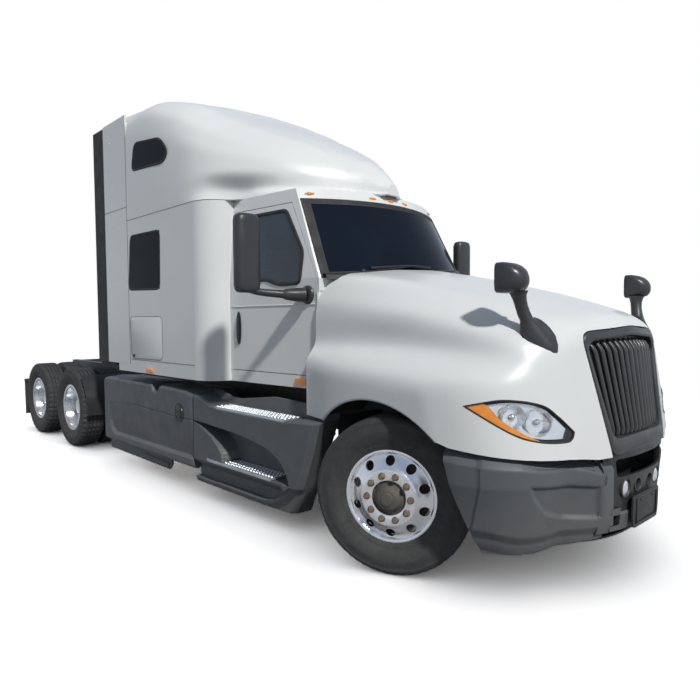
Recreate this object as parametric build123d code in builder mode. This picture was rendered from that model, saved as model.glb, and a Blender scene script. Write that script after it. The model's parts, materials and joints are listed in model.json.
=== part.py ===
"""Semi truck tractor unit: conventional cab, high-roof sleeper, tandem drive axles.

Millimetres. +X is forward, +Y is the vehicle's left, +Z is up. The origin is on the
ground, midway along the vehicle and on its centre plane. The front wheels stand turned
to the left by `rest_steer`, and everything that turns with them is built at that angle.
"""
from build123d import *
import os
from math import cos, radians, sin

os.makedirs("parts", exist_ok=True)

# ---------------------------------------------------------------- driving dimensions
# Lengths along the vehicle. A name ending in _x is a place, the others are distances.
overall_length = 8700
front_overhang = 1220
wheelbase = 5413
tandem_spacing = 1323
front_axle_x = overall_length / 2 - front_overhang
drive_axle_xs = (front_axle_x - wheelbase, front_axle_x - wheelbase - tandem_spacing)

# Running gear
tyre_radius = 512
tyre_width = 298
rim_radius = 286
rim_width = 234
rim_flange = 12.5
rim_wall = 18
seat_clearance = 0.3
hand_holes = 10
hand_hole_radius = 31
hand_hole_circle = 232
front_track_half = 1040
kingpin_half = 920
dual_half = 909
dual_spacing = 335
spindle_radius = 46
spindle_clearance = 0.5
rest_steer = 25
steer_arm = 165

# Chassis
rail_top_z = 1010
rail_height = 265
rail_flange = 88
rail_thickness = 9
rail_half = 432
rail_front_x = front_axle_x + 780
rail_rear_x = -overall_length / 2
crossmember_thickness = 60

# Cab: distances behind the front axle
cab_rear_x = front_axle_x - 1920
cab_corner_x = front_axle_x - 800
cowl_bow = 300
roof_bow = 235
firewall_bow = 10
cowl_z = 1860
cab_rear_half = 990
cab_front_half = 925
cab_roof_rear_half = 930
cab_roof_front_half = 845
cab_roof_setback = 360
cab_floor_z = 1100
cab_belt_z = 1960
cab_roof_z = 2700
cab_wall = 50
floor_thickness = 45
passage_half = 620
passage_top_z = cab_roof_z - 280
door_gap = 6
door_front_x = front_axle_x - 815
hinge_zs = (1400, 1800)
hinge_radius = 10
hinge_pin = 6
hinge_half = 45
hinge_middle_half = 12
door_rear_x = cab_rear_x + 25
door_bottom_z = 1205
door_top_z = cab_roof_z - 115
door_reach = 770
glass_thickness = 6
glass_clearance = 0.3

# Sleeper and roof
sleeper_rear_x = front_axle_x - 3810
sleeper_half = 1215
sleeper_corner = 240
sleeper_floor_z = 1100
sleeper_top_z = cab_roof_z
sleeper_wall = 45
roof_wall = 45

# Side extenders
extender_front_x = front_axle_x - 3520
extender_rear_x = front_axle_x - 4090
extender_rubber_x = front_axle_x - 4380
extender_thickness = 25
extender_bottom_z = 1180
extender_top_z = cab_roof_z + 1100

# Hood and front end
hood_skin = 25
hood_gap = 14
bumper_top_z = 800
bumper_bottom_z = 290
bumper_wall = 25
bumper_insert_half = 460
panel_gap = 0.6

# Side fairings
skirt_half = 1205
fairing_wall = 25
step_tread_thickness = 25
upper_step_z = 855
lower_step_z = 400
tank_radius = 275
tank_y = 845
tank_z = 650

# Fifth wheel
fifth_wheel_x = (drive_axle_xs[0] + drive_axle_xs[1]) / 2 + 60
fifth_wheel_top_z = 1220
fifth_wheel_thickness = 45
fifth_wheel_radius = 460
fifth_wheel_pivot_z = 1120
kingpin_bore = 25.5


def save(block, name):
    """Label a finished sub-part and write its STEP file."""
    block.part.label = name
    export_step(block.part, f"parts/{name}.step")


def side_name(side):
    """Name of a side of the vehicle: +1 is left, -1 is right."""
    return "left" if side > 0 else "right"


def side_planes(y):
    """XZ sketch planes at +y and -y, both with local x forward and their normals outboard."""
    return (
        Plane(origin=(0, y, 0), x_dir=(-1, 0, 0), z_dir=(0, 1, 0)),
        Plane(origin=(0, -y, 0), x_dir=(1, 0, 0), z_dir=(0, -1, 0)),
    )


# ---------------------------------------------------------------- frame rails
rail_bottom_z = rail_top_z - rail_height
with BuildPart() as frame_rails:
    with BuildSketch(Plane.YZ.offset(rail_rear_x)):
        with BuildLine():
            Polyline(
                (rail_half - rail_flange, rail_bottom_z),
                (rail_half, rail_bottom_z),
                (rail_half, rail_top_z),
                (rail_half - rail_flange, rail_top_z),
                (rail_half - rail_flange, rail_top_z - rail_thickness),
                (rail_half - rail_thickness, rail_top_z - rail_thickness),
                (rail_half - rail_thickness, rail_bottom_z + rail_thickness),
                (rail_half - rail_flange, rail_bottom_z + rail_thickness),
                close=True,
            )
        make_face()
        mirror(about=Plane.YZ)
    extrude(amount=rail_front_x - rail_rear_x)
save(frame_rails, "frame_rails")

# ---------------------------------------------------------------- crossmembers
crossmember_xs = (
    rail_front_x - crossmember_thickness / 2,
    front_axle_x - 2250,
    front_axle_x - 3300,
    front_axle_x - 4700,
    front_axle_x - 6070,
    rail_rear_x + crossmember_thickness / 2,
)
crossmember_half = rail_half - rail_thickness
with BuildPart() as crossmembers:
    for place in crossmember_xs:
        with BuildSketch(Plane.XY.offset(rail_bottom_z + rail_thickness)):
            with Locations((place, 0)):
                Rectangle(crossmember_thickness, 2 * crossmember_half)
        extrude(amount=rail_height - 2 * rail_thickness)
save(crossmembers, "crossmembers")

# ---------------------------------------------------------------- front axle and springs
beam_depth = 100
beam_drop_z = tyre_radius - 162
beam_height = 105
kingpin_boss_radius = 45
kingpin_boss_height = 140
kingpin_radius = 21.5
yoke_gap = 5
yoke_thickness = 40
spring_y = rail_half - 32
spring_pad_half = 560
with BuildPart() as front_axle:
    with BuildSketch(Plane.YZ.offset(front_axle_x - beam_depth / 2)):
        with BuildLine():
            Polyline(
                (0, beam_drop_z),
                (spring_pad_half, beam_drop_z),
                (kingpin_half - 90, tyre_radius - 60),
                (kingpin_half, tyre_radius - 60),
                (kingpin_half, tyre_radius + 40),
                (kingpin_half - 120, tyre_radius + 40),
                (spring_pad_half - 20, beam_drop_z + beam_height),
                (0, beam_drop_z + beam_height),
            )
            mirror(about=Plane.YZ)
        make_face()
    extrude(amount=beam_depth)
    with BuildSketch(Plane.XY.offset(tyre_radius - kingpin_boss_height / 2)):
        with Locations((front_axle_x, kingpin_half), (front_axle_x, -kingpin_half)):
            Circle(kingpin_boss_radius)
    extrude(amount=kingpin_boss_height)
    for side in (1, -1):
        with BuildSketch(Plane.XY.offset(0)):
            with Locations((front_axle_x, side * (kingpin_half + 100))):
                Rectangle(3 * beam_depth, 200)
            with Locations((front_axle_x, side * kingpin_half)):
                Circle(kingpin_boss_radius, mode=Mode.SUBTRACT)
        extrude(amount=1000, mode=Mode.SUBTRACT)
    with BuildSketch(Plane.XY):
        with Locations((front_axle_x, kingpin_half), (front_axle_x, -kingpin_half)):
            Circle(kingpin_radius + spindle_clearance)
    extrude(amount=1000, mode=Mode.SUBTRACT)
save(front_axle, "front_axle")

spring_width = 90
spring_leaf = 40
spring_eye = 70
spring_rear_x = front_axle_x - 740
spring_front_x = front_axle_x + 740
spring_seat_z = beam_drop_z + beam_height
with BuildPart() as front_springs:
    for plane in side_planes(spring_y - spring_width / 2):
        forward = 1 if plane.z_dir.Y < 0 else -1
        with BuildSketch(plane):
            with BuildLine():
                leaf_low = ThreePointArc(
                    (forward * spring_rear_x, rail_bottom_z - spring_eye),
                    (forward * front_axle_x, spring_seat_z + seat_clearance),
                    (forward * spring_front_x, rail_bottom_z - spring_eye),
                )
                Line(leaf_low @ 1, (forward * spring_front_x, rail_bottom_z))
                leaf_top = ThreePointArc(
                    (forward * (spring_front_x - spring_eye), rail_bottom_z - 50),
                    (forward * front_axle_x, spring_seat_z + spring_leaf),
                    (forward * (spring_rear_x + spring_eye), rail_bottom_z - 50),
                )
                Polyline(
                    leaf_low @ 1,
                    (forward * spring_front_x, rail_bottom_z),
                    (forward * (spring_front_x - spring_eye), rail_bottom_z),
                    leaf_top @ 0,
                )
                Polyline(
                    leaf_top @ 1,
                    (forward * (spring_rear_x + spring_eye), rail_bottom_z),
                    (forward * spring_rear_x, rail_bottom_z),
                    leaf_low @ 0,
                )
            make_face()
        extrude(amount=spring_width)
save(front_springs, "front_springs")

# ---------------------------------------------------------------- drive axles and rear suspension
axle_tube_radius = 68
axle_bowl_radius = 200
axle_end_y = 590
drum_radius = 205
hub_bore_depth = 170
with BuildPart() as drive_axles:
    for place in drive_axle_xs:
        axle_end = Plane(origin=(place, -axle_end_y, tyre_radius), x_dir=(1, 0, 0), z_dir=(0, 1, 0))
        spindle_end = Plane(
            origin=(place, -(dual_half + hub_bore_depth - 10), tyre_radius), x_dir=(1, 0, 0), z_dir=(0, 1, 0)
        )
        with BuildSketch(axle_end):
            Circle(axle_tube_radius)
        extrude(amount=2 * axle_end_y)
        with BuildSketch(spindle_end):
            Circle(spindle_radius)
        extrude(amount=2 * (dual_half + hub_bore_depth - 10))
        with BuildSketch(Plane(origin=(place + 150, 0, tyre_radius), x_dir=(0, 1, 0), z_dir=(-1, 0, 0))):
            Circle(axle_bowl_radius)
        extrude(amount=260, taper=12)
save(drive_axles, "drive_axles")

arm_width = 80
air_spring_radius = 105
arm_top_z = tyre_radius - axle_tube_radius - seat_clearance
with BuildPart() as rear_suspension:
    for plane in side_planes(rail_half - arm_width):
        forward = 1 if plane.z_dir.Y < 0 else -1
        for place in drive_axle_xs:
            with BuildSketch(plane):
                with BuildLine():
                    Polyline(
                        (forward * (place + 560), rail_bottom_z),
                        (forward * (place + 440), rail_bottom_z),
                        (forward * (place + 440), tyre_radius + 20),
                        (forward * (place + 60), arm_top_z),
                        (forward * (place - 480), arm_top_z),
                        (forward * (place - 480), arm_top_z - 55),
                        (forward * (place + 60), arm_top_z - 55),
                        (forward * (place + 560), tyre_radius - 45),
                        close=True,
                    )
                make_face()
            extrude(amount=arm_width)
    for place in drive_axle_xs:
        with BuildSketch(Plane.XY.offset(arm_top_z)):
            with Locations((place - 370, rail_half - arm_width / 2), (place - 370, arm_width / 2 - rail_half)):
                Circle(air_spring_radius)
        extrude(amount=rail_bottom_z - arm_top_z)
save(rear_suspension, "rear_suspension")

# ---------------------------------------------------------------- engine, radiator and driveline
engine_front_x = front_axle_x + 560
engine_rear_x = front_axle_x - 640
sump_z = 640
engine_top_z = 1560
engine_lower_half = rail_half - rail_flange - 20
engine_upper_half = rail_half - 32
with BuildPart() as engine:
    with BuildSketch(Plane.YZ.offset(engine_rear_x)):
        with BuildLine():
            Polyline(
                (0, sump_z),
                (engine_lower_half - 60, sump_z),
                (engine_lower_half, sump_z + 80),
                (engine_lower_half, rail_top_z + 20),
                (engine_upper_half, rail_top_z + 60),
                (engine_upper_half, engine_top_z - 160),
                (engine_upper_half - 140, engine_top_z),
                (0, engine_top_z),
            )
            mirror(about=Plane.YZ)
        make_face()
    extrude(amount=engine_front_x - engine_rear_x)
save(engine, "engine")

radiator_front_x = front_axle_x + 830
radiator_thickness = 90
radiator_half = 330
radiator_low_z = rail_top_z - rail_thickness + seat_clearance
radiator_top_z = 1480
with BuildPart() as radiator:
    with BuildSketch(Plane.YZ.offset(radiator_front_x - radiator_thickness)):
        with Locations((0, (radiator_low_z + radiator_top_z) / 2)):
            RectangleRounded(2 * radiator_half, radiator_top_z - radiator_low_z, 30)
    extrude(amount=radiator_thickness)
save(radiator, "radiator")

gearbox_rear_x = engine_rear_x - 900
shaft_radius = 55
with BuildPart() as driveline:
    with BuildSketch(Plane.YZ.offset(engine_rear_x)):
        with Locations((0, 830)):
            RectangleRounded(520, 340, 60)
    with BuildSketch(Plane.YZ.offset(gearbox_rear_x)):
        with Locations((0, 800)):
            RectangleRounded(300, 240, 60)
    loft(ruled=True)
    with BuildSketch(Plane.YZ.offset(gearbox_rear_x)):
        with Locations((0, 800)):
            Circle(shaft_radius)
    extrude(amount=-(gearbox_rear_x - crossmember_xs[1] - crossmember_thickness / 2))
save(driveline, "driveline")


# ---------------------------------------------------------------- cab form
def cab_plan(inset, z_part):
    """Half plan of the cab at the belt (z_part 0) or at the roof (z_part 1), set in by inset."""
    rear_half = cab_rear_half + z_part * (cab_roof_rear_half - cab_rear_half) - inset
    front_half = cab_front_half + z_part * (cab_roof_front_half - cab_front_half) - inset
    corner_x = cab_corner_x - z_part * cab_roof_setback - inset
    return rear_half, front_half, corner_x


def cab_outline(inset, z_part, bow):
    """Closed plan outline of the cab: flat rear, straight sides, front bowed forward by bow."""
    rear_half, front_half, corner_x = cab_plan(inset, z_part)
    rear_x = cab_rear_x + inset
    with BuildSketch() as outline:
        with BuildLine():
            Polyline(
                (corner_x, front_half), (rear_x, rear_half), (rear_x, -rear_half), (corner_x, -front_half)
            )
            ThreePointArc((corner_x, -front_half), (corner_x + bow, 0), (corner_x, front_half))
        make_face()
    return outline.sketch


def cab_form(inset, bottom_inset, top_inset):
    """Solid of the cab's outside, or of the space inside it when the insets are the walls."""
    with BuildPart() as form:
        with BuildSketch(Plane.XY.offset(cab_floor_z + bottom_inset)):
            add(cab_outline(inset, 0, firewall_bow))
        extrude(amount=cowl_z + inset - cab_floor_z - bottom_inset)
        with BuildSketch(Plane.XY.offset(cowl_z + inset)):
            add(cab_outline(inset, 0, cowl_bow))
        extrude(amount=cab_belt_z - cowl_z - inset)
        with BuildSketch(Plane.XY.offset(cab_belt_z)):
            add(cab_outline(inset, 0, cowl_bow))
        with BuildSketch(Plane.XY.offset(cab_roof_z - top_inset)):
            add(cab_outline(inset, 1, roof_bow))
        loft(ruled=True)
    return form.part


def door_outline(grow):
    """Side outline of a door, grown by the gap round it."""
    with BuildSketch() as outline:
        with BuildLine():
            Polyline(
                (door_front_x + grow, door_bottom_z - grow),
                (door_front_x + grow, 1930),
                (front_axle_x - 1190 + grow, door_top_z + grow),
                (door_rear_x - grow, door_top_z + grow),
                (door_rear_x - grow, door_bottom_z - grow),
                close=True,
            )
        make_face()
    return outline.sketch


def door_window_outline(grow):
    """Side outline of the door's window."""
    with BuildSketch() as outline:
        with BuildLine():
            Polyline(
                (front_axle_x - 1800 - grow, 1975 - grow),
                (front_axle_x - 1410, 1975 - grow),
                (front_axle_x - 1200, 1930 - grow),
                (front_axle_x - 1010 + grow, 1930 - grow),
                (front_axle_x - 1000 + grow, 2171),
                (front_axle_x - 1240 + grow / 2, door_top_z - 55 + grow),
                (front_axle_x - 1800 - grow, door_top_z - 55 + grow),
                close=True,
            )
        make_face()
    return outline.sketch


def windshield_outline(grow):
    """Front view of the windshield, lower edge just above the cowl."""
    with BuildSketch() as outline:
        with BuildLine():
            Polyline(
                (0, 2010 - grow),
                (860 + grow, 1985 - grow),
                (795 + grow, cab_roof_z - 120 + grow),
                (0, cab_roof_z - 110 + grow),
            )
            mirror(about=Plane.YZ)
        make_face()
    return outline.sketch


def hinge_barrels(radius, low, high):
    """Upright cylinders on both doors' hinge lines, from low to high about the middle of each hinge."""
    with BuildPart() as barrels:
        for middle in hinge_zs:
            with BuildSketch(Plane.XY.offset(middle + low)):
                with Locations((door_hinge_x, door_hinge_y), (door_hinge_x, -door_hinge_y)):
                    Circle(radius)
            extrude(amount=high - low)
    return barrels.part


door_hinge_x = door_front_x + door_gap / 2
cab_side_taper = (cab_rear_half - cab_front_half) / (cab_corner_x - cab_rear_x)
door_hinge_y = cab_front_half + cab_side_taper * (cab_corner_x - door_hinge_x)
cab_outside = cab_form(0, 0, 0)
cab_inside = cab_form(cab_wall, floor_thickness, cab_wall)
glass_inside = cab_form(glass_thickness, 0, 0)

with BuildPart() as cab_shell:
    add(cab_outside)
    add(cab_inside, mode=Mode.SUBTRACT)
    for side in (1, -1):
        with BuildSketch(Plane.XZ.offset(-side * door_reach)):
            add(door_outline(door_gap))
        extrude(amount=-side * cab_rear_half, mode=Mode.SUBTRACT)
    with BuildSketch(Plane.YZ.offset(front_axle_x - 1130)):
        add(windshield_outline(0))
    extrude(amount=1100, mode=Mode.SUBTRACT)
    with BuildSketch(Plane.YZ.offset(cab_rear_x - cab_wall)):
        with Locations((0, (cab_floor_z + floor_thickness + passage_top_z) / 2)):
            Rectangle(2 * passage_half, passage_top_z - cab_floor_z - floor_thickness)
    extrude(amount=3 * cab_wall, mode=Mode.SUBTRACT)
    for low, high in ((-hinge_half - 1, -hinge_middle_half), (hinge_middle_half, hinge_half + 1)):
        add(hinge_barrels(hinge_radius + 1, low, high), mode=Mode.SUBTRACT)
    add(hinge_barrels(hinge_radius, -hinge_middle_half, hinge_middle_half))
    add(hinge_barrels(hinge_pin, -hinge_half, hinge_half))
save(cab_shell, "cab_shell")

for side in (1, -1):
    with BuildPart() as door:
        add(cab_outside)
        add(cab_inside, mode=Mode.SUBTRACT)
        with BuildSketch(Plane.XZ.offset(-side * door_reach)):
            add(door_outline(0))
        extrude(amount=-side * cab_rear_half, mode=Mode.INTERSECT)
        with BuildSketch(Plane.XZ):
            add(door_window_outline(0))
        extrude(amount=-side * 2 * cab_rear_half, mode=Mode.SUBTRACT)
        for low, high in ((-hinge_half, -hinge_middle_half - 1), (hinge_middle_half + 1, hinge_half)):
            add(hinge_barrels(hinge_radius, low, high))
        add(hinge_barrels(hinge_radius + 1, -hinge_middle_half - 1, hinge_middle_half + 1), mode=Mode.SUBTRACT)
        add(hinge_barrels(hinge_pin + spindle_clearance, -hinge_half - 1, hinge_half + 1), mode=Mode.SUBTRACT)
        with BuildSketch(Plane.XZ):
            with Locations((door_hinge_x, door_bottom_z + 500)):
                Rectangle(1000, 2000)
        extrude(amount=side * 2 * cab_rear_half, mode=Mode.SUBTRACT)
    save(door, f"door_{side_name(side)}")
    with BuildPart() as door_glass:
        add(cab_outside)
        add(glass_inside, mode=Mode.SUBTRACT)
        with BuildSketch(Plane.XZ.offset(-side * door_reach)):
            add(door_window_outline(-glass_clearance))
        extrude(amount=-side * cab_rear_half, mode=Mode.INTERSECT)
    save(door_glass, f"door_glass_{side_name(side)}")

# ---------------------------------------------------------------- sleeper
sleeper_front_x = cab_rear_x
window_low = ((-3450, 2530), (-2790, 2520), (-2810, 1950), (-3510, 1970))
window_high_heights = ((-3310, 760), (-2755, 690), (-2600, 535), (-2700, 450), (-3380, 490))
window_high = [(x, cab_roof_z + height) for x, height in window_high_heights]


def sleeper_form(inset, bottom, top):
    """Solid of the sleeper box, its front corners rounded in to the cab's width."""
    with BuildPart() as form:
        with BuildSketch(Plane.XY.offset(bottom)):
            with BuildLine():
                Polyline(
                    (sleeper_front_x - inset, cab_rear_half - inset),
                    (sleeper_front_x - inset, inset - cab_rear_half),
                )
                ThreePointArc(
                    (sleeper_front_x - inset, inset - cab_rear_half),
                    (sleeper_front_x - 90 - inset, inset - sleeper_half + 55),
                    (sleeper_front_x - sleeper_corner, inset - sleeper_half),
                )
                Polyline(
                    (sleeper_front_x - sleeper_corner, inset - sleeper_half),
                    (sleeper_rear_x + inset, inset - sleeper_half),
                    (sleeper_rear_x + inset, sleeper_half - inset),
                    (sleeper_front_x - sleeper_corner, sleeper_half - inset),
                )
                ThreePointArc(
                    (sleeper_front_x - sleeper_corner, sleeper_half - inset),
                    (sleeper_front_x - 90 - inset, sleeper_half - inset - 55),
                    (sleeper_front_x - inset, cab_rear_half - inset),
                )
            make_face()
        extrude(amount=top - bottom)
    return form.part


def window_outline(corners, grow):
    """Side outline of a sleeper window from its corners, measured from the front axle."""
    with BuildSketch() as outline:
        with BuildLine():
            Polyline(*[(front_axle_x + x, z) for x, z in corners], close=True)
        make_face()
        if grow:
            offset(amount=grow, kind=Kind.INTERSECTION)
    return outline.sketch


with BuildPart() as extender_recess:
    for side in (1, -1):
        with BuildSketch(Plane.XZ.offset(-side * (sleeper_half - extender_thickness - seat_clearance))):
            with Locations((extender_front_x - 1000, (extender_bottom_z + extender_top_z) / 2)):
                Rectangle(2000, extender_top_z - extender_bottom_z + 2)
        extrude(amount=-side * 100)

with BuildPart() as sleeper_shell:
    add(sleeper_form(0, sleeper_floor_z, sleeper_top_z))
    add(sleeper_form(sleeper_wall, sleeper_floor_z + floor_thickness, sleeper_top_z), mode=Mode.SUBTRACT)
    with BuildSketch(Plane.YZ.offset(sleeper_front_x - 2 * sleeper_wall)):
        with Locations((0, (sleeper_floor_z + floor_thickness + passage_top_z) / 2)):
            Rectangle(2 * passage_half, passage_top_z - sleeper_floor_z - floor_thickness)
    extrude(amount=4 * sleeper_wall, mode=Mode.SUBTRACT)
    with BuildSketch(Plane.XZ.offset(-2 * sleeper_half)):
        add(window_outline(window_low, 0))
    extrude(amount=4 * sleeper_half, mode=Mode.SUBTRACT)
    add(extender_recess.part, mode=Mode.SUBTRACT)
save(sleeper_shell, "sleeper_shell")

# ---------------------------------------------------------------- roof fairing
# x behind the front axle; half width at the foot; then y and height above the cab roof of the ridge, the
# side's upper end and the top's outer edge; height of the top
roof_sections = (
    (-3810, sleeper_half, sleeper_half, 200, 1208, 1100, 1040, 1205, 1230),
    (-3100, sleeper_half, sleeper_half, 200, 1207, 980, 990, 1190, 1220),
    (-2560, sleeper_half, 1210, 200, 1195, 670, 850, 940, 1085),
    (-2160, sleeper_half - 2, 1185, 200, 1120, 480, 800, 740, 900),
    (-2010, 1155, 1128, 205, 1060, 430, 750, 690, 840),
    (-1925, 985, 1075, 205, 1015, 390, 710, 655, 800),
    (-1870, 918, 1042, 205, 985, 375, 680, 625, 770),
    (-1500, 880, 720, 200, 690, 260, 420, 480, 555),
    (-1200, 845, 400, 165, 380, 200, 220, 310, 395),
    (-1050, 590, 240, 110, 225, 130, 130, 200, 260),
    (-940, 190, 60, 30, 50, 40, 30, 50, 65),
)
# the rooms inside, over the sleeper and over the cab, with a bulkhead between them
roof_rooms = (roof_sections[:7], roof_sections[6:9])


def shoulder_arc(start, end, corner, fullness=0.41):
    """Arc from start to end that bulges towards the corner; 0.41 makes a square corner a quarter circle."""
    middle = tuple(
        (1 - fullness) * (first + last) / 2 + fullness * tip for first, last, tip in zip(start, end, corner)
    )
    return ThreePointArc(start, middle, end)


def roof_form(inset, sections):
    """Solid of the roof fairing over the sleeper and cab, set in by the wall."""
    with BuildPart() as form:
        for x, foot, *heights in sections:
            place = front_axle_x + x + (inset if x == sections[0][0] else 0)
            ridge, side_end, edge = zip(heights[:6:2], heights[1:6:2])
            side_point = (side_end[0] - inset, cab_roof_z + side_end[1] - inset / 2)
            edge_point = (edge[0] - inset / 2, cab_roof_z + edge[1] - inset)
            with BuildSketch(Plane.YZ.offset(place)):
                with BuildLine():
                    Polyline(
                        (0, sleeper_top_z), (foot - inset, sleeper_top_z),
                        (ridge[0] - inset, cab_roof_z + ridge[1]), side_point,
                    )
                    shoulder_arc(side_point, edge_point, (side_point[0], edge_point[1]))
                    Line(edge_point, (0, cab_roof_z + heights[-1] - inset))
                    mirror(about=Plane.YZ)
                make_face()
        loft(ruled=True)
    return form.part


with BuildPart() as roof_fairing:
    add(roof_form(0, roof_sections))
    for room in roof_rooms:
        add(roof_form(roof_wall, room), mode=Mode.SUBTRACT)
    with BuildSketch(Plane.XZ.offset(-2 * sleeper_half)):
        add(window_outline(window_high, 0))
    extrude(amount=4 * sleeper_half, mode=Mode.SUBTRACT)
    add(extender_recess.part, mode=Mode.SUBTRACT)
save(roof_fairing, "roof_fairing")

# ---------------------------------------------------------------- fixed glass
with BuildPart() as windshield:
    add(cab_outside)
    add(glass_inside, mode=Mode.SUBTRACT)
    with BuildSketch(Plane.YZ.offset(front_axle_x - 1130)):
        add(windshield_outline(-glass_clearance))
    extrude(amount=1100, mode=Mode.INTERSECT)
save(windshield, "windshield")

with BuildPart() as sleeper_windows:
    for plane in side_planes(sleeper_half - 30):
        with BuildSketch(plane):
            add(window_outline(window_low, -glass_clearance))
            add(window_outline(window_high, -glass_clearance))
            if plane.z_dir.Y > 0:
                mirror(about=Plane.YZ, mode=Mode.REPLACE)
        extrude(amount=glass_thickness)
save(sleeper_windows, "sleeper_windows")

# ---------------------------------------------------------------- cab interior
dash_front_x = cab_corner_x - cab_wall + 1.9
dash_rear_x = front_axle_x - 1160
dash_half = 770
cab_floor_top_z = cab_floor_z + floor_thickness
seat_y = 480
wheel_rake = 35
steering_wheel_radius = 225
column_length = 250
column_radius = 35
steering_wheel_plane = Plane(
    origin=(dash_rear_x - 170, seat_y, 1790),
    x_dir=(0, 1, 0),
    z_dir=(-cos(radians(wheel_rake)), 0, sin(radians(wheel_rake))),
)
with BuildPart() as dashboard:
    with BuildSketch(Plane.XZ.offset(-dash_half)):
        with BuildLine():
            Polyline(
                (dash_front_x, 1560), (dash_front_x, 1930), (dash_rear_x + 90, 1950), (dash_rear_x, 1860),
                (dash_rear_x + 30, 1640), (dash_front_x - 60, 1560), close=True,
            )
        make_face()
    extrude(amount=2 * dash_half)
    with BuildSketch(steering_wheel_plane):
        Circle(column_radius + spindle_clearance)
    extrude(amount=-column_length - 20, mode=Mode.SUBTRACT)
save(dashboard, "dashboard")

seat_x = front_axle_x - 1570
seat_half = 250
seat_low_z = 1445
cushion_top_z = 1560
seat_top_z = 2280
with BuildPart() as seats:
    for side in (1, -1):
        with BuildSketch(Plane.XY.offset(cab_floor_top_z)):
            with Locations((seat_x, side * seat_y)):
                RectangleRounded(300, 300, 60)
        extrude(amount=seat_low_z - cab_floor_top_z)
        with BuildSketch(Plane.XZ.offset(-side * seat_y - seat_half)):
            with BuildLine():
                Polyline(
                    (seat_x + 250, seat_low_z), (seat_x + 260, cushion_top_z), (seat_x - 130, cushion_top_z),
                    (seat_x - 210, 2080), (seat_x - 200, seat_top_z), (seat_x - 270, seat_top_z),
                    (seat_x - 300, 2060), (seat_x - 200, seat_low_z), close=True,
                )
            make_face()
        extrude(amount=2 * seat_half)
save(seats, "seats")

bunk_front_x = sleeper_front_x - 780
bunk_length = bunk_front_x - sleeper_rear_x - sleeper_wall - 2
bunk_middle_x = bunk_front_x - bunk_length / 2
bunk_base_height = 420
mattress_height = 180
with BuildPart() as bunk:
    with BuildSketch(Plane.XY.offset(sleeper_floor_z + floor_thickness)):
        with Locations((bunk_middle_x, 0)):
            Rectangle(bunk_length, 2 * (sleeper_half - sleeper_wall - 10))
    extrude(amount=bunk_base_height)
    with BuildSketch(Plane.XY.offset(sleeper_floor_z + floor_thickness + bunk_base_height)):
        with Locations((bunk_middle_x, 0)):
            RectangleRounded(bunk_length - 38, 2 * (sleeper_half - sleeper_wall - 40), 60)
    extrude(amount=mattress_height)
save(bunk, "bunk")

with BuildPart() as steering_wheel:
    with BuildSketch(steering_wheel_plane):
        Circle(steering_wheel_radius)
        Circle(steering_wheel_radius - 32, mode=Mode.SUBTRACT)
        Circle(70)
        for turn in (-20, 200, 270):
            with Locations(Rotation(0, 0, turn)):
                with Locations((130, 0)):
                    Rectangle(150, 36)
    extrude(amount=14, both=True)
    with BuildSketch(steering_wheel_plane.offset(-14)):
        Circle(column_radius)
    extrude(amount=14 - column_length)
save(steering_wheel, "steering_wheel")

# ---------------------------------------------------------------- nose form
nose_bow_half = 640
nose_setback = 115
nose_corner_length = 480


def nose_outline(centre_x, corner_x, side_half, inset):
    """Plan of the front end: straight sides, a tight corner each side and a flat bow between them."""
    side_y = side_half - inset
    side_end_x = corner_x - nose_corner_length
    bow_end_x = centre_x - nose_setback - inset
    with BuildSketch() as outline:
        with BuildLine():
            Polyline(
                (side_end_x, side_y),
                (front_axle_x - 1000, side_y),
                (front_axle_x - 1000, -side_y),
                (side_end_x, -side_y),
            )
            for side in (1, -1):
                corner = (corner_x + 30 - inset, side * (side_y - 20))
                shoulder_arc((side_end_x, side * side_y), (bow_end_x, side * nose_bow_half), corner, 0.36)
            ThreePointArc((bow_end_x, nose_bow_half), (centre_x - inset, 0), (bow_end_x, -nose_bow_half))
        make_face()
    return outline.sketch


def nose_form(low_z, low, high_z, high, inset):
    """Solid between two nose outlines, each given as centre x, corner x and half width."""
    with BuildPart() as form:
        with BuildSketch(Plane.XY.offset(low_z)):
            add(nose_outline(*low, inset))
        with BuildSketch(Plane.XY.offset(high_z)):
            add(nose_outline(*high, inset))
        loft(ruled=True)
    return form.part


# ---------------------------------------------------------------- bumper
bumper_low = (front_axle_x + 1175, front_axle_x + 1010, 1130)
bumper_high = (overall_length / 2, front_axle_x + 1090, 1200)
bumper_end_z = 890
bumper_nose_z = 700
bumper_slot_width = 740
fog_lamp_y = 230
fog_lamp_z = 610
fog_lamp_radius = 50


def bumper_side_profile():
    """Side view of what the bumper covers, its rear edge raked along the wheel arch."""
    with BuildSketch() as outline:
        with BuildLine():
            Polyline(
                (front_axle_x + tyre_radius + 15, bumper_end_z),
                (front_axle_x + tyre_radius + 208, bumper_bottom_z),
                (front_axle_x + 1400, bumper_bottom_z),
                (front_axle_x + 1400, bumper_top_z - 30),
                (front_axle_x + 1180, bumper_top_z - 25),
                (front_axle_x + 1080, bumper_top_z),
                close=True,
            )
        make_face()
    return outline.sketch


def bumper_form(inset):
    """Solid of the bumper: leaning out from its lower edge to its nose, upright above."""
    with BuildPart() as form:
        add(nose_form(bumper_bottom_z, bumper_low, bumper_nose_z, bumper_high, inset))
        with BuildSketch(Plane.XY.offset(bumper_nose_z)):
            add(nose_outline(*bumper_high, inset))
        extrude(amount=bumper_end_z - bumper_nose_z)
    return form.part


bumper_outside = bumper_form(0)
bumper_inside = bumper_form(bumper_wall)
with BuildPart() as bumper_skin:
    add(bumper_outside)
    add(bumper_inside, mode=Mode.SUBTRACT)
    with BuildSketch(Plane.XZ.offset(-1400)):
        add(bumper_side_profile())
    extrude(amount=2800, mode=Mode.INTERSECT)

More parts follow.
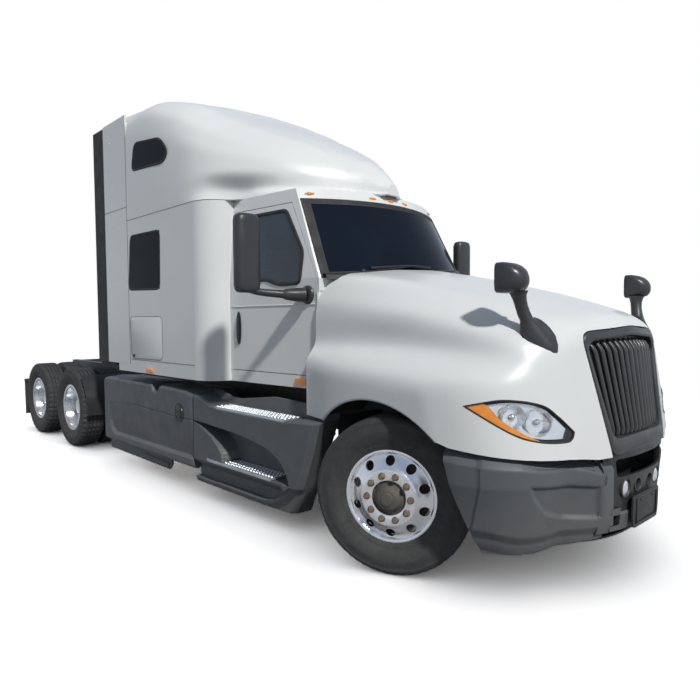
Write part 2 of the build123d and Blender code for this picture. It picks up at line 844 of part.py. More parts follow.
with BuildPart() as bumper:
    add(bumper_skin.part)
    with BuildSketch(Plane.XY):
        with Locations((front_axle_x, 0)):
            Rectangle(4000, 2 * bumper_insert_half)
    extrude(amount=2000, mode=Mode.SUBTRACT)
save(bumper, "bumper")

with BuildPart() as bumper_insert:
    add(bumper_skin.part)
    with BuildSketch(Plane.XY):
        with Locations((front_axle_x, 0)):
            Rectangle(4000, 2 * (bumper_insert_half - panel_gap / 2))
    extrude(amount=2000, mode=Mode.INTERSECT)
    with BuildSketch(Plane.YZ.offset(front_axle_x + 900)):
        with Locations((0, bumper_nose_z)):
            RectangleRounded(bumper_slot_width, 70, 25)
        with Locations((fog_lamp_y, fog_lamp_z), (-fog_lamp_y, fog_lamp_z)):
            Circle(fog_lamp_radius + seat_clearance)
    extrude(amount=600, mode=Mode.SUBTRACT)
save(bumper_insert, "bumper_insert")

# The hood tips forward about pins at the top of these brackets.
hood_hinge_x = front_axle_x + 1100
hood_hinge_z = 850
hinge_pin_radius = 9
hinge_lug = 14
bracket_inner = rail_half - 20
hood_lug_y = rail_half + 2 * seat_clearance
hood_lug_width = 22
with BuildPart() as bumper_brackets:
    for side in (1, -1):
        with BuildSketch(Plane.XZ.offset(-side * bracket_inner)):
            with BuildLine():
                Polyline(
                    (rail_front_x, rail_bottom_z - 90), (front_axle_x + 1300, rail_bottom_z - 90),
                    (front_axle_x + 1300, rail_bottom_z - 10), (hood_hinge_x - 25, rail_bottom_z - 10),
                    (hood_hinge_x - hinge_lug - 4, hood_hinge_z), (hood_hinge_x - 2 * hinge_lug, hood_hinge_z),
                    (hood_hinge_x - 60, rail_bottom_z - 10), (rail_front_x + 150, rail_bottom_z - 10),
                    (rail_front_x, rail_top_z - 30), close=True,
                )
            make_face()
            with Locations((hood_hinge_x - hinge_lug, hood_hinge_z)):
                Circle(hinge_lug)
            with Locations((hood_hinge_x, hood_hinge_z)):
                Circle(hinge_lug)
        extrude(amount=-side * (rail_half - bracket_inner))
    add(bumper_form(bumper_wall + seat_clearance), mode=Mode.INTERSECT)
    for side in (1, -1):
        with BuildSketch(Plane.XZ.offset(-side * bracket_inner)):
            with Locations((hood_hinge_x, hood_hinge_z)):
                Circle(hinge_pin_radius)
        extrude(amount=-side * (hood_lug_y + hood_lug_width - bracket_inner))
save(bumper_brackets, "bumper_brackets")

# ---------------------------------------------------------------- hood
hood_low = (overall_length / 2 - 6, front_axle_x + 1060, 1205)
hood_high = (front_axle_x + 1014, front_axle_x + 750, 1205)
hood_bottom_z = 822
hood_low_z = hood_bottom_z - 60
hood_nose_top_z = 2200
# x ahead of the front axle; crown z; then y and z of the shoulder, crease, valley and fender edge
hood_sections = (
    (-800, 2056, 840, 1982, 956, 1738, 955, 1432, 1045, 1380),
    (-420, 2030, 800, 1950, 960, 1712, 955, 1440, 1170, 1340),
    (80, 1920, 730, 1850, 965, 1672, 950, 1440, 1200, 1310),
    (600, 1795, 640, 1725, 950, 1575, 960, 1420, 1200, 1260),
    (1000, 1665, 540, 1600, 850, 1430, 900, 1330, 1170, 1130),
    (1240, 1570, 480, 1500, 720, 1300, 780, 1200, 1100, 1030),
)


def hood_form(inset):
    """Solid of the hood and its fenders, open below; the nose is trimmed to the front end's plan."""
    with BuildPart() as form:
        for x, crown_z, *points in hood_sections:
            crown = (0, crown_z - inset)
            shoulder, crease, valley, edge = (
                (half - inset, height - inset * drop)
                for half, height, drop in zip(points[::2], points[1::2], (1, 0.7, 0.4, 0.8))
            )
            bowed = (shoulder[0] * 0.55, crown[1] - (crown[1] - shoulder[1]) * 0.27)
            with BuildSketch(Plane.YZ.offset(front_axle_x + x)):
                with BuildLine():
                    ThreePointArc(crown, bowed, shoulder)
                    Polyline(shoulder, crease, valley, edge, (edge[0], hood_low_z), (0, hood_low_z))
                    mirror(about=Plane.YZ)
                make_face()
        loft(ruled=True)
        with BuildSketch(Plane.XY.offset(hood_bottom_z - 30)):
            add(nose_outline(*hood_low, inset))
        with BuildSketch(Plane.XY.offset(hood_nose_top_z)):
            add(nose_outline(*hood_high, inset))
        loft(ruled=True, mode=Mode.INTERSECT)
    return form.part


hood_rear_gap = cab_form(-hood_gap, -100, -100)
arch_half = tyre_radius + 48
fender_rear_z = 925
arch_top_z = 2 * tyre_radius + 106
grille_top_z = 1560
grille_bottom_z = hood_bottom_z
grille_top_half = 530
grille_bottom_half = 400
grille_frame = 45
grille_thickness = 60
grille_bars = 8
grille_centre_half = 34
headlamp_y = 960
headlamp_z = 1080


def grille_outline(grow):
    """Front view of the grille: a trapezium, wider above."""
    with BuildSketch() as outline:
        with BuildLine():
            Polyline(
                (0, grille_bottom_z - grow), (grille_bottom_half + grow, grille_bottom_z - grow),
                (grille_top_half + grow, grille_top_z - 60), (grille_top_half - 50 + grow, grille_top_z + grow),
                (0, grille_top_z + grow),
            )
            mirror(about=Plane.YZ)
        make_face()
    return outline.sketch


def headlamp_plane(side):
    """Plane that faces half forward and half outboard at a headlamp."""
    return Plane(
        origin=(front_axle_x + 900, side * headlamp_y, headlamp_z),
        x_dir=(-1, side, 0) if side > 0 else (1, -side, 0),
        z_dir=(1, side, 0),
    )


def headlamp_outline(side, grow):
    """Almond outline of a headlamp on its plane, its point to the rear."""
    tip, brow, knee, toe = (-305, 70), (110, 79), (287, -85), (240, -132)
    with BuildSketch() as outline:
        with BuildLine():
            ThreePointArc(tip, (-100, 108), brow)
            ThreePointArc(brow, (215, 5), knee)
            Line(knee, toe)
            ThreePointArc(toe, (-20, -88), tip)
        make_face()
        if grow:
            offset(amount=grow)
        if side > 0:
            mirror(about=Plane.YZ, mode=Mode.REPLACE)
    return outline.sketch


hood_outside = hood_form(0)
hood_inside = hood_form(hood_skin)
with BuildPart() as hood:
    add(hood_outside)
    add(hood_inside, mode=Mode.SUBTRACT)
    add(hood_rear_gap, mode=Mode.SUBTRACT)
    with BuildSketch(Plane.XY):
        with Locations((front_axle_x, 0)):
            Rectangle(4000, 4000)
    extrude(amount=hood_bottom_z, mode=Mode.SUBTRACT)
    with BuildSketch(Plane.XZ.offset(-1400)):
        with BuildLine():
            arch = ThreePointArc(
                (front_axle_x - arch_half, fender_rear_z),
                (front_axle_x - 10, arch_top_z),
                (front_axle_x + tyre_radius - 12, 930),
            )
            Polyline(
                arch @ 1, (front_axle_x + 580, 500), (front_axle_x - 1200, 500),
                (front_axle_x - 1200, fender_rear_z), arch @ 0,
            )
        make_face()
    extrude(amount=2800, mode=Mode.SUBTRACT)
    with BuildSketch(Plane.YZ.offset(front_axle_x + 950)):
        add(grille_outline(seat_clearance))
    extrude(amount=500, mode=Mode.SUBTRACT)
    for side in (1, -1):
        with BuildSketch(headlamp_plane(side).offset(-150)):
            add(headlamp_outline(side, seat_clearance))
        extrude(amount=500, mode=Mode.SUBTRACT)
        with BuildSketch(Plane.XZ.offset(-side * hood_lug_y)):
            with Locations((hood_hinge_x + 14, hood_hinge_z + 5)):
                Rectangle(70, 50)
        extrude(amount=-side * hood_lug_width)
    with BuildSketch(Plane.XZ.offset(-1400)):
        with BuildLine():
            Polyline(
                (front_axle_x + 400, 700), (front_axle_x + 400, 980), (front_axle_x + 1070, 850),
                (front_axle_x + 1140, 822), (front_axle_x + 1400, 822), (front_axle_x + 1400, 700), close=True,
            )
        make_face()
    extrude(amount=2800, mode=Mode.SUBTRACT)
    with BuildSketch(Plane.XZ.offset(-rail_half - 40)):
        with Locations((hood_hinge_x, hood_hinge_z)):
            Circle(hinge_pin_radius + spindle_clearance)
    extrude(amount=2 * rail_half + 80, mode=Mode.SUBTRACT)
save(hood, "hood")

lamp_inside = hood_form(40)
with BuildPart() as headlamps:
    add(hood_outside)
    add(lamp_inside, mode=Mode.SUBTRACT)
    with BuildSketch(headlamp_plane(1).offset(-150)) as left_lamp:
        add(headlamp_outline(1, 0))
    with BuildSketch(headlamp_plane(-1).offset(-150)) as right_lamp:
        add(headlamp_outline(-1, 0))
    extrude(amount=500, mode=Mode.INTERSECT)
save(headlamps, "headlamps")

grille_outside = nose_form(hood_bottom_z - 30, hood_low, hood_nose_top_z, hood_high, 0)
grille_inside = nose_form(hood_bottom_z - 30, hood_low, hood_nose_top_z, hood_high, grille_thickness)
bar_pitch = (grille_bottom_half - grille_frame - grille_centre_half) / grille_bars
with BuildPart() as grille:
    add(grille_outside)
    add(grille_inside, mode=Mode.SUBTRACT)
    with BuildSketch(Plane.YZ.offset(front_axle_x + 950)):
        add(grille_outline(0))
    extrude(amount=500, mode=Mode.INTERSECT)
    with BuildSketch(Plane.YZ.offset(front_axle_x + 950)):
        for bar in range(grille_bars):
            low_y = grille_centre_half + (bar + 0.5) * bar_pitch
            high_y = low_y * grille_top_half / grille_bottom_half
            with BuildLine():
                Polyline(
                    (low_y - bar_pitch * 0.22, grille_bottom_z + 110),
                    (low_y + bar_pitch * 0.22, grille_bottom_z + 110),
                    (high_y + bar_pitch * 0.25, grille_top_z - 80),
                    (high_y - bar_pitch * 0.25, grille_top_z - 80),
                    close=True,
                )
            make_face()
        mirror(about=Plane.YZ)
    extrude(amount=500, mode=Mode.SUBTRACT)
save(grille, "grille")


# ---------------------------------------------------------------- mirrors
hood_mirror_foot_z = 1440
hood_mirror_neck_z = 1755
hood_mirror_head_z = 1790
hood_mirror_head_height = 160
with BuildPart() as hood_mirrors:
    for side in (1, -1):
        foot = Plane(origin=(front_axle_x + 905, side * 745, hood_mirror_foot_z), x_dir=(1, 0, 0), z_dir=(0, 0, 1))
        neck = Plane(origin=(front_axle_x + 800, side * 775, hood_mirror_neck_z), x_dir=(1, 0, 0), z_dir=(0, 0, 1))
        head = Plane(origin=(front_axle_x + 805, side * 890, hood_mirror_head_z), x_dir=(1, 0, 0), z_dir=(0, 0, 1))
        with BuildSketch(foot):
            RectangleRounded(190, 80, 35)
        with BuildSketch(neck):
            RectangleRounded(85, 60, 25)
        loft(ruled=True)
        with BuildSketch(neck):
            RectangleRounded(85, 60, 25)
        with BuildSketch(head):
            RectangleRounded(145, 185, 30)
        loft(ruled=True)
        with BuildSketch(head):
            RectangleRounded(145, 185, 30)
        extrude(amount=hood_mirror_head_height)
    add(hood_outside, mode=Mode.SUBTRACT)
save(hood_mirrors, "hood_mirrors")

mirror_head_x = front_axle_x - 1110
mirror_head_y = 1365
mirror_head_width = 220
mirror_head_low_z = 1860
mirror_arm_z = 1785
mirror_arm_height = 100
for side in (1, -1):
    with BuildPart() as mirror_head:
        with BuildSketch(Plane.XY.offset(mirror_head_low_z)):
            with Locations((mirror_head_x, side * mirror_head_y)):
                RectangleRounded(110, mirror_head_width, 50)
        extrude(amount=570)
        with BuildSketch(Plane.XY.offset(mirror_arm_z)):
            with BuildLine():
                Polyline(
                    (front_axle_x - 870, side * cab_front_half), (front_axle_x - 870, side * 985),
                    (front_axle_x - 980, side * 1015), (mirror_head_x + 50, side * (mirror_head_y - 40)),
                    (mirror_head_x - 50, side * (mirror_head_y - 40)), (front_axle_x - 1130, side * 1000),
                    (front_axle_x - 1130, side * cab_front_half), close=True,
                )
            make_face()
        extrude(amount=mirror_arm_height)
        add(cab_form(-seat_clearance, 0, 0), mode=Mode.SUBTRACT)
    save(mirror_head, f"mirror_{side_name(side)}")

# ---------------------------------------------------------------- step fairings
step_fairing_inner = skirt_half - 265
step_fairing_rear_x = front_axle_x - 2255
arch_x = front_axle_x - tyre_radius - 28
step_recess = (front_axle_x - 2060, front_axle_x - 1010, lower_step_z + step_tread_thickness, 780)


def step_fairing_outline(inset):
    """Side view of the step fairing, raked along the wheel arch in front."""
    with BuildSketch() as outline:
        with BuildLine():
            Polyline(
                (step_fairing_rear_x + inset, upper_step_z - inset),
                (arch_x - 310, upper_step_z - inset),
                (arch_x - 100 - inset, fender_rear_z - 20 - inset),
                (arch_x - inset, fender_rear_z - 20 - inset),
                (arch_x - 238 - inset, 385),
                (arch_x - 349 - inset, 170 + inset),
                (step_fairing_rear_x + 125, 160 + inset),
                (step_fairing_rear_x + inset, 300),
                close=True,
            )
        make_face()
    return outline.sketch


with BuildPart() as step_fairings:
    for side in (1, -1):
        with BuildSketch(Plane.XZ.offset(-side * step_fairing_inner)):
            add(step_fairing_outline(0))
        extrude(amount=-side * (skirt_half - step_fairing_inner))
        with BuildSketch(Plane.XZ.offset(-side * step_fairing_inner)):
            add(step_fairing_outline(fairing_wall))
        extrude(amount=-side * (skirt_half - step_fairing_inner - fairing_wall), mode=Mode.SUBTRACT)
        low_x, high_x, low_z, high_z = step_recess
        with BuildSketch(Plane.XZ.offset(-side * step_fairing_inner)):
            with Locations(((low_x + high_x) / 2, (low_z + high_z) / 2)):
                Rectangle(high_x - low_x + 2 * fairing_wall, high_z - low_z + 2 * fairing_wall)
        extrude(amount=-side * (skirt_half - step_fairing_inner))
        with BuildSketch(Plane.XZ.offset(-side * (step_fairing_inner + fairing_wall))):
            with Locations(((low_x + high_x) / 2, (low_z + high_z) / 2)):
                Rectangle(high_x - low_x, high_z - low_z)
        extrude(amount=-side * skirt_half, mode=Mode.SUBTRACT)
        for place in (front_axle_x - 2150, front_axle_x - 1000):
            with BuildSketch(Plane.XZ.offset(-side * rail_half)):
                with Locations((place, 800)):
                    Rectangle(60, 80)
            extrude(amount=-side * (step_fairing_inner - rail_half))
save(step_fairings, "step_fairings")

with BuildPart() as step_treads:
    for side in (1, -1):
        with BuildSketch(Plane.XY.offset(upper_step_z)):
            with Locations((front_axle_x - 1345, side * (skirt_half - 105))):
                Rectangle(890, 190)
        extrude(amount=step_tread_thickness)
        with BuildSketch(Plane.XY.offset(lower_step_z + step_tread_thickness)):
            with Locations((front_axle_x - 1530, side * (skirt_half - 105))):
                Rectangle(930, 190)
        extrude(amount=step_tread_thickness)
save(step_treads, "step_treads")

# ---------------------------------------------------------------- tank fairings and tanks
tank_fairing_front_x = step_fairing_rear_x - 7
tank_fairing_rear_x = drive_axle_xs[0] + tyre_radius + 571
with BuildPart() as tank_fairings:
    for side in (1, -1):
        with BuildSketch(Plane.YZ.offset(tank_fairing_rear_x)):
            with BuildLine():
                Polyline(
                    (side * 700, 1010), (side * 1180, 1010), (side * skirt_half, 980), (side * skirt_half, 755),
                    (side * 1150, 300), (side * 1130, 170), (side * 1105, 170), (side * 1125, 310),
                    (side * (skirt_half - fairing_wall), 760), (side * (skirt_half - fairing_wall), 970),
                    (side * 1170, 985), (side * 700, 985), close=True,
                )
            make_face()
        extrude(amount=tank_fairing_front_x - tank_fairing_rear_x)
    with BuildSketch(Plane.XZ.offset(-1400)):
        with BuildLine():
            Polyline(
                (tank_fairing_rear_x + 180, 1010), (tank_fairing_front_x, 1010), (tank_fairing_front_x, 296),
                (tank_fairing_front_x - 378, 296), (tank_fairing_front_x - 438, 170),
                (tank_fairing_rear_x + 180, 170), (tank_fairing_rear_x + 120, 296), (tank_fairing_rear_x, 475),
                close=True,
            )
        make_face()
    extrude(amount=2800, mode=Mode.INTERSECT)
    for side in (1, -1):
        for place in (tank_fairing_front_x - 68, tank_fairing_rear_x + 220):
            with BuildSketch(Plane.XZ.offset(-side * rail_half)):
                with Locations((place, 955)):
                    Rectangle(50, 60)
            extrude(amount=-side * (800 - rail_half))
save(tank_fairings, "tank_fairings")

tank_rear_x = tank_fairing_rear_x + 350
tank_front_x = tank_fairing_front_x - 158
with BuildPart() as fuel_tanks:
    for side in (1, -1):
        with BuildSketch(Plane.YZ.offset(tank_rear_x)):
            with Locations((side * tank_y, tank_z)):
                Circle(tank_radius)
        extrude(amount=tank_front_x - tank_rear_x)
        for place in (tank_rear_x + 280, tank_front_x - 280):
            with BuildSketch(Plane.XZ.offset(-side * rail_half)):
                with Locations((place, rail_bottom_z + 90)):
                    Rectangle(80, 160)
            extrude(amount=-side * (tank_y - rail_half))
save(fuel_tanks, "fuel_tanks")

# ---------------------------------------------------------------- side extenders
with BuildPart() as side_extenders:
    for side in (1, -1):
        with BuildSketch(Plane.XZ.offset(-side * (sleeper_half - extender_thickness))):
            with Locations(((extender_front_x + extender_rear_x) / 2, (extender_bottom_z + extender_top_z) / 2)):
                Rectangle(extender_front_x - extender_rear_x - panel_gap, extender_top_z - extender_bottom_z)
        extrude(amount=-side * extender_thickness)
save(side_extenders, "side_extenders")

with BuildPart() as extender_edges:
    for side in (1, -1):
        with BuildSketch(Plane.XZ.offset(-side * (sleeper_half - extender_thickness + 3))):
            with Locations(((extender_rubber_x + extender_rear_x) / 2, (extender_bottom_z + extender_top_z) / 2)):
                Rectangle(extender_rear_x - extender_rubber_x - panel_gap, extender_top_z - extender_bottom_z - 20)
        extrude(amount=-side * (extender_thickness - 6))
save(extender_edges, "extender_edges")

# ---------------------------------------------------------------- quarter fenders and mudflaps
quarter_radius = tyre_radius + 55
quarter_thickness = 12
bracket_angle = radians(30)
with BuildPart() as quarter_fenders:
    for side in (1, -1):
        with BuildSketch(Plane.XZ.offset(-side * 600)):
            with BuildLine():
                outer = CenterArc((drive_axle_xs[0], tyre_radius), quarter_radius + quarter_thickness, -5, 55)
                inner = CenterArc((drive_axle_xs[0], tyre_radius), quarter_radius, -5, 55)
                Line(outer @ 0, inner @ 0)
                Line(outer @ 1, inner @ 1)
            make_face()
        extrude(amount=-side * 600)
        with BuildSketch(Plane.XZ.offset(-side * rail_half)):
            with Locations((
                drive_axle_xs[0] + quarter_radius * cos(bracket_angle) + 30,
                tyre_radius + quarter_radius * sin(bracket_angle),
            )):
                Rectangle(50, 50)
        extrude(amount=-side * 200)
save(quarter_fenders, "quarter_fenders")

mudflap_x = rail_rear_x + 30
mudflap_bar = 44
mudflap_half = 1190
mudflap_bottom_z = 200
mudflap_top_z = rail_bottom_z - mudflap_bar
with BuildPart() as mudflaps:
    for side in (1, -1):
        with BuildSketch(Plane.XZ.offset(-side * (rail_half - rail_flange))):
            with Locations((mudflap_x, rail_bottom_z - mudflap_bar / 2)):
                Rectangle(mudflap_bar, mudflap_bar)
        extrude(amount=-side * (mudflap_half - rail_half + rail_flange))
        with BuildSketch(Plane.YZ.offset(mudflap_x - 6)):
            with Locations((side * (mudflap_half - 300), (mudflap_bottom_z + mudflap_top_z) / 2)):
                Rectangle(600, mudflap_top_z - mudflap_bottom_z)
        extrude(amount=12)
save(mudflaps, "mudflaps")

# ---------------------------------------------------------------- lamps
roof_lamp_ys = (0, 200, -200, 740, -740)
roof_edge_x = cab_corner_x - cab_roof_setback
with BuildPart() as lamps:
    for y in roof_lamp_ys:
        with BuildSketch(Plane.XY.offset(cab_roof_z - 65)):
            with Locations((roof_edge_x + roof_bow * (1 - (y / cab_roof_front_half) ** 2) + 20, y)):
                RectangleRounded(70, 110, 25)
        extrude(amount=30)
    add(cab_outside, mode=Mode.SUBTRACT)
    for side in (1, -1):
        with BuildSketch(Plane.XZ.offset(-side * (sleeper_half + seat_clearance))):
            with Locations((front_axle_x - 3055, 1137)):
                RectangleRounded(130, 45, 20)
        extrude(amount=-side * 20)
        with BuildSketch(Plane.YZ.offset(front_axle_x + 1085)):
            with Locations((side * fog_lamp_y, fog_lamp_z)):
                Circle(fog_lamp_radius)
        extrude(amount=100)
save(lamps, "lamps")

# ---------------------------------------------------------------- fifth wheel
pivot_radius = 22
pivot_y = rail_half - 92
throat_x = fifth_wheel_x + 30
plate_low_z = fifth_wheel_top_z - fifth_wheel_thickness
with BuildPart() as fifth_wheel_base:
    for side in (1, -1):
        with BuildSketch(Plane.XZ.offset(-side * (pivot_y + 30))):
            with BuildLine():
                Polyline(
                    (fifth_wheel_x - 260, rail_top_z),
                    (fifth_wheel_x + 260, rail_top_z),
                    (fifth_wheel_x + 260, rail_top_z + 20),
                    (fifth_wheel_x + 60, fifth_wheel_pivot_z + 25),
                    (fifth_wheel_x - 60, fifth_wheel_pivot_z + 25),
                    (fifth_wheel_x - 260, rail_top_z + 20),
                    close=True,
                )
            make_face()
        extrude(amount=-side * 50)
        with BuildSketch(Plane.XZ.offset(-side * (pivot_y - 30))):
            with Locations((fifth_wheel_x, fifth_wheel_pivot_z)):
                Circle(pivot_radius)
        extrude(amount=-side * 70)
save(fifth_wheel_base, "fifth_wheel_base")

with BuildPart() as fifth_wheel_plate:
    with BuildSketch(Plane.XY.offset(plate_low_z)):
        with Locations((fifth_wheel_x, 0)):
            Circle(fifth_wheel_radius)
        with BuildLine():
            Polyline(
                (fifth_wheel_x - 700, 330),
                (fifth_wheel_x - 180, kingpin_bore),
                (throat_x, kingpin_bore),
                (throat_x, -kingpin_bore),
                (fifth_wheel_x - 180, -kingpin_bore),
                (fifth_wheel_x - 700, -330),
                close=True,
            )
        make_face(mode=Mode.SUBTRACT)
        with Locations((throat_x, 0)):
            Circle(kingpin_bore, mode=Mode.SUBTRACT)
    extrude(amount=fifth_wheel_thickness)
    for side in (1, -1):
        with BuildSketch(Plane.XZ.offset(-side * (pivot_y - 35))):
            with BuildLine():
                Polyline(
                    (fifth_wheel_x - 60, fifth_wheel_pivot_z - 40),
                    (fifth_wheel_x + 60, fifth_wheel_pivot_z - 40),
                    (fifth_wheel_x + 110, plate_low_z),
                    (fifth_wheel_x - 110, plate_low_z),
                    close=True,
                )
            make_face()
            with Locations((fifth_wheel_x, fifth_wheel_pivot_z)):
                Circle(pivot_radius + spindle_clearance, mode=Mode.SUBTRACT)
        extrude(amount=-side * 60)
save(fifth_wheel_plate, "fifth_wheel_plate")

# ---------------------------------------------------------------- cab mounts
with BuildPart() as cab_mounts:
    with BuildSketch(Plane.XY.offset(rail_top_z)):
        for place in (front_axle_x - 900, front_axle_x - 1850, front_axle_x - 3700):
            with Locations((place, rail_half - rail_flange / 2), (place, rail_flange / 2 - rail_half)):
                RectangleRounded(120, rail_flange, 20)
    extrude(amount=cab_floor_z - rail_top_z)
save(cab_mounts, "cab_mounts")

# ---------------------------------------------------------------- knuckles and tie rod
steer_cos = cos(radians(rest_steer))
steer_sin = sin(radians(rest_steer))
boss_low_z = tyre_radius - kingpin_boss_height / 2
boss_high_z = tyre_radius + kingpin_boss_height / 2
spindle_offset = front_track_half - kingpin_half
web_inner = spindle_offset - 75
web_outer = spindle_offset - 52
hub_inner = -47
hub_mouth = 140


def steered(side, ahead, outward):
    """Point that stands ahead and outward of a kingpin, measured in the turned wheel's directions."""
    return (
        front_axle_x + ahead * steer_cos - side * outward * steer_sin,
        side * kingpin_half + ahead * steer_sin + side * outward * steer_cos,
    )


for side in (1, -1):
    outboard = (-side * steer_sin, side * steer_cos, 0)
    with BuildPart() as knuckle:
        for low_z in (boss_low_z - yoke_gap - yoke_thickness, boss_high_z + yoke_gap):
            yoke_plane = Plane(
                origin=(front_axle_x, side * kingpin_half, low_z), x_dir=(steer_cos, steer_sin, 0), z_dir=(0, 0, 1)
            )
            with BuildSketch(yoke_plane):
                Circle(48)
                with Locations((0, side * web_outer / 2)):
                    Rectangle(96, web_outer)
                if low_z < boss_low_z:
                    with Locations((-steer_arm / 2, 0)):
                        Rectangle(steer_arm, 50)
                    with Locations((-steer_arm, 0)):
                        Circle(25)
            extrude(amount=yoke_thickness)
        with BuildSketch(Plane(origin=(*steered(side, 0, web_inner), tyre_radius), x_dir=(0, 0, 1), z_dir=outboard)):
            Rectangle(kingpin_boss_height + 2 * (yoke_gap + yoke_thickness), 96)
        extrude(amount=web_outer - web_inner)
        with BuildSketch(Plane(origin=(*steered(side, 0, web_outer), tyre_radius), x_dir=(0, 0, 1), z_dir=outboard)):
            Circle(spindle_radius)
        extrude(amount=hub_mouth + spindle_offset - web_outer - 10)
        with BuildSketch(Plane.XY.offset(boss_low_z - yoke_gap - yoke_thickness)):
            with Locations((front_axle_x, side * kingpin_half)):
                Circle(kingpin_radius)
        extrude(amount=kingpin_boss_height + 2 * (yoke_gap + yoke_thickness))
        with BuildSketch(Plane.XY.offset(boss_low_z - yoke_gap - yoke_thickness - 25)):
            with Locations(steered(side, -steer_arm, 0)):
                Circle(12)
        extrude(amount=30)
    save(knuckle, f"knuckle_{side_name(side)}")

rod_top_z = boss_low_z - yoke_gap - yoke_thickness - spindle_clearance
with BuildPart() as tie_rod:
    with BuildSketch(Plane.XY.offset(rod_top_z - 30)):
        with Locations(steered(1, -steer_arm, 0), steered(-1, -steer_arm, 0)):
            Circle(28)
    extrude(amount=30)
    rod_end = steered(-1, -steer_arm, 0)
    with BuildSketch(Plane(origin=(rod_end[0], rod_end[1], rod_top_z - 16), x_dir=(1, 0, 0), z_dir=(0, 1, 0))):
        Circle(16)
    extrude(amount=2 * kingpin_half)
    with BuildSketch(Plane.XY.offset(rod_top_z - 60)):
        with Locations(steered(1, -steer_arm, 0), steered(-1, -steer_arm, 0)):
            Circle(12 + spindle_clearance)
    extrude(amount=100, mode=Mode.SUBTRACT)
save(tie_rod, "tie_rod")


# ---------------------------------------------------------------- wheels
def revolve_profile(centre, outboard, points):
    """Ring of the points (distance outboard, radius), joined in order, turned about a wheel's axis."""
    section = Plane(origin=centre, x_dir=outboard, z_dir=Vector(*outboard).cross(Vector(0, 0, 1)))
    with BuildPart() as ring:
        with BuildSketch(section):
            with BuildLine():
                Polyline(*points, close=True)
            make_face()
        revolve(axis=Axis(centre, outboard))
    return ring.part


def tyre_ring(centre, outboard, shift):
    """One tyre, its middle shifted outboard of the centre."""
    half = tyre_width / 2
    points = (
        (-100, rim_radius + seat_clearance), (100, rim_radius + seat_clearance), (rim_width / 2 - 14, rim_radius + 14),
        (half - 14, rim_radius + 60), (half, rim_radius + 105), (half - 6, tyre_radius - 60),
        (half - 26, tyre_radius - 14), (half - 42, tyre_radius), (42 - half, tyre_radius),
        (26 - half, tyre_radius - 14), (6 - half, tyre_radius - 60),
        (-half, rim_radius + 105), (14 - half, rim_radius + 60), (14 - rim_width / 2, rim_radius + 14),
    )
    return revolve_profile(centre, outboard, [(shift + a, r) for a, r in points])


def rim_ring(centre, outboard, shift):
    """One rim barrel with its two flanges."""
    half = rim_width / 2
    points = (
        (-half, rim_radius - rim_wall), (half, rim_radius - rim_wall), (half, rim_radius + rim_flange),
        (half - 10, rim_radius + rim_flange), (half - 12, rim_radius), (12 - half, rim_radius),
        (10 - half, rim_radius + rim_flange), (-half, rim_radius + rim_flange),
    )
    return revolve_profile(centre, outboard, [(shift + a, r) for a, r in points])


def cut_hand_holes(low, high, centre, outboard):
    """Ring of round plugs that cut the hand holes through a wheel's disc."""
    with BuildPart() as plugs:
        with BuildSketch(Plane(origin=centre, x_dir=(0, 0, 1), z_dir=outboard).offset(low)):
            with PolarLocations(hand_hole_circle, hand_holes):
                Circle(hand_hole_radius)
        extrude(amount=high - low)
    return plugs.part


rim_inner = rim_radius - rim_wall
for side in (1, -1):
    centre = (*steered(side, 0, spindle_offset), tyre_radius)
    outboard = (-side * steer_sin, side * steer_cos, 0)
    with BuildPart() as tyre:
        add(tyre_ring(centre, outboard, 0))
    save(tyre, f"tyre_front_{side_name(side)}")
    with BuildPart() as wheel:
        add(rim_ring(centre, outboard, 0))
        add(revolve_profile(centre, outboard, (
            (hub_inner, spindle_radius + spindle_clearance), (hub_inner, 205), (hub_inner + 34, 205),
            (hub_inner + 34, 95), (135, 95), (135, 190), (60, rim_inner + 1), (90, rim_inner + 1),
            (160, 200), (160, 108), (210, 100), (210, 0), (hub_mouth, 0),
            (hub_mouth, spindle_radius + spindle_clearance),
        )))
        add(cut_hand_holes(30, 220, centre, outboard), mode=Mode.SUBTRACT)
    save(wheel, f"wheel_front_{side_name(side)}")
    for axle, place in zip(("front_drive", "rear_drive"), drive_axle_xs):
        centre = (place, side * dual_half, tyre_radius)
        outboard = (0, side, 0)
        with BuildPart() as tyres:
            add(tyre_ring(centre, outboard, dual_spacing / 2))
            add(tyre_ring(centre, outboard, -dual_spacing / 2))
        save(tyres, f"tyres_{axle}_{side_name(side)}")
        with BuildPart() as wheels:
            add(rim_ring(centre, outboard, dual_spacing / 2))
            add(rim_ring(centre, outboard, -dual_spacing / 2))
            add(revolve_profile(centre, outboard, (
                (-285, spindle_radius + spindle_clearance), (-285, drum_radius), (-60, drum_radius), (-60, 110),
                (-22, 110), (-22, 200), (-95, rim_inner + 1), (-70, rim_inner + 1), (0, 205), (70, rim_inner + 1),
                (95, rim_inner + 1), (22, 200), (22, 110), (160, 100), (200, 85), (200, 0), (hub_bore_depth, 0),
                (hub_bore_depth, spindle_radius + spindle_clearance),
            )))
            add(cut_hand_holes(-110, 110, centre, outboard), mode=Mode.SUBTRACT)
        save(wheels, f"wheels_{axle}_{side_name(side)}")
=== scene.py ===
"""Looks of a conventional-cab tractor unit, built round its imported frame.

Metres, in the frame's own axes: +X is forward, +Y is the vehicle's left, +Z is up.
"""

import json
import logging
import math
from dataclasses import dataclass, field
from enum import Enum
from typing import Callable, Iterable, Sequence

import bmesh
import bpy
import numpy as np
from mathutils import Matrix, Vector


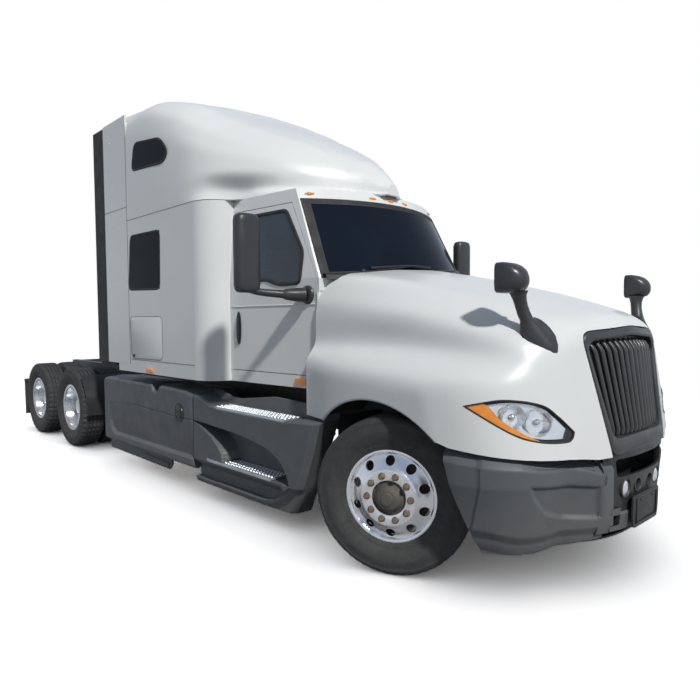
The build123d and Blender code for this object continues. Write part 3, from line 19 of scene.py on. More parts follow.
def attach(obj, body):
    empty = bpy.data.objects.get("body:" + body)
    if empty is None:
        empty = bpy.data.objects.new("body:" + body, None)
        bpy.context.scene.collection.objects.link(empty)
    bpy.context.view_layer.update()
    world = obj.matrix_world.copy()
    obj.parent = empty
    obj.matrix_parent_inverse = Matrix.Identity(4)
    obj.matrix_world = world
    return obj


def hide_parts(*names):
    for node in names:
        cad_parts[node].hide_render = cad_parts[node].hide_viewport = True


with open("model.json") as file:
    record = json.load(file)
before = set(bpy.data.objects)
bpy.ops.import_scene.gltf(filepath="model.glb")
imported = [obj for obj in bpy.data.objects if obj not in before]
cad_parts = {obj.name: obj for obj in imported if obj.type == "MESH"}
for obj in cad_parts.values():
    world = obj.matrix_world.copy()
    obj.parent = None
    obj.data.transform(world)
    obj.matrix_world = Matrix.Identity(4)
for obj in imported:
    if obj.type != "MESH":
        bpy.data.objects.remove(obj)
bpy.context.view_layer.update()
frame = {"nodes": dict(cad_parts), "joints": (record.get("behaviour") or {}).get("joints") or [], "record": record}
log = logging.getLogger("tractor")

Point = Sequence[float]
Colour = tuple[float, float, float]

FRONT_AXLE_X = next(j["pos_m"][0] for j in frame["joints"] if j["name"] == "steer_left")


# ---------------------------------------------------------------- effects shared by finishes
class Effect(Enum):
    """Shader node groups that several finishes share."""

    GRAIN = "Grain"
    CLOUD = "Cloud"
    DUST = "Dust"
    WEAVE = "Weave"
    BRUSHED = "Brushed"


def _socket(group: bpy.types.NodeTree, name: str, way: str, kind: str, value: float | None = None) -> None:
    """Add one named socket to a node group.

    Args:
        group: the node group.
        name: what the socket is called.
        way: INPUT or OUTPUT.
        kind: the socket's type.
        value: what an input starts at.
    """
    made = group.interface.new_socket(name, in_out=way, socket_type=kind)
    if value is not None:
        made.default_value = value


class EffectLibrary:
    """Builds each shared node group once and hands it out by name."""

    def __init__(self) -> None:
        """Start with nothing built."""
        self._built: dict[Effect, bpy.types.NodeTree] = {}
        self._makers: dict[Effect, Callable[[bpy.types.NodeTree], None]] = {
            Effect.GRAIN: self._grain,
            Effect.CLOUD: self._cloud,
            Effect.DUST: self._dust,
            Effect.WEAVE: self._weave,
            Effect.BRUSHED: self._brushed,
        }

    def get(self, effect: Effect) -> bpy.types.NodeTree:
        """Node group of an effect, made on first use.

        Args:
            effect: which effect.

        Returns:
            The shader node group.
        """
        if effect not in self._built:
            group = bpy.data.node_groups.new(effect.value, "ShaderNodeTree")
            self._makers[effect](group)
            self._built[effect] = group
        return self._built[effect]

    @staticmethod
    def _ends(group: bpy.types.NodeTree) -> tuple[bpy.types.Node, bpy.types.Node]:
        """Input and output nodes of a group."""
        return group.nodes.new("NodeGroupInput"), group.nodes.new("NodeGroupOutput")

    def _grain(self, group: bpy.types.NodeTree) -> None:
        """Moulded grain: a height from fine cells and noise.

        Args:
            group: the empty group to fill.
        """
        _socket(group, "Scale", "INPUT", "NodeSocketFloat", 900.0)
        _socket(group, "Height", "OUTPUT", "NodeSocketFloat")
        start, end = self._ends(group)
        place = group.nodes.new("ShaderNodeTexCoord")
        cells = group.nodes.new("ShaderNodeTexVoronoi")
        noise = group.nodes.new("ShaderNodeTexNoise")
        blend = group.nodes.new("ShaderNodeMath")
        blend.operation = "MULTIPLY"
        noise.inputs["Detail"].default_value = 3.0
        for texture in (cells, noise):
            group.links.new(place.outputs["Object"], texture.inputs["Vector"])
            group.links.new(start.outputs["Scale"], texture.inputs["Scale"])
        group.links.new(cells.outputs["Distance"], blend.inputs[0])
        group.links.new(noise.outputs["Fac"], blend.inputs[1])
        group.links.new(blend.outputs[0], end.inputs["Height"])

    def _cloud(self, group: bpy.types.NodeTree) -> None:
        """Slow unevenness of a finish: a mask from 0 to 1.

        Args:
            group: the empty group to fill.
        """
        _socket(group, "Scale", "INPUT", "NodeSocketFloat", 2.0)
        _socket(group, "Mask", "OUTPUT", "NodeSocketFloat")
        start, end = self._ends(group)
        place = group.nodes.new("ShaderNodeTexCoord")
        noise = group.nodes.new("ShaderNodeTexNoise")
        noise.inputs["Detail"].default_value = 6.0
        noise.inputs["Roughness"].default_value = 0.6
        spread = group.nodes.new("ShaderNodeMapRange")
        spread.inputs["From Min"].default_value = 0.3
        spread.inputs["From Max"].default_value = 0.7
        group.links.new(place.outputs["Object"], noise.inputs["Vector"])
        group.links.new(start.outputs["Scale"], noise.inputs["Scale"])
        group.links.new(noise.outputs["Fac"], spread.inputs["Value"])
        group.links.new(spread.outputs["Result"], end.inputs["Mask"])

    def _dust(self, group: bpy.types.NodeTree) -> None:
        """Road dust that lies thicker low down, broken up by noise: a mask from 0 to 1.

        Args:
            group: the empty group to fill.
        """
        _socket(group, "Clean Height", "INPUT", "NodeSocketFloat", 1.2)
        _socket(group, "Amount", "INPUT", "NodeSocketFloat", 0.3)
        _socket(group, "Mask", "OUTPUT", "NodeSocketFloat")
        start, end = self._ends(group)
        place = group.nodes.new("ShaderNodeTexCoord")
        split = group.nodes.new("ShaderNodeSeparateXYZ")
        low = group.nodes.new("ShaderNodeMapRange")
        low.inputs["To Min"].default_value = 1.0
        low.inputs["To Max"].default_value = 0.0
        noise = group.nodes.new("ShaderNodeTexNoise")
        noise.inputs["Scale"].default_value = 14.0
        noise.inputs["Detail"].default_value = 8.0
        noise.inputs["Roughness"].default_value = 0.7
        broken = group.nodes.new("ShaderNodeMath")
        broken.operation = "MULTIPLY"
        scaled = group.nodes.new("ShaderNodeMath")
        scaled.operation = "MULTIPLY"
        scaled.use_clamp = True
        group.links.new(place.outputs["Object"], split.inputs[0])
        group.links.new(place.outputs["Object"], noise.inputs["Vector"])
        group.links.new(split.outputs["Z"], low.inputs["Value"])
        group.links.new(start.outputs["Clean Height"], low.inputs["From Max"])
        group.links.new(low.outputs["Result"], broken.inputs[0])
        group.links.new(noise.outputs["Fac"], broken.inputs[1])
        group.links.new(broken.outputs[0], scaled.inputs[0])
        group.links.new(start.outputs["Amount"], scaled.inputs[1])
        group.links.new(scaled.outputs[0], end.inputs["Mask"])

    def _weave(self, group: bpy.types.NodeTree) -> None:
        """Plain weave: crossed waves as a height.

        Args:
            group: the empty group to fill.
        """
        _socket(group, "Scale", "INPUT", "NodeSocketFloat", 300.0)
        _socket(group, "Height", "OUTPUT", "NodeSocketFloat")
        start, end = self._ends(group)
        place = group.nodes.new("ShaderNodeTexCoord")
        join = group.nodes.new("ShaderNodeMath")
        join.operation = "MAXIMUM"
        for slot_number, direction in enumerate(("X", "Z")):
            wave = group.nodes.new("ShaderNodeTexWave")
            wave.bands_direction = direction
            wave.inputs["Distortion"].default_value = 0.6
            group.links.new(place.outputs["Object"], wave.inputs["Vector"])
            group.links.new(start.outputs["Scale"], wave.inputs["Scale"])
            group.links.new(wave.outputs["Fac"], join.inputs[slot_number])
        group.links.new(join.outputs[0], end.inputs["Height"])

    def _brushed(self, group: bpy.types.NodeTree) -> None:
        """Fine turning marks and small scuffs on bright metal: a mask from 0 to 1.

        Args:
            group: the empty group to fill.
        """
        _socket(group, "Scale", "INPUT", "NodeSocketFloat", 30.0)
        _socket(group, "Mask", "OUTPUT", "NodeSocketFloat")
        start, end = self._ends(group)
        place = group.nodes.new("ShaderNodeTexCoord")
        stretch = group.nodes.new("ShaderNodeMapping")
        stretch.inputs["Scale"].default_value = (1.0, 12.0, 1.0)
        noise = group.nodes.new("ShaderNodeTexNoise")
        noise.inputs["Detail"].default_value = 10.0
        noise.inputs["Roughness"].default_value = 0.75
        group.links.new(place.outputs["Object"], stretch.inputs["Vector"])
        group.links.new(stretch.outputs["Vector"], noise.inputs["Vector"])
        group.links.new(start.outputs["Scale"], noise.inputs["Scale"])
        group.links.new(noise.outputs["Fac"], end.inputs["Mask"])


EFFECTS = EffectLibrary()


# ---------------------------------------------------------------- finishes
@dataclass(frozen=True)
class Finish:
    """A surface finish and what makes it uneven: colour, gloss, grain, dust."""

    name: str
    slot: str
    colour: Colour
    shade: Colour
    roughness: float = 0.5
    roughness_spread: float = 0.1
    metallic: float = 0.0
    cloud_scale: float = 2.0
    surface: Effect = Effect.GRAIN
    surface_scale: float = 900.0
    bump: float = 0.0
    bump_depth: float = 0.001
    dust: float = 0.0
    dust_top: float = 1.3
    dust_colour: Colour = (0.36, 0.32, 0.27)
    coat: float = 0.0
    coat_roughness: float = 0.05
    transmission: float = 0.0
    ior: float = 1.5
    alpha: float = 1.0
    sheen: float = 0.0
    specular: float = 0.5
    emission: float = 0.0

    def material(self) -> bpy.types.Material:
        """Blender material of this finish, made once."""
        known = bpy.data.materials.get(f"{self.name}_finish")
        return known if known else self._build()

    def _build(self) -> bpy.types.Material:
        """Make the node tree of the finish.

        Returns:
            The new material.
        """
        made = bpy.data.materials.new(f"{self.name}_finish")
        made.use_nodes = True
        tree = made.node_tree
        shader = tree.nodes["Principled BSDF"]
        self._set_constants(shader)
        colour = self._mix(tree, self._mask(tree, Effect.CLOUD, self.cloud_scale), self.shade, self.colour)
        if self.dust > 0.0:
            film = self._group(tree, Effect.DUST)
            film.inputs["Clean Height"].default_value = self.dust_top
            film.inputs["Amount"].default_value = self.dust
            dusted = tree.nodes.new("ShaderNodeMix")
            dusted.data_type = "RGBA"
            dusted.inputs["B"].default_value = (*self.dust_colour, 1.0)
            tree.links.new(film.outputs["Mask"], dusted.inputs["Factor"])
            tree.links.new(colour, dusted.inputs["A"])
            colour = dusted.outputs["Result"]
        tree.links.new(colour, shader.inputs["Base Color"])
        self._link_roughness(tree, shader)
        self._link_bump(tree, shader)
        return made

    def _set_constants(self, shader: bpy.types.Node) -> None:
        """Set what is the same all over the surface on the shader's own sockets.

        Args:
            shader: the material's Principled BSDF.
        """
        for socket, value in (
            ("Metallic", self.metallic), ("Coat Weight", self.coat), ("Coat Roughness", self.coat_roughness),
            ("Transmission Weight", self.transmission), ("IOR", self.ior), ("Alpha", self.alpha),
            ("Sheen Weight", self.sheen), ("Specular IOR Level", self.specular),
            ("Emission Strength", self.emission),
        ):
            shader.inputs[socket].default_value = value
        shader.inputs["Emission Color"].default_value = (*self.colour, 1.0)

    @staticmethod
    def _group(tree: bpy.types.NodeTree, effect: Effect) -> bpy.types.Node:
        """Place a shared effect in a material.

        Args:
            tree: the material's node tree.
            effect: the shared effect to place.

        Returns:
            The placed node.
        """
        node = tree.nodes.new("ShaderNodeGroup")
        node.node_tree = EFFECTS.get(effect)
        return node

    def _mask(self, tree: bpy.types.NodeTree, effect: Effect, scale: float) -> bpy.types.NodeSocket:
        """Mask output of an effect at a scale.

        Args:
            tree: the material's node tree.
            effect: the shared effect to place.
            scale: how fine the effect is.

        Returns:
            The socket that holds it.
        """
        node = self._group(tree, effect)
        node.inputs["Scale"].default_value = scale
        return node.outputs["Mask"]

    @staticmethod
    def _mix(tree: bpy.types.NodeTree, mask: bpy.types.NodeSocket, low: Colour, high: Colour) -> bpy.types.NodeSocket:
        """Colour that goes from low to high with the mask.

        Args:
            tree: the material's node tree.
            mask: where the second colour shows.
            low: the colour where the mask is 0.
            high: the colour where it is 1.

        Returns:
            The socket that holds it.
        """
        node = tree.nodes.new("ShaderNodeMix")
        node.data_type = "RGBA"
        node.inputs["A"].default_value = (*low, 1.0)
        node.inputs["B"].default_value = (*high, 1.0)
        tree.links.new(mask, node.inputs["Factor"])
        return node.outputs["Result"]

    def _link_roughness(self, tree: bpy.types.NodeTree, shader: bpy.types.Node) -> None:
        """Roughness that wanders about its value.

        Args:
            tree: the material's node tree.
            shader: the material's Principled BSDF.
        """
        effect = Effect.BRUSHED if self.surface is Effect.BRUSHED else Effect.CLOUD
        mask = self._mask(tree, effect, self.cloud_scale * 3.0)
        spread = tree.nodes.new("ShaderNodeMapRange")
        spread.inputs["To Min"].default_value = max(0.02, self.roughness - self.roughness_spread)
        spread.inputs["To Max"].default_value = min(1.0, self.roughness + self.roughness_spread)
        tree.links.new(mask, spread.inputs["Value"])
        tree.links.new(spread.outputs["Result"], shader.inputs["Roughness"])

    def _link_bump(self, tree: bpy.types.NodeTree, shader: bpy.types.Node) -> None:
        """Fine relief of the surface.

        Args:
            tree: the material's node tree.
            shader: the material's Principled BSDF.
        """
        if self.bump <= 0.0:
            return
        relief = self._group(tree, self.surface)
        relief.inputs["Scale"].default_value = self.surface_scale
        bump = tree.nodes.new("ShaderNodeBump")
        bump.inputs["Strength"].default_value = self.bump
        bump.inputs["Distance"].default_value = self.bump_depth
        output = relief.outputs["Mask" if self.surface is Effect.BRUSHED else "Height"]
        tree.links.new(output, bump.inputs["Height"])
        tree.links.new(bump.outputs["Normal"], shader.inputs["Normal"])


WHITE_PAINT = Finish(
    "white_paint", "white_paint", (0.80, 0.81, 0.81), (0.75, 0.76, 0.77), roughness=0.30, roughness_spread=0.02,
    cloud_scale=0.9, bump=0.05, bump_depth=0.0006, surface_scale=260.0, dust=0.16, dust_top=1.5, coat=0.40,
    coat_roughness=0.16,
)
GREY_PLASTIC = Finish(
    "grained_grey_plastic", "grey_plastic", (0.105, 0.112, 0.122), (0.085, 0.092, 0.10), roughness=0.55,
    cloud_scale=3.0, bump=0.35, bump_depth=0.0009, surface_scale=420.0, dust=0.22, dust_top=0.9,
)
BLACK_PLASTIC = Finish(
    "black_plastic", "black_plastic", (0.022, 0.023, 0.026), (0.016, 0.017, 0.019), roughness=0.42,
    cloud_scale=4.0, bump=0.2, bump_depth=0.0006, surface_scale=600.0, dust=0.10, dust_top=1.0,
)
FRAME_PAINT = Finish(
    "frame_paint", "frame_paint", (0.035, 0.036, 0.040), (0.028, 0.026, 0.024), roughness=0.5, cloud_scale=5.0,
    bump=0.2, surface_scale=120.0, dust=0.5, dust_top=1.3,
)
CAST_METAL = Finish(
    "cast_metal", "cast_black", (0.055, 0.05, 0.047), (0.03, 0.028, 0.027), roughness=0.68, cloud_scale=9.0,
    bump=0.6, bump_depth=0.002, surface_scale=160.0, dust=0.6, dust_top=1.4,
)
BLACK_RUBBER = Finish(
    "black_rubber", "black_rubber", (0.018, 0.018, 0.019), (0.028, 0.028, 0.029), roughness=0.72, cloud_scale=3.0,
    bump=0.25, bump_depth=0.0008, surface_scale=380.0, dust=0.12, dust_top=1.6,
)
TYRE_RUBBER = Finish(
    "tyre_rubber", "tyre_rubber", (0.030, 0.030, 0.031), (0.020, 0.020, 0.021), roughness=0.78, cloud_scale=7.0,
    bump=0.3, bump_depth=0.001, surface_scale=420.0, dust=0.34, dust_top=1.3, dust_colour=(0.24, 0.235, 0.235),
)
POLISHED_ALUMINIUM = Finish(
    "polished_aluminium", "polished_aluminium", (0.83, 0.84, 0.86), (0.70, 0.71, 0.73), roughness=0.20,
    roughness_spread=0.10, metallic=0.88, cloud_scale=6.0, surface=Effect.BRUSHED, surface_scale=40.0, bump=0.05,
)
TREAD_ALUMINIUM = Finish(
    "tread_aluminium", "tread_aluminium", (0.56, 0.58, 0.61), (0.40, 0.42, 0.45), roughness=0.42,
    roughness_spread=0.12, metallic=0.7, cloud_scale=12.0, surface=Effect.BRUSHED, surface_scale=60.0, bump=0.1,
)
TINTED_GLASS = Finish(
    "tinted_glass", "tinted_glass", (0.30, 0.36, 0.44), (0.26, 0.32, 0.40), roughness=0.03, roughness_spread=0.01,
    transmission=0.92, ior=1.45, specular=0.6, cloud_scale=1.0,
)
TRIM_GREY = Finish(
    "trim_grey", "trim_grey", (0.10, 0.10, 0.105), (0.08, 0.08, 0.084), roughness=0.6, bump=0.3, surface_scale=300.0,
)
SEAT_CLOTH = Finish(
    "seat_cloth", "seat_cloth", (0.055, 0.057, 0.064), (0.040, 0.041, 0.046), roughness=0.9, bump=0.5,
    surface=Effect.WEAVE, surface_scale=220.0, sheen=0.3, cloud_scale=5.0,
)
BEDDING = Finish(
    "bedding", "bedding", (0.16, 0.17, 0.20), (0.12, 0.13, 0.155), roughness=0.92, bump=0.4,
    surface=Effect.WEAVE, surface_scale=160.0, sheen=0.3, cloud_scale=3.0,
)
AMBER_LENS = Finish(
    "amber_lens", "amber_lens", (0.86, 0.30, 0.02), (0.72, 0.20, 0.01), roughness=0.18, coat=0.6, cloud_scale=20.0,
    emission=0.12,
)
LAMP_GLASS = Finish(
    "lamp_glass", "lamp_glass", (0.92, 0.95, 0.97), (0.88, 0.92, 0.95), roughness=0.03, roughness_spread=0.01,
    transmission=1.0, ior=1.3, cloud_scale=3.0, alpha=0.22,
)
MACHINED_STEEL = Finish(
    "machined_steel", "machined_steel", (0.20, 0.19, 0.18), (0.09, 0.08, 0.07), roughness=0.42,
    roughness_spread=0.2, metallic=0.7, cloud_scale=6.0, surface=Effect.BRUSHED, surface_scale=20.0, bump=0.2,
)
BLACK_PLASTIC_SATIN = Finish(
    "satin_black_plastic", "black_plastic", (0.040, 0.042, 0.046), (0.030, 0.032, 0.035), roughness=0.38,
    cloud_scale=4.0, bump=0.15, bump_depth=0.0005, surface_scale=700.0, dust=0.10, dust_top=1.6,
)
CHROME_TRIM = Finish(
    "chrome_trim", "polished_aluminium", (0.86, 0.87, 0.88), (0.76, 0.77, 0.79), roughness=0.10,
    roughness_spread=0.05, metallic=1.0, cloud_scale=14.0, surface=Effect.BRUSHED, surface_scale=80.0, bump=0.03,
)
RUSTY_NUT = Finish(
    "weathered_nut", "cast_black", (0.30, 0.22, 0.16), (0.12, 0.085, 0.065), roughness=0.62, roughness_spread=0.2,
    metallic=0.35, cloud_scale=60.0, bump=0.5, surface_scale=300.0,
)
CLEAR_LENS = Finish(
    "clear_lens", "lamp_glass", (0.80, 0.83, 0.86), (0.66, 0.70, 0.74), roughness=0.08, coat=0.8, cloud_scale=30.0,
    metallic=0.5, bump=0.2, surface_scale=120.0,
)
# Window glass: its near-black colour is painted shade of the unlit cab interior behind it, and its blue cast is a
# painted reflection of the sky.
GLASS_WITH_PAINTED_SHADE = Finish(
    "dark_glass", "tinted_glass", (0.012, 0.018, 0.030), (0.007, 0.011, 0.020), roughness=0.04, roughness_spread=0.02,
    transmission=0.12, ior=1.22, specular=0.12, cloud_scale=0.8,
)
SEAM_BLACK = Finish(
    "seam_black", "black_rubber", (0.03, 0.032, 0.036), (0.02, 0.021, 0.024), roughness=0.7, cloud_scale=6.0,
)
MIRROR_GLASS = Finish(
    "mirror_glass", "polished_aluminium", (0.80, 0.82, 0.84), (0.74, 0.76, 0.78), roughness=0.03,
    roughness_spread=0.01, metallic=1.0, cloud_scale=5.0,
)
SLOT_FINISHES = {
    finish.slot: finish
    for finish in (
        WHITE_PAINT, GREY_PLASTIC, BLACK_PLASTIC, FRAME_PAINT, CAST_METAL, BLACK_RUBBER, TYRE_RUBBER,
        POLISHED_ALUMINIUM, TREAD_ALUMINIUM, TINTED_GLASS, TRIM_GREY, SEAT_CLOTH, BEDDING, AMBER_LENS,
        LAMP_GLASS, MACHINED_STEEL,
    )
}


# ---------------------------------------------------------------- mesh tools
def ahead(distance: float) -> float:
    """Place along the vehicle of a distance ahead of the front axle."""
    return FRONT_AXLE_X + distance


def smooth_step(value: np.ndarray, low: float, high: float) -> np.ndarray:
    """0 below low, 1 above high, and an eased rise between them."""
    part = np.clip((value - low) / (high - low), 0.0, 1.0)
    return part * part * (3.0 - 2.0 * part)


def blur(values: np.ndarray, axis: int, width: float) -> np.ndarray:
    """Gaussian smoothing along one axis, the ends held.

    Args:
        values: grid of numbers.
        axis: which axis to smooth along.
        width: standard deviation in samples.

    Returns:
        The smoothed grid.
    """
    reach = int(math.ceil(3 * width))
    kernel = np.exp(-0.5 * (np.arange(-reach, reach + 1) / width) ** 2)
    kernel /= kernel.sum()
    pads = [(reach, reach) if number == axis else (0, 0) for number in range(values.ndim)]
    padded = np.pad(values, pads, mode="edge")
    return np.apply_along_axis(lambda row: np.convolve(row, kernel, mode="valid"), axis, padded)


def round_corners(points: Sequence[Point], radius: float, steps: int = 6) -> np.ndarray:
    """Closed outline with each corner cut by a smooth curve.

    Args:
        points: the corners, in order.
        radius: how far from a corner its curve starts.
        steps: points on each curve.

    Returns:
        The rounded outline as an array of points.
    """
    corners = np.asarray(points, float)
    out = []
    for number, corner in enumerate(corners):
        before, after = corners[number - 1], corners[(number + 1) % len(corners)]
        start = corner + (before - corner) * min(0.48, radius / np.linalg.norm(before - corner))
        end = corner + (after - corner) * min(0.48, radius / np.linalg.norm(after - corner))
        for part in np.linspace(0.0, 1.0, steps):
            out.append((1 - part) ** 2 * start + 2 * part * (1 - part) * corner + part**2 * end)
    return np.array(out)


def spline(points: Sequence[Point], count: int, closed: bool = False) -> np.ndarray:
    """Even points on a smooth curve through the given ones.

    Args:
        points: what the curve passes through.
        count: how many points come back.
        closed: whether the last joins the first.

    Returns:
        Array of count points.
    """
    knots = np.asarray(points, float)
    around = np.vstack([knots[-1:], knots, knots[:2]]) if closed else np.vstack(
        [2 * knots[0] - knots[1], knots, 2 * knots[-1] - knots[-2]]
    )
    out = []
    for a, b, c, d in zip(around, around[1:], around[2:], around[3:]):
        for part in np.linspace(0.0, 1.0, 16, endpoint=False):
            out.append(
                0.5 * (2 * b + (c - a) * part + (2 * a - 5 * b + 4 * c - d) * part**2
                       + (3 * b - a - 3 * c + d) * part**3)
            )
    out.append(knots[0] if closed else knots[-1])
    dense = np.array(out)
    length = np.concatenate([[0.0], np.cumsum(np.linalg.norm(np.diff(dense, axis=0), axis=1))])
    wanted = np.linspace(0.0, length[-1], count, endpoint=not closed)
    return np.stack([np.interp(wanted, length, dense[:, axis]) for axis in range(dense.shape[1])], axis=1)


@dataclass
class Shape:
    """Points and faces of a mesh in the making."""

    points: list[tuple[float, ...]] = field(default_factory=list)
    faces: list[tuple[int, ...]] = field(default_factory=list)

    def join(self, other: "Shape") -> "Shape":
        """Add another shape's points and faces to this one.

        Args:
            other: the shape to add.

        Returns:
            This shape.
        """
        start = len(self.points)
        self.points.extend(other.points)
        self.faces.extend(tuple(index + start for index in face) for face in other.faces)
        return self

    def mirrored(self) -> "Shape":
        """Copy on the other side of the vehicle."""
        return Shape([(x, -y, z) for x, y, z in self.points], [face[::-1] for face in self.faces])

    def both_sides(self) -> "Shape":
        """This shape and its copy on the other side."""
        return Shape(list(self.points), list(self.faces)).join(self.mirrored())

    def moved(self, matrix: Matrix) -> "Shape":
        """Copy of the shape taken through a matrix."""
        return Shape([tuple(matrix @ Vector(point)) for point in self.points], list(self.faces))

    @staticmethod
    def grid(rows: np.ndarray, wrap: bool = False) -> "Shape":
        """Sheet over rows of points.

        Args:
            rows: array of rows, columns and coordinates.
            wrap: whether each row closes on itself.

        Returns:
            The sheet.
        """
        count, across = rows.shape[:2]
        last = across if wrap else across - 1
        faces = [
            (i * across + j, i * across + (j + 1) % across, (i + 1) * across + (j + 1) % across, (i + 1) * across + j)
            for i in range(count - 1) for j in range(last)
        ]
        return Shape([tuple(map(float, point)) for point in rows.reshape(-1, 3)], faces)

    @staticmethod
    def loft(rings: Sequence[np.ndarray], caps: bool = True) -> "Shape":
        """Closed rings joined in order, with flat ends.

        Args:
            rings: rings of equal numbers of points.
            caps: whether the ends are closed.

        Returns:
            The skin over the rings.
        """
        rows = np.array(rings)
        made = Shape.grid(rows, wrap=True)
        if caps:
            across = rows.shape[1]
            made.faces.append(tuple(range(across))[::-1])
            made.faces.append(tuple((len(rows) - 1) * across + j for j in range(across)))
        return made

    @staticmethod
    def prism(outline: np.ndarray, origin: Point, along: Point, up: Point, depth: float) -> "Shape":
        """Outline in a plane, pushed out square to it.

        Args:
            outline: flat points, measured along and up.
            origin: where the outline's zero is.
            along: direction of the outline's first measure.
            up: direction of its second measure.
            depth: how far it is pushed, along the cross product of along and up.

        Returns:
            The prism.
        """
        first, second = Vector(along).normalized(), Vector(up).normalized()
        push = first.cross(second) * depth
        base = [Vector(origin) + first * u + second * v for u, v in outline]
        rings = [np.array(base), np.array([point + push for point in base])]
        return Shape.loft(rings)

    @staticmethod
    def tube(path: np.ndarray, radius: float | Sequence[float], sides: int = 10, flat: float = 1.0,
             closed: bool = False) -> "Shape":
        """Round or flattened bar along a path.

        Args:
            path: points of its centre line.
            radius: one radius, or one for each point.
            sides: points round it.
            flat: how thick it is against its width.
            closed: whether the path is a loop.

        Returns:
            The bar.
        """
        path = np.asarray(path, float)
        radii = np.broadcast_to(radius, len(path))
        rings = []
        normal = None
        for number, centre in enumerate(path):
            if closed:
                step = path[(number + 1) % len(path)] - path[number - 1]
            else:
                step = path[min(number + 1, len(path) - 1)] - path[max(number - 1, 0)]
            run = Vector(step).normalized()
            if normal is None:
                normal = run.cross(Vector((0, 0, 1))) if abs(run.z) < 0.9 else run.cross(Vector((0, 1, 0)))
            normal = (normal - run * normal.dot(run)).normalized()
            other = run.cross(normal)
            turns = np.linspace(0, 2 * math.pi, sides, endpoint=False)
            rings.append(np.array([
                Vector(centre) + (normal * math.cos(a) + other * math.sin(a) * flat) * radii[number] for a in turns
            ]))
        if closed:
            rings.append(rings[0])
        return Shape.loft(rings, caps=not closed)

    @staticmethod
    def lathe(profile: Sequence[Point], centre: Point, axis: Point, sides: int = 64, closed: bool = True) -> "Shape":
        """Profile of (distance along the axis, radius) turned about it.

        Args:
            profile: the points turned.
            centre: zero of the axis.
            axis: direction of the axis.
            sides: steps round.
            closed: whether the profile's ends join.

        Returns:
            The turned skin.
        """
        run = Vector(axis).normalized()
        across = run.cross(Vector((0, 0, 1))).normalized() if abs(run.z) < 0.9 else Vector((1, 0, 0))
        third = run.cross(across)
        rows = []
        for turn in np.linspace(0, 2 * math.pi, sides, endpoint=False):
            spoke = across * math.cos(turn) + third * math.sin(turn)
            rows.append([Vector(centre) + run * along + spoke * radius for along, radius in profile])
        rows.append(rows[0])
        return Shape.grid(np.array(rows), wrap=closed)

    @staticmethod
    def pad(centre: Point, size: Point, power: float = 4.0, count: int = 28) -> "Shape":
        """Closed soft-cornered block: a superellipsoid.

        Args:
            centre: its middle.
            size: its full length, width and height.
            power: 2 is an ellipsoid, more is squarer.
            count: how fine it is.

        Returns:
            The block.
        """
        def bent(value: np.ndarray) -> np.ndarray:
            """Raise to the block's power, keeping the sign."""
            return np.sign(value) * np.abs(value) ** (2.0 / power)
        lat = np.linspace(-math.pi / 2, math.pi / 2, count)
        lon = np.linspace(0, 2 * math.pi, 2 * count, endpoint=False)
        wide = bent(np.cos(lat))[:, None]
        rows = np.stack([
            centre[0] + 0.5 * size[0] * wide * bent(np.cos(lon))[None, :],
            centre[1] + 0.5 * size[1] * wide * bent(np.sin(lon))[None, :],
            centre[2] + 0.5 * size[2] * bent(np.sin(lat))[:, None] * np.ones((1, 2 * count)),
        ], axis=-1)
        return Shape.grid(rows, wrap=True)


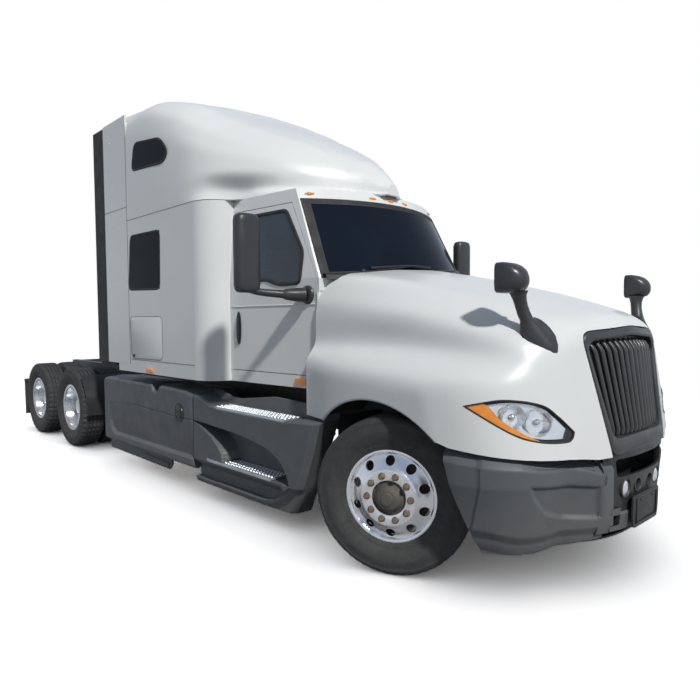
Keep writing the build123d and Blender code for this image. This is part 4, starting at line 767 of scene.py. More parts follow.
@dataclass
class Workshop:
    """Turns shapes into named pieces that ride on their bodies."""

    made: list[str] = field(default_factory=list)

    def piece(
        self, name: str, shape: Shape, finish: Finish, body: str, *, replaces: Sequence[str] = (),
        sharp: float = 32.0, solid: float = 0.0, bevel: float = 0.0, inward: Point | None = None,
        subdivide: int = 0, cutters: Sequence[Shape] = (),
    ) -> bpy.types.Object:
        """Make a piece from a shape.

        Args:
            name: the piece's name.
            shape: its points and faces.
            finish: what its surface is.
            body: the body it moves with.
            replaces: frame nodes that it stands for.
            sharp: edges bent by more than this many degrees stay crisp.
            solid: thickness of a sheet, laid on its inner side.
            bevel: rounding of crisp edges.
            inward: a point inside, which tells a sheet's inner side.
            subdivide: rounds of subdivision.
            cutters: closed shapes taken out of it.

        Returns:
            The new object.
        """
        made = self._object(name, shape, inward)
        if subdivide:
            modifier = made.modifiers.new("round", "SUBSURF")
            modifier.levels = modifier.render_levels = subdivide
        if solid:
            modifier = made.modifiers.new("thickness", "SOLIDIFY")
            modifier.thickness = solid
            modifier.offset = -1.0
        self._settle(made)
        for cutter in cutters:
            self._carve(made, cutter)
        if bevel:
            modifier = made.modifiers.new("edges", "BEVEL")
            modifier.width = bevel
            modifier.segments = 2
            modifier.limit_method = "ANGLE"
            modifier.angle_limit = math.radians(sharp)
            self._settle(made)
        self._shade(made.data, sharp)
        made.data.materials.clear()
        made.data.materials.append(finish.material())
        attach(made, body)
        if replaces:
            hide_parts(*replaces)
        self.made.append(name)
        log.info("%s: %d faces on %s", name, len(made.data.polygons), body)
        return made

    @staticmethod
    def _object(name: str, shape: Shape, inward: Point | None) -> bpy.types.Object:
        """Object of a shape, its normals turned outward.

        Args:
            name: the piece's name.
            shape: its points and faces.
            inward: a point inside, that the normals turn away from.

        Returns:
            The object.
        """
        mesh = bpy.data.meshes.new(name)
        mesh.from_pydata(shape.points, [], shape.faces)
        work = bmesh.new()
        work.from_mesh(mesh)
        bmesh.ops.remove_doubles(work, verts=work.verts, dist=1e-5)
        bmesh.ops.dissolve_degenerate(work, edges=work.edges, dist=1e-6)
        bmesh.ops.recalc_face_normals(work, faces=work.faces)
        if inward is not None:
            middle = Vector(inward)
            outward = sum(
                face.normal.dot((face.calc_center_median() - middle).normalized()) * face.calc_area()
                for face in work.faces
            )
            if outward < 0:
                bmesh.ops.reverse_faces(work, faces=work.faces)
        work.to_mesh(mesh)
        work.free()
        made = bpy.data.objects.new(name, mesh)
        bpy.context.scene.collection.objects.link(made)
        return made

    @staticmethod
    def _settle(made: bpy.types.Object) -> None:
        """Apply the object's modifiers to its mesh.

        Args:
            made: the object.
        """
        if not made.modifiers:
            return
        bpy.context.view_layer.update()
        graph = bpy.context.evaluated_depsgraph_get()
        mesh = bpy.data.meshes.new_from_object(made.evaluated_get(graph))
        made.modifiers.clear()
        made.data = mesh

    def _carve(self, made: bpy.types.Object, cutter: Shape) -> None:
        """Take a closed shape out of an object.

        Args:
            made: the object.
            cutter: the closed shape to take out.
        """
        tool = self._object("cutter", cutter, None)
        modifier = made.modifiers.new("cut", "BOOLEAN")
        modifier.object = tool
        modifier.operation = "DIFFERENCE"
        modifier.solver = "EXACT"
        self._settle(made)
        bpy.data.objects.remove(tool)

    @staticmethod
    def _shade(mesh: bpy.types.Mesh, sharp: float) -> None:
        """Shade smoothly but for edges bent by more than sharp degrees.

        Args:
            mesh: the mesh to shade.
            sharp: least bend of a hard edge, in degrees.
        """
        work = bmesh.new()
        work.from_mesh(mesh)
        limit = math.radians(sharp)
        for face in work.faces:
            face.smooth = True
        for edge in work.edges:
            edge.smooth = len(edge.link_faces) == 2 and edge.calc_face_angle(0.0) < limit
        work.to_mesh(mesh)
        work.free()


SHOP = Workshop()


# ---------------------------------------------------------------- studio
@dataclass
class Studio:
    """Camera, lamps, floor and backdrop."""

    eye: Point = (2.6178, -3.9810, 1.6469)
    aim: Point = (-0.74866, 0.66064, -0.05540)
    roll: float = math.radians(-0.53)
    lens: float = 30.90
    shift: Point = (0.0491, 0.0028)
    to_sun: Point = (0.68, -0.195, 0.707)
    sun_strength: float = 2.9
    sky_strength: float = 0.29
    sky_colour: Colour = (0.80, 0.90, 1.0)
    floor_albedo: float = 0.60
    floor_gain: Colour = (5.9, 5.3, 4.85)

    def build(self) -> None:
        """Make the camera, the light and the floor."""
        self._camera()
        self._sun()
        self._sky()
        self._floor()
        bpy.context.scene.view_settings.view_transform = "Standard"

    def _camera(self) -> None:
        """Camera at the viewing point, measured from the front axle."""
        data = bpy.data.cameras.new("view")
        data.lens = self.lens
        data.sensor_width = 36.0
        data.shift_x, data.shift_y = self.shift
        data.clip_end = 200.0
        camera = bpy.data.objects.new("view", data)
        turn = Vector(self.aim).to_track_quat("-Z", "Y").to_matrix().to_4x4()
        place = Matrix.Translation(Vector(self.eye) + Vector((FRONT_AXLE_X, 0.0, 0.0)))
        camera.matrix_world = place @ turn @ Matrix.Rotation(self.roll, 4, "Z")
        bpy.context.scene.collection.objects.link(camera)
        bpy.context.scene.camera = camera

    def _sun(self) -> None:
        """One key light from ahead and a little to the right, kept off the floor."""
        data = bpy.data.lights.new("key", "SUN")
        data.energy = self.sun_strength
        data.angle = math.radians(4.0)
        data.color = (1.0, 0.985, 0.935)
        lamp = bpy.data.objects.new("key", data)
        lamp.rotation_euler = Vector(self.to_sun).to_track_quat("Z", "Y").to_euler()
        bpy.context.scene.collection.objects.link(lamp)
        self._key = lamp

    def _sky(self) -> None:
        """Even sky light that the camera sees as white and gloss sees as a soft gradient."""
        world = bpy.data.worlds.new("sky")
        world.use_nodes = True
        bpy.context.scene.world = world
        tree = world.node_tree
        plain = tree.nodes["Background"]
        plain.inputs["Color"].default_value = (*self.sky_colour, 1.0)
        plain.inputs["Strength"].default_value = self.sky_strength
        white = tree.nodes.new("ShaderNodeBackground")
        white.inputs["Color"].default_value = (1.0, 1.0, 1.0, 1.0)
        shiny = tree.nodes.new("ShaderNodeBackground")
        tree.links.new(self._gradient(tree), shiny.inputs["Color"])
        rays = tree.nodes.new("ShaderNodeLightPath")
        gloss = tree.nodes.new("ShaderNodeMixShader")
        tree.links.new(rays.outputs["Is Glossy Ray"], gloss.inputs["Fac"])
        tree.links.new(plain.outputs[0], gloss.inputs[1])
        tree.links.new(shiny.outputs[0], gloss.inputs[2])
        choose = tree.nodes.new("ShaderNodeMixShader")
        tree.links.new(rays.outputs["Is Camera Ray"], choose.inputs["Fac"])
        tree.links.new(gloss.outputs[0], choose.inputs[1])
        tree.links.new(white.outputs[0], choose.inputs[2])
        tree.links.new(choose.outputs[0], tree.nodes["World Output"].inputs["Surface"])

    @staticmethod
    def _gradient(tree: bpy.types.NodeTree) -> bpy.types.NodeSocket:
        """Colour that falls from pale at the horizon to blue overhead.

        Args:
            tree: the material's node tree.

        Returns:
            The socket that holds it.
        """
        place = tree.nodes.new("ShaderNodeTexCoord")
        split = tree.nodes.new("ShaderNodeSeparateXYZ")
        ramp = tree.nodes.new("ShaderNodeValToRGB")
        tree.links.new(place.outputs["Generated"], split.inputs[0])
        tree.links.new(split.outputs["Z"], ramp.inputs["Fac"])
        bands = ramp.color_ramp
        bands.elements[0].position, bands.elements[0].color = 0.0, (0.78, 0.81, 0.85, 1.0)
        bands.elements[1].position, bands.elements[1].color = 1.0, (0.16, 0.22, 0.36, 1.0)
        middle = bands.elements.new(0.22)
        middle.color = (0.58, 0.64, 0.74, 1.0)
        return ramp.outputs["Color"]

    def _floor(self) -> None:
        """Pale floor that keeps the vehicle's shadow and runs out into the white."""
        mesh = bpy.data.meshes.new("floor")
        reach = 60.0
        mesh.from_pydata(
            [(-reach, -reach, 0.0), (reach, -reach, 0.0), (reach, reach, 0.0), (-reach, reach, 0.0)], [], [(0, 1, 2, 3)]
        )
        floor = bpy.data.objects.new("floor", mesh)
        bpy.context.scene.collection.objects.link(floor)
        mesh.materials.append(self._floor_material())
        unlit = bpy.data.collections.new("kept_from_key")
        unlit.objects.link(floor)
        self._key.light_linking.receiver_collection = unlit
        unlit.collection_objects[0].light_linking.link_state = "EXCLUDE"

    def _floor_material(self) -> bpy.types.Material:
        """White floor: a strong matt white to the camera, fading to plain white far out.

        Returns:
            The material.
        """
        made = bpy.data.materials.new("floor_white")
        made.use_nodes = True
        tree = made.node_tree
        tree.nodes.remove(tree.nodes["Principled BSDF"])
        near = tree.nodes.new("ShaderNodeBsdfDiffuse")
        near.inputs["Color"].default_value = (*self.floor_gain, 1.0)
        usual = tree.nodes.new("ShaderNodeBsdfDiffuse")
        usual.inputs["Color"].default_value = (self.floor_albedo, self.floor_albedo, self.floor_albedo, 1.0)
        white = tree.nodes.new("ShaderNodeEmission")
        rays = tree.nodes.new("ShaderNodeLightPath")
        place = tree.nodes.new("ShaderNodeTexCoord")
        far = tree.nodes.new("ShaderNodeVectorMath")
        far.operation = "LENGTH"
        fade = tree.nodes.new("ShaderNodeMapRange")
        fade.inputs["From Min"].default_value = 6.5
        fade.inputs["From Max"].default_value = 9.5
        shown = tree.nodes.new("ShaderNodeMixShader")
        choose = tree.nodes.new("ShaderNodeMixShader")
        tree.links.new(place.outputs["Object"], far.inputs[0])
        tree.links.new(far.outputs["Value"], fade.inputs["Value"])
        tree.links.new(fade.outputs["Result"], shown.inputs["Fac"])
        tree.links.new(near.outputs[0], shown.inputs[1])
        tree.links.new(white.outputs[0], shown.inputs[2])
        seen = tree.nodes.new("ShaderNodeMath")
        seen.operation = "MULTIPLY_ADD"
        seen.use_clamp = True
        seen.inputs[1].default_value = 0.30
        tree.links.new(rays.outputs["Is Glossy Ray"], seen.inputs[0])
        tree.links.new(rays.outputs["Is Camera Ray"], seen.inputs[2])
        tree.links.new(seen.outputs[0], choose.inputs["Fac"])
        tree.links.new(usual.outputs[0], choose.inputs[1])
        tree.links.new(shown.outputs[0], choose.inputs[2])
        tree.links.new(choose.outputs[0], tree.nodes["Material Output"].inputs["Surface"])
        return made


# ---------------------------------------------------------------- hood
CORNER_PULL = 0.36
CORNER_TIP = (-0.02, 0.03)


def corner_curve(bow_end: np.ndarray, side_end: np.ndarray, corner: Point) -> np.ndarray:
    """Rounded corner of a front end's plan, drawn out towards its square corner.

    Args:
        bow_end: where the bowed front ends, across and ahead.
        side_end: where the straight side starts, across and ahead.
        corner: the square corner, across and ahead.

    Returns:
        Sixty points from the front to the side.
    """
    tip = np.array([corner[0] + CORNER_TIP[0], corner[1] + CORNER_TIP[1]])
    middle = (1 - CORNER_PULL) * (side_end + bow_end) / 2 + CORNER_PULL * tip
    control = 2 * middle - (side_end + bow_end) / 2
    part = np.linspace(0.0, 1.0, 60)[:, None]
    return (1 - part) ** 2 * bow_end + 2 * part * (1 - part) * control + part**2 * side_end


@dataclass
class NosePlan:
    """Plan of the front end, which narrows from its lower edge to its top."""

    low_z: float = 0.792
    high_z: float = 2.2
    low_centre: float = 1.214
    high_centre: float = 1.014
    low_corner: float = 1.060
    high_corner: float = 0.750
    half: float = 1.205
    setback: float = 0.115
    bow_half: float = 0.64
    corner_length: float = 0.48
    samples: int = 241
    _across: np.ndarray = field(init=False, repr=False)
    _lines: np.ndarray = field(init=False, repr=False)

    def __post_init__(self) -> None:
        """Work out how far ahead the front stands across the width, at the low and the high edge."""
        self._across = np.linspace(0.0, self.half, self.samples)
        self._lines = np.array([
            self._line(self.low_centre, self.low_corner), self._line(self.high_centre, self.high_corner),
        ])

    def _line(self, centre: float, corner: float) -> np.ndarray:
        """How far ahead the front stands, at each sample across, for one plan.

        Args:
            centre: how far ahead it stands at the middle.
            corner: how far ahead it stands at the corner.

        Returns:
            The distances ahead.
        """
        bow_end = np.array([self.bow_half, centre - self.setback])
        side_end = np.array([self.half, corner - self.corner_length])
        curve = corner_curve(bow_end, side_end, (self.half, corner))
        flat = np.linspace(0.0, self.bow_half, 20, endpoint=False)
        bow = centre - self.setback * (flat / self.bow_half) ** 2
        half = np.maximum.accumulate(np.concatenate([flat, curve[:, 0]]))
        reach = np.concatenate([bow, curve[:, 1]])
        return blur(np.interp(self._across, half, reach), 0, 3.0)

    def reach(self, y: np.ndarray, z: np.ndarray) -> np.ndarray:
        """How far ahead of the front axle the front stands.

        Args:
            y: places across, either side.
            z: heights.

        Returns:
            Distances ahead of the axle.
        """
        rise = (np.asarray(z) - self.low_z) / (self.high_z - self.low_z)
        across = np.abs(y)
        low = np.interp(across, self._across, self._lines[0])
        high = np.interp(across, self._across, self._lines[1])
        beyond = np.maximum(across - self.half, 0.0)
        return low + (high - low) * rise - 4.0 * beyond


@dataclass
class HoodForm:
    """Outer surface of the hood: sections along it, blended into the nose."""

    nose: NosePlan = field(default_factory=NosePlan)
    centre_z: float = 1.10
    blend: float = 0.11
    stations: tuple[float, ...] = (-0.80, -0.42, 0.08, 0.60, 1.00, 1.24)
    crowns: tuple[float, ...] = (2.050, 2.024, 1.920, 1.795, 1.670, 1.585)
    shoulders: tuple[tuple[float, float], ...] = (
        (0.840, 1.982), (0.800, 1.950), (0.730, 1.850), (0.640, 1.725), (0.540, 1.605), (0.480, 1.515),
    )
    creases: tuple[tuple[float, float], ...] = (
        (0.956, 1.738), (0.960, 1.712), (0.965, 1.672), (0.950, 1.575), (0.850, 1.440), (0.720, 1.320),
    )
    valleys: tuple[tuple[float, float], ...] = (
        (0.955, 1.432), (0.955, 1.440), (0.955, 1.445), (0.965, 1.420), (0.925, 1.335), (0.830, 1.220),
    )
    edges: tuple[tuple[float, float], ...] = (
        (1.045, 1.380), (1.150, 1.345), (1.195, 1.315), (1.195, 1.265), (1.170, 1.140), (1.130, 1.040),
    )
    low: float = -0.33
    turns: int = 221
    _angles: np.ndarray = field(init=False, repr=False)
    _radii: np.ndarray = field(init=False, repr=False)

    def __post_init__(self) -> None:
        """Work out each section as a distance from the centre line for even angles."""
        self._angles = np.linspace(self.low, math.pi / 2, self.turns)
        rows = []
        for number in range(len(self.stations)):
            corners = [
                (0.0, self.crowns[number]), (0.45 * self.shoulders[number][0], self._bowed(number)),
                self.shoulders[number], self.creases[number], self.valleys[number], self.edges[number],
                (self.edges[number][0] + 0.004, self.edges[number][1] - 0.16), (self.edges[number][0], 0.60),
            ]
            rows.append(self._section(corners))
        radii = blur(np.array(rows), 1, 5.0)
        fine = np.linspace(self.stations[0], self.stations[-1], 180)
        self._fine = fine
        smooth = np.stack([self._along(radii[:, turn], fine) for turn in range(self.turns)], axis=1)
        self._radii = blur(smooth, 0, 6.0)

    def _bowed(self, number: int) -> float:
        """Height of the crown's curve part way to the shoulder."""
        crown, shoulder = self.crowns[number], self.shoulders[number][1]
        return crown - (crown - shoulder) * 0.20

    def _section(self, corners: Sequence[Point]) -> np.ndarray:
        """Distances from the centre line to a section's straight runs, at each angle.

        Args:
            corners: the section's corners in order.

        Returns:
            The distances.
        """
        out = np.empty(self.turns)
        pairs = list(zip(corners, corners[1:]))
        for index, angle in enumerate(self._angles):
            run = np.array([math.cos(angle), math.sin(angle)])
            best = None
            for start, end in pairs:
                a = np.array([start[0], start[1] - self.centre_z])
                b = np.array([end[0], end[1] - self.centre_z])
                matrix = np.array([run, a - b]).T
                determinant = np.linalg.det(matrix)
                if abs(determinant) < 1e-9:
                    continue
                distance, part = np.linalg.solve(matrix, a)
                if -1e-6 <= part <= 1 + 1e-6 and distance > 0 and (best is None or distance < best):
                    best = distance
            out[index] = best if best is not None else out[index - 1] if index else 1.25
        return out

    def _along(self, values: np.ndarray, fine: np.ndarray) -> np.ndarray:
        """Smooth curve through one angle's distances, along the hood."""
        curve = spline(np.stack([self.stations, values], axis=1), 400)
        return np.interp(fine, curve[:, 0], curve[:, 1])

    def value(self, points: np.ndarray) -> np.ndarray:
        """How far outside the surface points lie: negative inside.

        Args:
            points: array of points, x ahead of the front axle.

        Returns:
            One value for each point.
        """
        x, y, z = points[..., 0], np.abs(points[..., 1]), points[..., 2]
        angle = np.arctan2(z - self.centre_z, y)
        column = np.clip((angle - self.low) / (math.pi / 2 - self.low) * (self.turns - 1), 0, self.turns - 1.001)
        row = np.clip((x - self._fine[0]) / (self._fine[-1] - self._fine[0]) * (len(self._fine) - 1), 0,
                      len(self._fine) - 1.001)
        i, j = row.astype(int), column.astype(int)
        u, v = row - i, column - j
        table = self._radii
        radius = (
            table[i, j] * (1 - u) * (1 - v) + table[i + 1, j] * u * (1 - v)
            + table[i, j + 1] * (1 - u) * v + table[i + 1, j + 1] * u * v
        )
        side = np.hypot(y, z - self.centre_z) - radius
        front = 0.8 * (x - self.nose.reach(y, z))
        mix = np.clip(0.5 + 0.5 * (side - front) / self.blend, 0.0, 1.0)
        return side * mix + front * (1 - mix) + self.blend * mix * (1 - mix) - 0.25 * self.blend * 0.12

    def hit(self, origins: np.ndarray, runs: np.ndarray, near: float, far: float) -> np.ndarray:
        """Points where rays leave the surface, or enter it.

        Args:
            origins: starts of the rays.
            runs: their directions.
            near: distance at which a ray is surely on one side.
            far: distance at which it is surely on the other.

        Returns:
            The points.
        """
        low = np.full(origins.shape[:-1], near)
        high = np.full(origins.shape[:-1], far)
        start = self.value(origins + runs * near) < 0
        for _ in range(34):
            middle = (low + high) / 2
            same = (self.value(origins + runs * middle[..., None]) < 0) == start
            low = np.where(same, middle, low)
            high = np.where(same, high, middle)
        return origins + runs * low[..., None]

    def front_point(self, y: np.ndarray, z: np.ndarray) -> np.ndarray:
        """Points on the front of the surface, for places seen from ahead."""
        origins = np.stack([np.full_like(y, 2.2), y, z], axis=-1)
        return self.hit(origins, np.broadcast_to([-1.0, 0.0, 0.0], origins.shape), 0.0, 2.0)

    def side_point(self, x: np.ndarray, z: np.ndarray) -> np.ndarray:
        """Points on the left side of the surface, for places seen from the side."""
        origins = np.stack([x, np.full_like(x, 2.0), z], axis=-1)
        return self.hit(origins, np.broadcast_to([0.0, -1.0, 0.0], origins.shape), 0.0, 1.6)


FORM = HoodForm()


def placed(points: np.ndarray) -> np.ndarray:
    """Points measured from the front axle, moved into the frame's own axes."""
    return np.asarray(points) + np.array([FRONT_AXLE_X, 0.0, 0.0])


@dataclass
class Hood:
    """Hood and fenders in one moulding, with lipped wheel arches."""

    skin: float = 0.022
    bottom_z: float = 0.824
    rear_bow: float = 0.30
    rear_gap: float = 0.016
    arch_rear: Point = (-0.560, 0.925)
    arch_top: Point = (-0.01, 1.130)
    arch_front: Point = (0.500, 0.930)
    lip: float = 0.011

    def build(self) -> None:
        """Make the shell, its arch lips, the arch liners and the hinge lugs."""
        SHOP.piece(
            "hood_shell", self._skin(), WHITE_PAINT, "hood", replaces=("hood",), solid=self.skin, sharp=38.0,
            inward=(ahead(0.2), 0.0, 1.1), cutters=self._cutters(),
        )
        SHOP.piece("fender_lips", self._lips().both_sides(), WHITE_PAINT, "hood", sharp=60.0)
        SHOP.piece("fender_liners", self._liners().both_sides(), BLACK_PLASTIC, "hood", sharp=60.0)
        SHOP.piece("hood_hinge_lugs", self._lugs().both_sides(), FRAME_PAINT, "hood", bevel=0.004)

    def _skin(self) -> Shape:
        """Sheet over the whole form: square stations, then a fan over the nose.

        Returns:
            The shape.
        """
        rows = []
        for x in np.linspace(-0.80, 0.62, 62):
            rows.append(self._row(x, 0.0, self._angles(0.0)))
        for turn in np.linspace(0.0, math.pi / 2, 46)[1:]:
            rows.append(self._row(0.62, turn, self._angles(turn)))
        return Shape.grid(placed(np.array(rows)))

    @staticmethod
    def _angles(turn: float) -> np.ndarray:
        """Angles of a row's rays, which reach lower as the fan turns forward.

        Args:
            turn: how far the row is turned forward.

        Returns:
            The angles.
        """
        low = -0.30 - 1.22 * math.sin(turn) ** 2
        half = np.linspace(low, math.pi / 2, 96)
        return np.concatenate([half, math.pi - half[-2::-1]])

    @staticmethod
    def _row(x: float, turn: float, angles: np.ndarray) -> np.ndarray:
        """One row of the sheet, its rays turned forward by an angle.

        Args:
            x: distance ahead of the front axle.
            turn: how far the row is turned forward.
            angles: directions of its rays.

        Returns:
            The points.
        """
        runs = np.stack([
            np.full_like(angles, math.sin(turn)), math.cos(turn) * np.cos(angles), math.cos(turn) * np.sin(angles),
        ], axis=-1)
        origins = np.broadcast_to([x, 0.0, FORM.centre_z], runs.shape)
        return FORM.hit(origins, runs, 0.0, 1.9)

    def arch(self, count: int = 60, shrink: float = 0.0) -> np.ndarray:
        """Points along the wheel arch, from its rear end over to its front end, seen from the side.

        Args:
            count: how many points.
            shrink: how far inside the true line.

        Returns:
            The points.
        """
        (x1, z1), (x2, z2), (x3, z3) = self.arch_rear, self.arch_top, self.arch_front
        matrix = np.array([[2 * (x2 - x1), 2 * (z2 - z1)], [2 * (x3 - x1), 2 * (z3 - z1)]])
        known = np.array([x2**2 - x1**2 + z2**2 - z1**2, x3**2 - x1**2 + z3**2 - z1**2])
        centre = np.linalg.solve(matrix, known)
        radius = math.hypot(x1 - centre[0], z1 - centre[1]) - shrink
        first = math.atan2(z1 - centre[1], x1 - centre[0])
        last = math.atan2(z3 - centre[1], x3 - centre[0])
        turns = np.linspace(first, last, count)
        return np.stack([centre[0] + radius * np.cos(turns), centre[1] + radius * np.sin(turns)], axis=1)

    def _cutters(self) -> list[Shape]:
        """What is cut from the shell: below, behind, the arches, the grille and the lamps.

        Returns:
            The closed shapes.
        """
        arch = self.arch()
        below = np.vstack([
            arch, [[0.58, 0.905], [1.07, 0.850], [1.14, self.bottom_z], [1.6, self.bottom_z], [1.6, 0.3],
                   [-1.3, 0.3], [-1.3, 0.925]],
        ])
        bow_y = np.linspace(-1.3, 1.3, 41)
        radius = (0.925**2 + self.rear_bow**2) / (2 * self.rear_bow)
        bow_x = -0.80 + self.rear_gap + np.where(
            np.abs(bow_y) < 0.935, self.rear_bow - radius + np.sqrt(radius**2 - np.clip(bow_y, -0.935, 0.935) ** 2),
            -0.03,
        )
        behind = np.vstack([np.stack([bow_x, bow_y], axis=1), [[-1.4, 1.3], [-1.4, -1.3]]])
        cuts = [
            Shape.prism(below, (FRONT_AXLE_X, 1.6, 0.0), (1, 0, 0), (0, 0, 1), 3.2),
            Shape.prism(behind, (FRONT_AXLE_X, 0.0, 1.86), (1, 0, 0), (0, 1, 0), 0.6),
            Shape.prism(GrilleForm().opening(0.0), (ahead(0.92), 0.0, 0.0), (0, 1, 0), (0, 0, 1), 0.6),
        ]
        lamp = HeadlampForm()
        cuts.append(lamp.cutter(0.004))
        cuts.append(lamp.cutter(0.004).mirrored())
        return cuts

    def _edge_line(self, outline: np.ndarray, inset: float) -> np.ndarray:
        """Points of the surface behind a side outline, set in from it.

        Args:
            outline: the outline in side view.
            inset: how far in from the edge.

        Returns:
            The points.
        """
        points = FORM.side_point(outline[:, 0], outline[:, 1])
        points[:, 1] -= inset
        return placed(points)

    def _lips(self) -> Shape:
        """Rolled lip round the near wheel arch."""
        return Shape.tube(self._edge_line(self.arch(70), 0.013), self.lip, sides=10, flat=1.2)

    def _liners(self) -> Shape:
        """Dark liner inside the wheel arch, from the lip inward.

        Returns:
            The shape.
        """
        outer = self.arch(40, shrink=-0.012)
        rows = []
        for inset in (0.024, 0.10, 0.22, 0.34, 0.42):
            points = FORM.side_point(outer[:, 0], outer[:, 1])
            points[:, 1] = np.minimum(points[:, 1] - 0.024, 1.15) - inset + 0.024
            points[:, 2] += 0.03 * math.sin(inset * 6)
            rows.append(placed(points))
        return Shape.grid(np.array(rows))

    @staticmethod
    def _lugs() -> Shape:
        """Hinge lug inside the hood's front."""
        outline = round_corners([(1.070, 0.828), (1.150, 0.828), (1.150, 0.880), (1.070, 0.880)], 0.012)
        return Shape.prism(outline, (FRONT_AXLE_X, 0.4552, 0.0), (1, 0, 0), (0, 0, 1), 0.022)


# ---------------------------------------------------------------- grille
@dataclass
class GrilleForm:
    """Front view of the grille's opening and frame."""

    top_z: float = 1.560
    bottom_z: float = 0.826
    top_half: float = 0.530
    bottom_half: float = 0.400
    corner: float = 0.055

    def opening(self, grow: float) -> np.ndarray:
        """Outline of the opening, grown by a margin.

        Args:
            grow: margin added all round.

        Returns:
            The points.
        """
        corners = [
            (-self.bottom_half - grow, self.bottom_z - grow - 0.1),
            (self.bottom_half + grow, self.bottom_z - grow - 0.1),
            (self.bottom_half + grow, self.bottom_z - grow), (self.top_half + grow, self.top_z - 0.05),
            (self.top_half - 0.04 + grow, self.top_z + grow), (0.0, self.top_z + 0.028 + grow),
            (-self.top_half + 0.04 - grow, self.top_z + grow), (-self.top_half - grow, self.top_z - 0.05),
            (-self.bottom_half - grow, self.bottom_z - grow),
        ]
        return round_corners(corners, self.corner)


@dataclass
class Grille:
    """Dark frame round tall rounded bars that lean in at their tops."""

    form: GrilleForm = field(default_factory=GrilleForm)
    bars: int = 6
    rim: float = 0.050
    bar_low: float = 0.935
    bar_high: float = 1.500
    depth: float = 0.055

    def build(self) -> None:
        """Make the frame, the bars and the backing. The head of the frame is left bare."""
        SHOP.piece("grille_frame", self._frame(), BLACK_PLASTIC_SATIN, "hood", replaces=("grille",), sharp=40.0)
        SHOP.piece("grille_bars", self._bars(), BLACK_PLASTIC_SATIN, "hood", sharp=50.0)
        SHOP.piece("grille_backing", self._backing(), BLACK_PLASTIC, "hood", sharp=50.0)

    def _ring(self, inset: float, back: float) -> np.ndarray:
        """Ring of points of the frame, set in from the opening's edge and back from the surface.

        Args:
            inset: how far in from the edge.
            back: how far behind the surface.

        Returns:
            The points.
        """
        margins = self._outline(inset)
        points = FORM.front_point(margins[:, 0], margins[:, 1])
        points[:, 0] -= back
        return placed(points)

    def _outline(self, inset: float) -> np.ndarray:
        """The frame's outline set in by a margin, wider at its foot and its head.

        Args:
            inset: how far in from the edge.

        Returns:
            The points.
        """
        form = self.form
        low = form.bottom_z + inset * 1.9
        high = form.top_z - inset * 1.15
        ends = form.bottom_half - inset * 0.9, form.top_half - inset * 0.9
        corners = [
            (-ends[0], low), (ends[0], low), (ends[1], high - 0.05), (ends[1] - 0.04, high), (0.0, high + 0.028),
            (-ends[1] + 0.04, high), (-ends[1], high - 0.05),
        ]
        return round_corners(corners, 0.055, 8)

    def _frame(self) -> Shape:
        """Frame: a raised band whose inner edge drops back to the bars.

        Returns:
            The shape.
        """
        steps = (
            (0.004, 0.040), (0.004, 0.001), (0.010, -0.005), (self.rim * 0.8, -0.001), (self.rim, 0.008),
            (self.rim + 0.006, self.depth), (self.rim - 0.014, self.depth),
        )
        rings = [self._ring(inset, back) for inset, back in steps]
        return Shape.loft(rings + [rings[0]], caps=False)

    def _bars(self) -> Shape:
        """All the bars.

        Returns:
            The shape.
        """
        made = Shape()
        inner, outer = 0.030, self.form.bottom_half - self.rim - 0.004
        for number in range(self.bars):
            low_y = inner + (number + 0.5) * (outer - inner) / self.bars
            high_y = low_y * 1.27
            made.join(self._bar(low_y, high_y)).join(self._bar(-low_y, -high_y))
        made.join(self._bar(0.0, 0.0, 1.25))
        return made

    def _bar(self, low_y: float, high_y: float, wide: float = 1.0) -> Shape:
        """One bar: a rounded blade that turns back at its top.

        Args:
            low_y: its place across at the foot.
            high_y: its place across at the head.
            wide: its width as a share of the usual.

        Returns:
            The shape.
        """
        rings = []
        for part in np.concatenate([np.linspace(0.0, 0.86, 16), np.linspace(0.88, 1.0, 7)]):
            z = self.bar_low + (self.bar_high - self.bar_low) * part
            y = low_y + (high_y - low_y) * part
            bend = max(0.0, part - 0.88) / 0.12
            back = 0.020 + 0.040 * bend**1.6 + 0.014 * max(0.0, 0.06 - part) / 0.06
            centre = FORM.front_point(np.array([y]), np.array([z]))[0] - np.array([back + 0.013, 0, 0])
            half = (0.0165 + 0.0035 * part) * wide
            turns = np.linspace(0, 2 * math.pi, 14, endpoint=False)
            rings.append(placed(centre + np.stack([
                0.015 * np.cos(turns), half * np.sign(np.sin(turns)) * np.abs(np.sin(turns)) ** 0.8,
                0.010 * bend * np.cos(turns),
            ], axis=1)))
        return Shape.loft(rings)

    def _backing(self) -> Shape:
        """Fine mesh panel behind the bars.

        Returns:
            The shape.
        """
        rows = []
        for z in np.linspace(self.form.bottom_z + 0.02, self.form.top_z - 0.01, 24):
            part = (z - self.form.bottom_z) / (self.form.top_z - self.form.bottom_z)
            half = self.form.bottom_half + (self.form.top_half - self.form.bottom_half) * part - 0.015
            y = np.linspace(-half, half, 33)
            points = FORM.front_point(y, np.full_like(y, z))
            points[:, 0] -= self.depth + 0.004 + 0.004 * (np.arange(33) % 2)
            rows.append(placed(points))
        return Shape.grid(np.array(rows))


